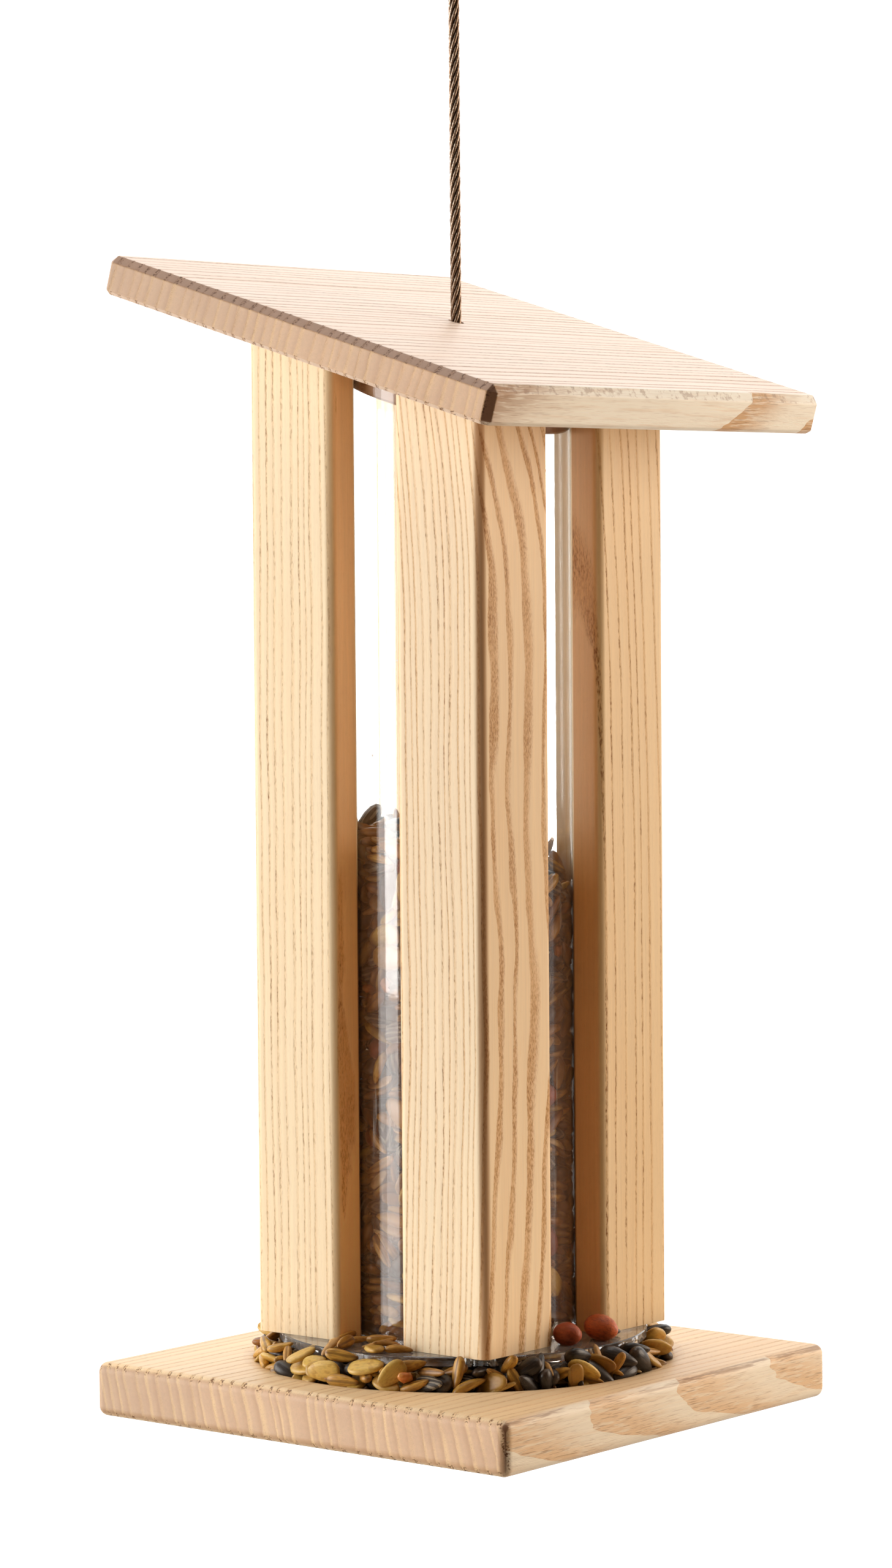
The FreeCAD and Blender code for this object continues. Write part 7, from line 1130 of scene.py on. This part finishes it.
def lathe(profile, n, top=None):
    """Closed ring-shaped solid from a closed (radius, height) outline; top(x) may lift the points marked None."""
    verts, faces = [], []
    m = len(profile)
    for i in range(n):
        a = 2 * math.pi * i / n
        c, s = math.cos(a), math.sin(a)
        for r, z, under in profile:
            verts.append((r * c, r * s, z if top is None or under is None else top(r * c) - under))
    for i in range(n):
        j = (i + 1) % n
        for k in range(m):
            l = (k + 1) % m
            faces.append((i * m + k, j * m + k, j * m + l, i * m + l))
    return verts, faces


# ------------------------------------------------------------------ clear acrylic
def acrylic(name, seed):
    """Clear sheet and tube: polished, with faint wipe marks and a little dust; light goes through it to the seed."""
    g = Graph(name)
    P = g.coords("Object")
    wipe = g.noise(P, scale=70.0, detail=3, rough=0.6)
    fine = g.noise(P, scale=900.0, detail=1)
    dust = 1.0 - g.step(g.voronoi(P, scale=95.0), 0.030, 0.055)
    x, y, z = g.split(P)
    rub = g.step(g.noise(g.vec(x * 620.0 + seed, y * 620.0, z * 26.0), detail=2, rough=0.6), 0.60, 0.78)
    rub = rub * g.step(g.noise(P, scale=38.0, detail=1), 0.42, 0.66)
    ro = 0.012 + g.step(wipe, 0.46, 0.76) * 0.030 + dust * 0.5
    col = g.mix(dust * 0.7, (0.985, 0.99, 0.988), (0.42, 0.38, 0.34))
    n = g.bump(wipe * 0.8 + fine * 0.05, 0.035, 0.0004)
    sh = g.principled(Base_Color=col, Roughness=ro, IOR=1.49, Specular_IOR_Level=0.5, Transmission_Weight=1.0, Normal=n)
    # fine upright rub marks catch the light as pale lines
    scuff = g.principled(Base_Color=(0.90, 0.89, 0.87), Roughness=0.55)
    ms = g.new("ShaderNodeMixShader")
    lw = g.new("ShaderNodeLayerWeight")
    lw.inputs[0].default_value = 0.5
    haze = g.step(Val(g, lw.outputs["Facing"]), 0.37, 0.64) * 0.09
    g.put(ms.inputs[0], g.clamp(rub * 0.30 + haze))
    g.put(ms.inputs[1], sh)
    g.put(ms.inputs[2], scuff)
    sh = Val(g, ms.outputs[0])
    # a streaky brown film covers the inside, up to where the seed stands
    far = g.sqrt(x * x + y * y)
    fill = 0.1705 - x * 0.183 - y * 0.09 + (g.noise(P, scale=160.0, detail=2) - 0.5) * 0.008
    film = (1.0 - g.step(far, 0.0352, 0.0356)) * (1.0 - g.step(z - fill, -0.006, 0.001))
    film = film * g.lin(g.noise(g.vec(x * 110.0, y * 110.0, z * 36.0 + seed), detail=3, rough=0.6), 0.32, 0.66, 0.16, 0.52)
    brown_film = g.principled(Base_Color=g.mix(wipe, srgb(108, 76, 58), srgb(146, 110, 84)), Roughness=0.85)
    m2 = g.new("ShaderNodeMixShader")
    g.put(m2.inputs[0], g.clamp(film))
    g.put(m2.inputs[1], sh)
    g.put(m2.inputs[2], brown_film)
    sh = Val(g, m2.outputs[0])
    lp = g.new("ShaderNodeLightPath")
    tr = g.new("ShaderNodeBsdfTransparent")
    tr.inputs["Color"].default_value = (0.95, 0.945, 0.935, 1.0)
    f = g.mx(Val(g, lp.outputs["Is Shadow Ray"]), Val(g, lp.outputs["Is Diffuse Ray"]))
    mx = g.new("ShaderNodeMixShader")
    g.put(mx.inputs[0], f)
    g.put(mx.inputs[1], sh)
    g.t.links.new(tr.outputs[0], mx.inputs[2])
    return g.out(Val(g, mx.outputs[0]))


clear = acrylic("clear_acrylic", 1)
T16 = math.tan(TILT)
tube_top = lambda x: 320.19 - T16 * x - 0.55
v, f = lathe([(36.0, 25.6, None), (36.0, 0, 0.35), (35.65, 0, 0.0), (35.2, 0, 0.0), (35.0, 0, 0.2), (35.0, 25.45, None),
              (35.2, 25.25, None), (35.65, 25.25, None)], 256, tube_top)
tube = piece("seed_tube_clear", v, f, [clear], sharp=25)
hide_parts("seed_tube")

v, f = lathe([(35.0, 22.5, None), (35.3, 22.2, None), (56.2, 22.2, None), (56.5, 22.5, None), (56.5, 24.85, None), (56.2, 25.15, None),
              (35.3, 25.15, None), (35.0, 24.85, None)], 256)
ring = piece("base_ring_clear", v, f, [clear], sharp=25)
cut_v, cut_f = [], []
for sx in (-1, 1):
    for sy in (-1, 1):
        b = len(cut_v)
        for z in (20.0, 27.0):
            cut_v += [((sx * 31 + 4.4 * math.cos(2 * math.pi * i / 64)) * MM, (sy * 31 + 4.4 * math.sin(2 * math.pi * i / 64)) * MM, z * MM) for i in range(64)]
        cut_f += [(b + i, b + (i + 1) % 64, b + 64 + (i + 1) % 64, b + 64 + i) for i in range(64)]
        cut_f += [tuple(b + i for i in reversed(range(64))), tuple(b + 64 + i for i in range(64))]
cutter_me = bpy.data.meshes.new("cutter")
cutter_me.from_pydata(cut_v, [], cut_f)
cutter = bpy.data.objects.new("cutter", cutter_me)
scene.collection.objects.link(cutter)
bo = ring.modifiers.new("holes", "BOOLEAN")
bo.object = cutter
bo.operation = "DIFFERENCE"
bo.solver = "EXACT"
bpy.context.view_layer.update()
new_me = bpy.data.meshes.new_from_object(ring.evaluated_get(bpy.context.evaluated_depsgraph_get()))
ring.modifiers.clear()
ring.data = new_me
ring.data.set_sharp_from_angle(angle=math.radians(25))
bpy.data.objects.remove(cutter)
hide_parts("base_ring")


# ------------------------------------------------------------------ metals
def metal(name, base, dark, rough, along, seed, wear=0.5, fine=1.0):
    """Drawn or turned metal: fine lines along one axis, patches of tarnish and small dark spots."""
    g = Graph(name)
    P = g.coords("Object")
    x, y, z = g.split(P)
    sx, sy, sz = [(30.0 if i == along else 2600.0 * fine) for i in range(3)]
    lines = g.noise(g.vec(x * sx + seed, y * sy, z * sz), detail=2)
    patch = g.noise(P, scale=420.0, detail=3, rough=0.62)
    spot = g.step(g.noise(P, scale=1500.0, detail=1), 0.62, 0.74)
    f = g.clamp(g.step(patch, 0.40, 0.68) * wear + spot * 0.45)
    col = g.mix(f, base, dark)
    col = g.mix(g.step(lines, 0.5, 0.75) * 0.30, col, dark)
    ro = rough + (patch - 0.5) * 0.22 + (lines - 0.5) * 0.14
    sh = g.principled(Base_Color=col, Roughness=ro, Metallic=1.0, Normal=g.bump(lines * 0.5 + patch, 0.22, 0.00008))
    return g.out(sh)


dark_steel = metal("dark_steel", (0.060, 0.053, 0.050), (0.022, 0.019, 0.018), 0.30, 0, 3.0, 0.6)
bright_steel = metal("bright_steel", (0.62, 0.605, 0.58), (0.30, 0.28, 0.26), 0.28, 0, 5.0, 0.45)
sleeve_alu = metal("sleeve_aluminium", (0.40, 0.395, 0.385), (0.20, 0.195, 0.185), 0.40, 2, 7.0, 0.6)
for n, m in (("post_screws", dark_steel), ("stop_washer", bright_steel), ("wire_stop", sleeve_alu)):
    me = nodes[n].data
    me.materials.clear()
    me.materials.append(m)


# ------------------------------------------------------------------ wire rope
g = Graph("wire_rope")
P = g.coords("Object")
painted_shade_depth = g.attr("painted_shade_depth")
fleck = g.noise(P, scale=1900.0, detail=2, rough=0.6)
tarn = g.noise(P, scale=260.0, detail=3)
col = g.mix(g.step(fleck, 0.45, 0.70), srgb(150, 124, 102), srgb(214, 200, 184))
col = g.mix(g.step(tarn, 0.42, 0.72) * 0.5, col, srgb(128, 98, 76))
# painted shade: the strands' inner sides and the core are painted dark brown
col = g.mix(g.step(painted_shade_depth, 0.25, 0.90), col, srgb(52, 34, 24))
sh = g.principled(Base_Color=col, Metallic=0.85, Roughness=0.36 + painted_shade_depth * 0.30 + (fleck - 0.5) * 0.16,
                  Normal=g.bump(fleck, 0.25, 0.00006))
rope_mat = g.out(sh)


def guide_points(points, spacing):
    """Evenly spaced points read from a smooth line through the route, in millimetres."""
    cu = bpy.data.curves.new("guide", "CURVE")
    cu.dimensions = "3D"
    sp = cu.splines.new("NURBS")
    sp.points.add(len(points) - 1)
    for p, c in zip(sp.points, points):
        p.co = (c[0] * MM, c[1] * MM, c[2] * MM, 1.0)
    sp.order_u = 3
    sp.use_endpoint_u = True
    sp.resolution_u = 48
    ob = bpy.data.objects.new("guide", cu)
    scene.collection.objects.link(ob)
    me = bpy.data.meshes.new_from_object(ob.evaluated_get(bpy.context.evaluated_depsgraph_get()))
    pts = [Vector(q.co) / MM for q in me.vertices]
    bpy.data.objects.remove(ob)
    bpy.data.meshes.remove(me)
    out, left = [pts[0].copy()], spacing
    total = sum((b - a).length for a, b in zip(pts, pts[1:]))
    n = max(4, round(total / spacing))
    step, want, run = total / n, total / n, 0.0
    for a, b in zip(pts, pts[1:]):
        d = (b - a).length
        while want <= run + d + 1e-6 and len(out) < n:
            out.append(a.lerp(b, (want - run) / d))
            want += step
        run += d
    out.append(pts[-1].copy())
    return out, total


def rope(name, path, lay=24.0, offset=1.133, radius=0.567, strands=6, sides=18, phase=0.0):
    """Six lobed strands laid round a thin core along a path."""
    n = len(path)
    tang = [(path[min(i + 1, n - 1)] - path[max(i - 1, 0)]).normalized() for i in range(n)]
    nv = tang[0].orthogonal().normalized()
    if abs(tang[0].z) > 0.99:
        nv = Vector((1, 0, 0))
    frames, s = [], 0.0
    for i in range(n):
        nv = (nv - tang[i] * nv.dot(tang[i])).normalized()
        if i:
            s += (path[i] - path[i - 1]).length
        frames.append((nv.copy(), tang[i].cross(nv), s))
    verts, faces, painted_shade_depth = [], [], []
    for k in range(strands):
        line = []
        for i in range(n):
            a, b, s = frames[i]
            th = 2 * math.pi * (s / lay + k / strands) + phase
            line.append((path[i] + a * (offset * math.cos(th)) + b * (offset * math.sin(th)), a * math.cos(th) + b * math.sin(th), s))
        base = len(verts)
        for i in range(n):
            c, e1, s = line[i]
            t = (line[min(i + 1, n - 1)][0] - line[max(i - 1, 0)][0]).normalized()
            e1 = (e1 - t * e1.dot(t)).normalized()
            e2 = t.cross(e1)
            tw = -2 * math.pi * s / 9.0
            for j in range(sides):
                ph = 2 * math.pi * j / sides
                rr = radius * (0.935 + 0.065 * math.cos(6 * (ph - tw)))
                q = c + e1 * (rr * math.cos(ph)) + e2 * (rr * math.sin(ph))
                verts.append(tuple(q))
                # how far each point faces into the rope, used for painted shade in the grooves
                painted_shade_depth.append(min(1.0, max(0.0, 0.62 - 0.62 * math.cos(ph) + 0.30 * (0.5 - 0.5 * math.cos(6 * (ph - tw))))))
        for i in range(n - 1):
            for j in range(sides):
                l = (j + 1) % sides
                faces.append((base + i * sides + j, base + i * sides + l, base + (i + 1) * sides + l, base + (i + 1) * sides + j))
        faces.append(tuple(base + j for j in reversed(range(sides))))
        faces.append(tuple(base + (n - 1) * sides + j for j in range(sides)))
    base = len(verts)
    for i in range(n):
        a, b, s = frames[i]
        for j in range(8):
            ph = 2 * math.pi * j / 8
            verts.append(tuple(path[i] + a * (0.62 * math.cos(ph)) + b * (0.62 * math.sin(ph))))
            painted_shade_depth.append(1.0)
    for i in range(n - 1):
        for j in range(8):
            l = (j + 1) % 8
            faces.append((base + i * 8 + j, base + i * 8 + l, base + (i + 1) * 8 + l, base + (i + 1) * 8 + j))
    faces.append(tuple(base + j for j in reversed(range(8))))
    faces.append(tuple(base + (n - 1) * 8 + j for j in range(8)))
    ob = piece(name, verts, faces, [rope_mat], sharp=60)
    at = ob.data.attributes.new("painted_shade_depth", "FLOAT", "POINT")
    at.data.foreach_set("value", painted_shade_depth)
    return ob


wire_path, wire_len = guide_points([(0, 0, 0.5), (0, 0, 110), (0, 0, 220), (0, 0, 330), (0, 0, 440)], 0.9)
wire = rope("wire_rope", wire_path)
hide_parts("hanging_wire")
loop_path, loop_len = guide_points([(0, 0, 440.2), (0, 0, 446), (-5.67, 0, 456.56), (-10.21, 0, 465.04), (-7.07, 0, 474.14), (1.75, 0, 477.9),
                                    (10.57, 0, 474.14), (13.71, 0, 465.04), (9.17, 0, 456.56), (3.5, 0, 446), (3.5, 0, 440)], 0.8)
loop = rope("wire_loop", loop_path, phase=2 * math.pi * (wire_len / 24.0 % 1.0))
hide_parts("hanging_loop")

# crimped sleeve: an oval tube pressed in at two places, its mouths rolled a little
rows = 33
sides = 48
verts, faces = [], []


def sleeve_ring(z, rx, ry, grow):
    return [(1.75 + (rx + grow) * math.copysign(abs(math.cos(a)) ** 0.86, math.cos(a)), (ry + grow) * math.copysign(abs(math.sin(a)) ** 0.86, math.sin(a)), z)
            for a in (2 * math.pi * j / sides for j in range(sides))]


def crimp(z):
    d = 0.0
    for c in (437.4, 442.6):
        d += math.exp(-((z - c) / 0.85) ** 2)
    return d


for i in range(rows):
    z = 434.15 + (445.85 - 434.15) * i / (rows - 1)
    e = 0.30 * max(0.0, 1 - min(z - 434.15, 445.85 - z) / 0.5)
    k = crimp(z)
    verts += sleeve_ring(z, 4.5 + 0.05 * k - e, 2.75 - 0.62 * k - e, 0.0)
for z in (445.6, 445.0, 435.0, 434.4):
    verts += sleeve_ring(z, 3.75, 1.78, 0.0)
total = rows + 4
for i in range(total):
    k = (i + 1) % total
    for j in range(sides):
        l = (j + 1) % sides
        faces.append((i * sides + j, i * sides + l, k * sides + l, k * sides + j))
ferrule = piece("loop_ferrule_crimped", verts, faces, [sleeve_alu], sharp=40)
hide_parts("loop_ferrule")
wire_len * MM
[tuple(p * MM) for p in wire_path[::8] + [wire_path[-1]]]


# ------------------------------------------------------------------ seed shapes and skins
SEED_SIZE = [(12.0, 7.2, 2.4), (10.6, 4.0, 3.2), (11.4, 2.9, 2.6), (12.2, 6.2, 4.2), (13.4, 6.4, 4.4), (12.6, 9.6, 9.0), (9.4, 3.6, 1.2), (4.2, 3.2, 2.4)]
OVAL, KERNEL, OAT, DARK, STRIPE, PEANUT, HUSK, CRUMB = range(8)


def seed_point(kind, t, a, tone):
    """A point of one seed's skin: t from end to end, a round the section; the long axis is x, the flat side faces z."""
    L, W, T = SEED_SIZE[kind]
    x = -math.cos(math.pi * t)
    s = math.sqrt(max(0.0, 1 - x * x))
    c, n = math.cos(a), math.sin(a)
    y, z = c, n
    w = h = s
    if kind == OVAL:
        w, h = s ** 0.86 * (1 - 0.20 * x), s ** 0.62
        z = math.copysign(abs(n) ** 0.8, n) * (0.80 + 0.99 * abs(c) ** 3 * (1 - abs(c) ** 6))
    elif kind == KERNEL:
        w, h = s ** 0.95 * (1 - 0.30 * x), s ** 0.90 * (1 - 0.25 * x)
        if n > 0:
            z = n * (1 - 0.40 * math.exp(-(c / 0.28) ** 2))
    elif kind == OAT:
        w, h = s ** 1.05 * (1 - 0.22 * x), s * (1 - 0.2 * x)
        if n > 0:
            z = n * (1 - 0.46 * math.exp(-(c / 0.34) ** 2))
    elif kind in (DARK, STRIPE):
        w, h = s * (1 - 0.42 * x), s ** 0.9 * (1 - 0.38 * x)
        z = math.copysign(abs(n) ** 1.15, n)
    elif kind == PEANUT:
        w, h = s * (1 - 0.08 * x), s * (1 - 0.05 * x)
        k = 1 + 0.018 * math.sin(7 * a + 9 * x) + 0.014 * math.sin(4 * a - 13 * x)
        y, z = y * k, z * k
        if x > 0.6:
            w *= 1 - 0.18 * (x - 0.6)
    elif kind == HUSK:
        w, h = s ** 0.9 * (1 - 0.25 * x), s ** 0.7
    else:
        w, h = s * (1 + 0.22 * math.sin(5 * x + 1)), s * (1 + 0.18 * math.sin(4 * x + 2))
        k = 1 + 0.22 * math.sin(2 * a + 4 * x) + 0.15 * math.sin(3 * a - 3 * x)
        y, z = c * k, n * k
    Y, Zz, Xx = y * w * W / 2, z * h * T / 2, x * L / 2
    if kind == HUSK:
        Zz += -0.18 * Y * Y + 0.55 * w - 0.015 * Xx * Xx
    if kind in (OAT, KERNEL):
        Zz += (0.004 + 0.016 * tone) * Xx * Xx
        Y += 0.012 * (tone - 0.5) * Xx * Xx
    if kind == OVAL:
        Zz += (tone - 0.5) * 0.016 * Xx * Xx
    return Xx, Y, Zz


def seed_heap(name, rows, res, slot):
    """All the seeds of one heap in one mesh, with each seed's own coordinates and shade kept on its points."""
    verts, faces, kinds, local, shade = [], [], [], [], []
    for k, size, x, y, z, qw, qx, qy, qz, tone in rows:
        q = Quaternion((qw, qx, qy, qz)).normalized()
        m = q.to_matrix()
        tone /= 99.0
        rings, segs = res[k]
        base = len(verts)
        at = Vector((x / 10, y / 10, z / 10))
        for i in range(rings + 1):
            for j in range(segs if 0 < i < rings else 1):
                p = seed_point(k, i / rings, 2 * math.pi * j / segs, tone)
                verts.append(tuple(at + m @ (Vector(p) * (size / 100))))
                local.append(p)
                shade.append(tone)
        end = len(verts) - 1
        n0 = len(faces)
        for j in range(segs):
            faces.append((base, base + 1 + (j + 1) % segs, base + 1 + j))
        for i in range(rings - 2):
            a = base + 1 + i * segs
            for j in range(segs):
                l = (j + 1) % segs
                faces.append((a + j, a + l, a + segs + l, a + segs + j))
        a = base + 1 + (rings - 2) * segs
        for j in range(segs):
            faces.append((a + j, a + (j + 1) % segs, end))
        kinds += [k] * (len(faces) - n0)
    return verts, faces, kinds, local, shade


def seed_skin(name, kind):
    g = Graph(name)
    lo = g.attr("seed", "Vector")
    tone = g.attr("tone")
    x, y, z = g.split(lo)
    off = tone * 57.0
    streak = g.noise(g.vec(x * 0.16 + off, y * 2.6, z * 2.6), detail=2, rough=0.6)
    blot = g.noise(g.vec(x * 0.42 + off, y * 0.6, z * 0.6), detail=2)
    grain = g.noise(g.vec(x * 3.0 + off, y * 6.0, z * 6.0), detail=2)
    L, W, T = SEED_SIZE[kind]
    rim = g.step(g.abs(y) * (2 / W), 0.62, 0.95)
    tip = g.step(g.abs(x) * (2 / L), 0.66, 1.0)
    rough = 0.34
    bright = g.power(tone, 1.4)
    if kind == OVAL:
        col = g.mix(bright, srgb(160, 108, 30), srgb(250, 212, 110))
        col = g.mix(g.step(blot, 0.46, 0.70) * 0.60, col, srgb(158, 108, 36))
        col = g.mix(g.step(streak, 0.52, 0.68) * 0.30, col, srgb(150, 104, 40))
        col = g.mix(rim * 0.30, col, srgb(236, 206, 128))
        col = g.mix(tip * 0.35, col, srgb(132, 88, 38))
        ht = streak * 0.4 + grain * 0.35 - rim * 0.4
    elif kind == KERNEL:
        col = g.mix(bright, srgb(156, 98, 28), srgb(246, 198, 94))
        col = g.mix(g.step(streak, 0.46, 0.66) * 0.60, col, srgb(142, 88, 28))
        groove = (1.0 - g.step(g.abs(y), 0.12, 0.62)) * g.step(z, 0.0, 0.6)
        col = g.mix(groove * 0.62, col, srgb(92, 52, 20))
        col = g.mix(tip * 0.40, col, srgb(120, 72, 30))
        # painted shade: the kernel's long edges are painted darker
        col = g.mix(rim * 0.45, col, srgb(138, 88, 30))
        ht = streak * 0.7 + grain * 0.2
        rough = 0.34
    elif kind == OAT:
        col = g.mix(bright, srgb(142, 86, 32), srgb(244, 196, 108))
        col = g.mix(g.step(streak, 0.44, 0.66) * 0.55, col, srgb(116, 70, 28))
        groove = (1.0 - g.step(g.abs(y), 0.10, 0.5)) * g.step(z, 0.0, 0.5)
        col = g.mix(groove * 0.5, col, srgb(84, 48, 20))
        ht = streak * 0.9
    elif kind == DARK:
        col = g.mix(tone, srgb(26, 20, 18), srgb(54, 45, 40))
        col = g.mix(g.step(streak, 0.50, 0.68) * 0.45, col, srgb(86, 77, 70))
        col = g.mix(tip * 0.30, col, srgb(112, 88, 62))
        ht = streak * 0.9 + grain * 0.25
        rough = 0.34
    elif kind == STRIPE:
        band = g.step(g.sin(y * 4.4 + (blot - 0.5) * 3.0 + off), 0.05, 0.55)
        col = g.mix(tone, srgb(44, 38, 36), srgb(74, 66, 60))
        col = g.mix(band * 0.72, col, srgb(176, 166, 146))
        col = g.mix(g.step(grain, 0.5, 0.7) * 0.4, col, srgb(60, 52, 46))
        ht = streak + grain * 0.3
        rough = 0.50
    elif kind == PEANUT:
        col = g.mix(tone, srgb(138, 52, 34), srgb(206, 104, 56))
        vein = g.step(g.noise(g.vec(x * 0.35 + off, y * 1.3, z * 1.3), detail=3, rough=0.65), 0.46, 0.64)
        col = g.mix(vein * 0.5, col, srgb(140, 58, 30))
        col = g.mix(g.step(grain, 0.55, 0.75) * 0.35, col, srgb(222, 138, 84))
        ht = vein * 0.5 + grain * 0.5
        rough = 0.42
    elif kind == HUSK:
        col = g.mix(tone, srgb(186, 142, 82), srgb(230, 200, 144))
        col = g.mix(g.step(streak, 0.45, 0.66) * 0.5, col, srgb(150, 104, 52))
        ht = streak
        rough = 0.55
    else:
        col = g.mix(tone, srgb(178, 118, 52), srgb(206, 112, 44))
        col = g.mix(g.step(blot, 0.42, 0.68) * 0.5, col, srgb(226, 176, 104))
        ht = blot + grain * 0.6
    # painted shade: seed lying lower in the dish, under the heap's top, is painted darker; the blots also vary each
    # seed's tone
    px, py, pz = g.split(g.coords("Object"))
    top = g.lin(g.sqrt(px * px + py * py), 0.0565, 0.0640, 0.0256, 0.0192)
    painted_shade_depth = g.step(top - pz, 0.0010, 0.0064, 1.04, 0.52)
    col = g.mix(1.0, col, g.vec(*[(0.56 + 0.74 * blot) * painted_shade_depth] * 3), "MULTIPLY")
    sh = g.principled(Base_Color=col, Roughness=rough + (grain - 0.5) * 0.16, Normal=g.bump(ht, 0.35, 0.00022))
    return g.out(sh)


SKIN_NAMES = ["flat_seed", "groat", "oat_seed", "black_sunflower", "striped_sunflower", "peanut_skin", "husk", "crumb"]
skins = [seed_skin(n, i) for i, n in enumerate(SKIN_NAMES)]

# packed middle of a heap, never seen but in glimpses between the seeds; painted mostly near black as the shade in those
# gaps
g = Graph("seed_core_painted_shade")
P = g.coords("Object")
cell = g.voronoi(g.mix(1.0, P, (1.0, 1.0, 1.6), "MULTIPLY"), scale=190.0)
tint = g.noise(P, scale=240.0, detail=2)
col = g.mix(g.step(cell, 0.2, 0.75), g.mix(g.step(tint, 0.4, 0.6), srgb(110, 74, 38), srgb(54, 40, 30)), srgb(24, 17, 12))
skins.append(g.out(g.principled(Base_Color=col, Roughness=0.62, Normal=g.bump(cell, 0.6, 0.002))))


def core(verts, faces, kinds, local, shade, r, z0, top, n=48, rows=24, seed=0.0):
    """Lumpy solid middle of a heap."""
    b = len(verts)
    n0 = len(faces)
    zt = lambda x, y: top(x, y)
    for i in range(rows + 1):
        for j in range(n):
            a = 2 * math.pi * j / n
            lump = 0.8 * math.sin(5 * a + i * 1.7 + seed) + 0.6 * math.sin(9 * a - i * 2.3)
            rr = r + (lump if 0 < i < rows else 0.0)
            x, y = rr * math.cos(a), rr * math.sin(a)
            verts.append((x, y, z0 + (zt(x, y) - z0) * i / rows))
    verts.append((0, 0, z0))
    verts.append((0, 0, zt(0, 0)))
    for i in range(rows):
        for j in range(n):
            l = (j + 1) % n
            faces.append((b + i * n + j, b + i * n + l, b + (i + 1) * n + l, b + (i + 1) * n + j))
    for j in range(n):
        l = (j + 1) % n
        faces.append((b + l, b + j, len(verts) - 2))
        faces.append((b + rows * n + j, b + rows * n + l, len(verts) - 1))
    kinds += [8] * (len(faces) - n0)
    local += [(0, 0, 0)] * (len(verts) - b)
    shade += [0.5] * (len(verts) - b)


def heap(name, rows, res, r, z0, top, node, seed):
    data = seed_heap(name, rows, res, "seed_mix")
    core(*data, r, z0, top, seed=seed)
    verts, faces, kinds, local, shade = data
    ob = piece(name, verts, faces, skins)
    me = ob.data
    me.polygons.foreach_set("material_index", kinds)
    me.attributes.new("seed", "FLOAT_VECTOR", "POINT").data.foreach_set("vector", [c for p in local for c in p])
    me.attributes.new("tone", "FLOAT", "POINT").data.foreach_set("value", shade)
    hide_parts(node)
    return ob


FINE = [(10, 12), (10, 11), (9, 10), (10, 12), (10, 12), (16, 20), (8, 10), (7, 8)]
COARSE = [(7, 8), (7, 8), (7, 8), (7, 8), (7, 8), (11, 12), (6, 8), (5, 6)]
heap("dish_seed", DISH_SEED, FINE, 38.6, 9.3, lambda x, y: 21.9, "seed_bed", 1.0)
heap("tube_seed", TUBE_SEED, COARSE, 20.2, 22.2, lambda x, y: 168.0 - 0.18 * (x + y), "seed_column", 2.0)
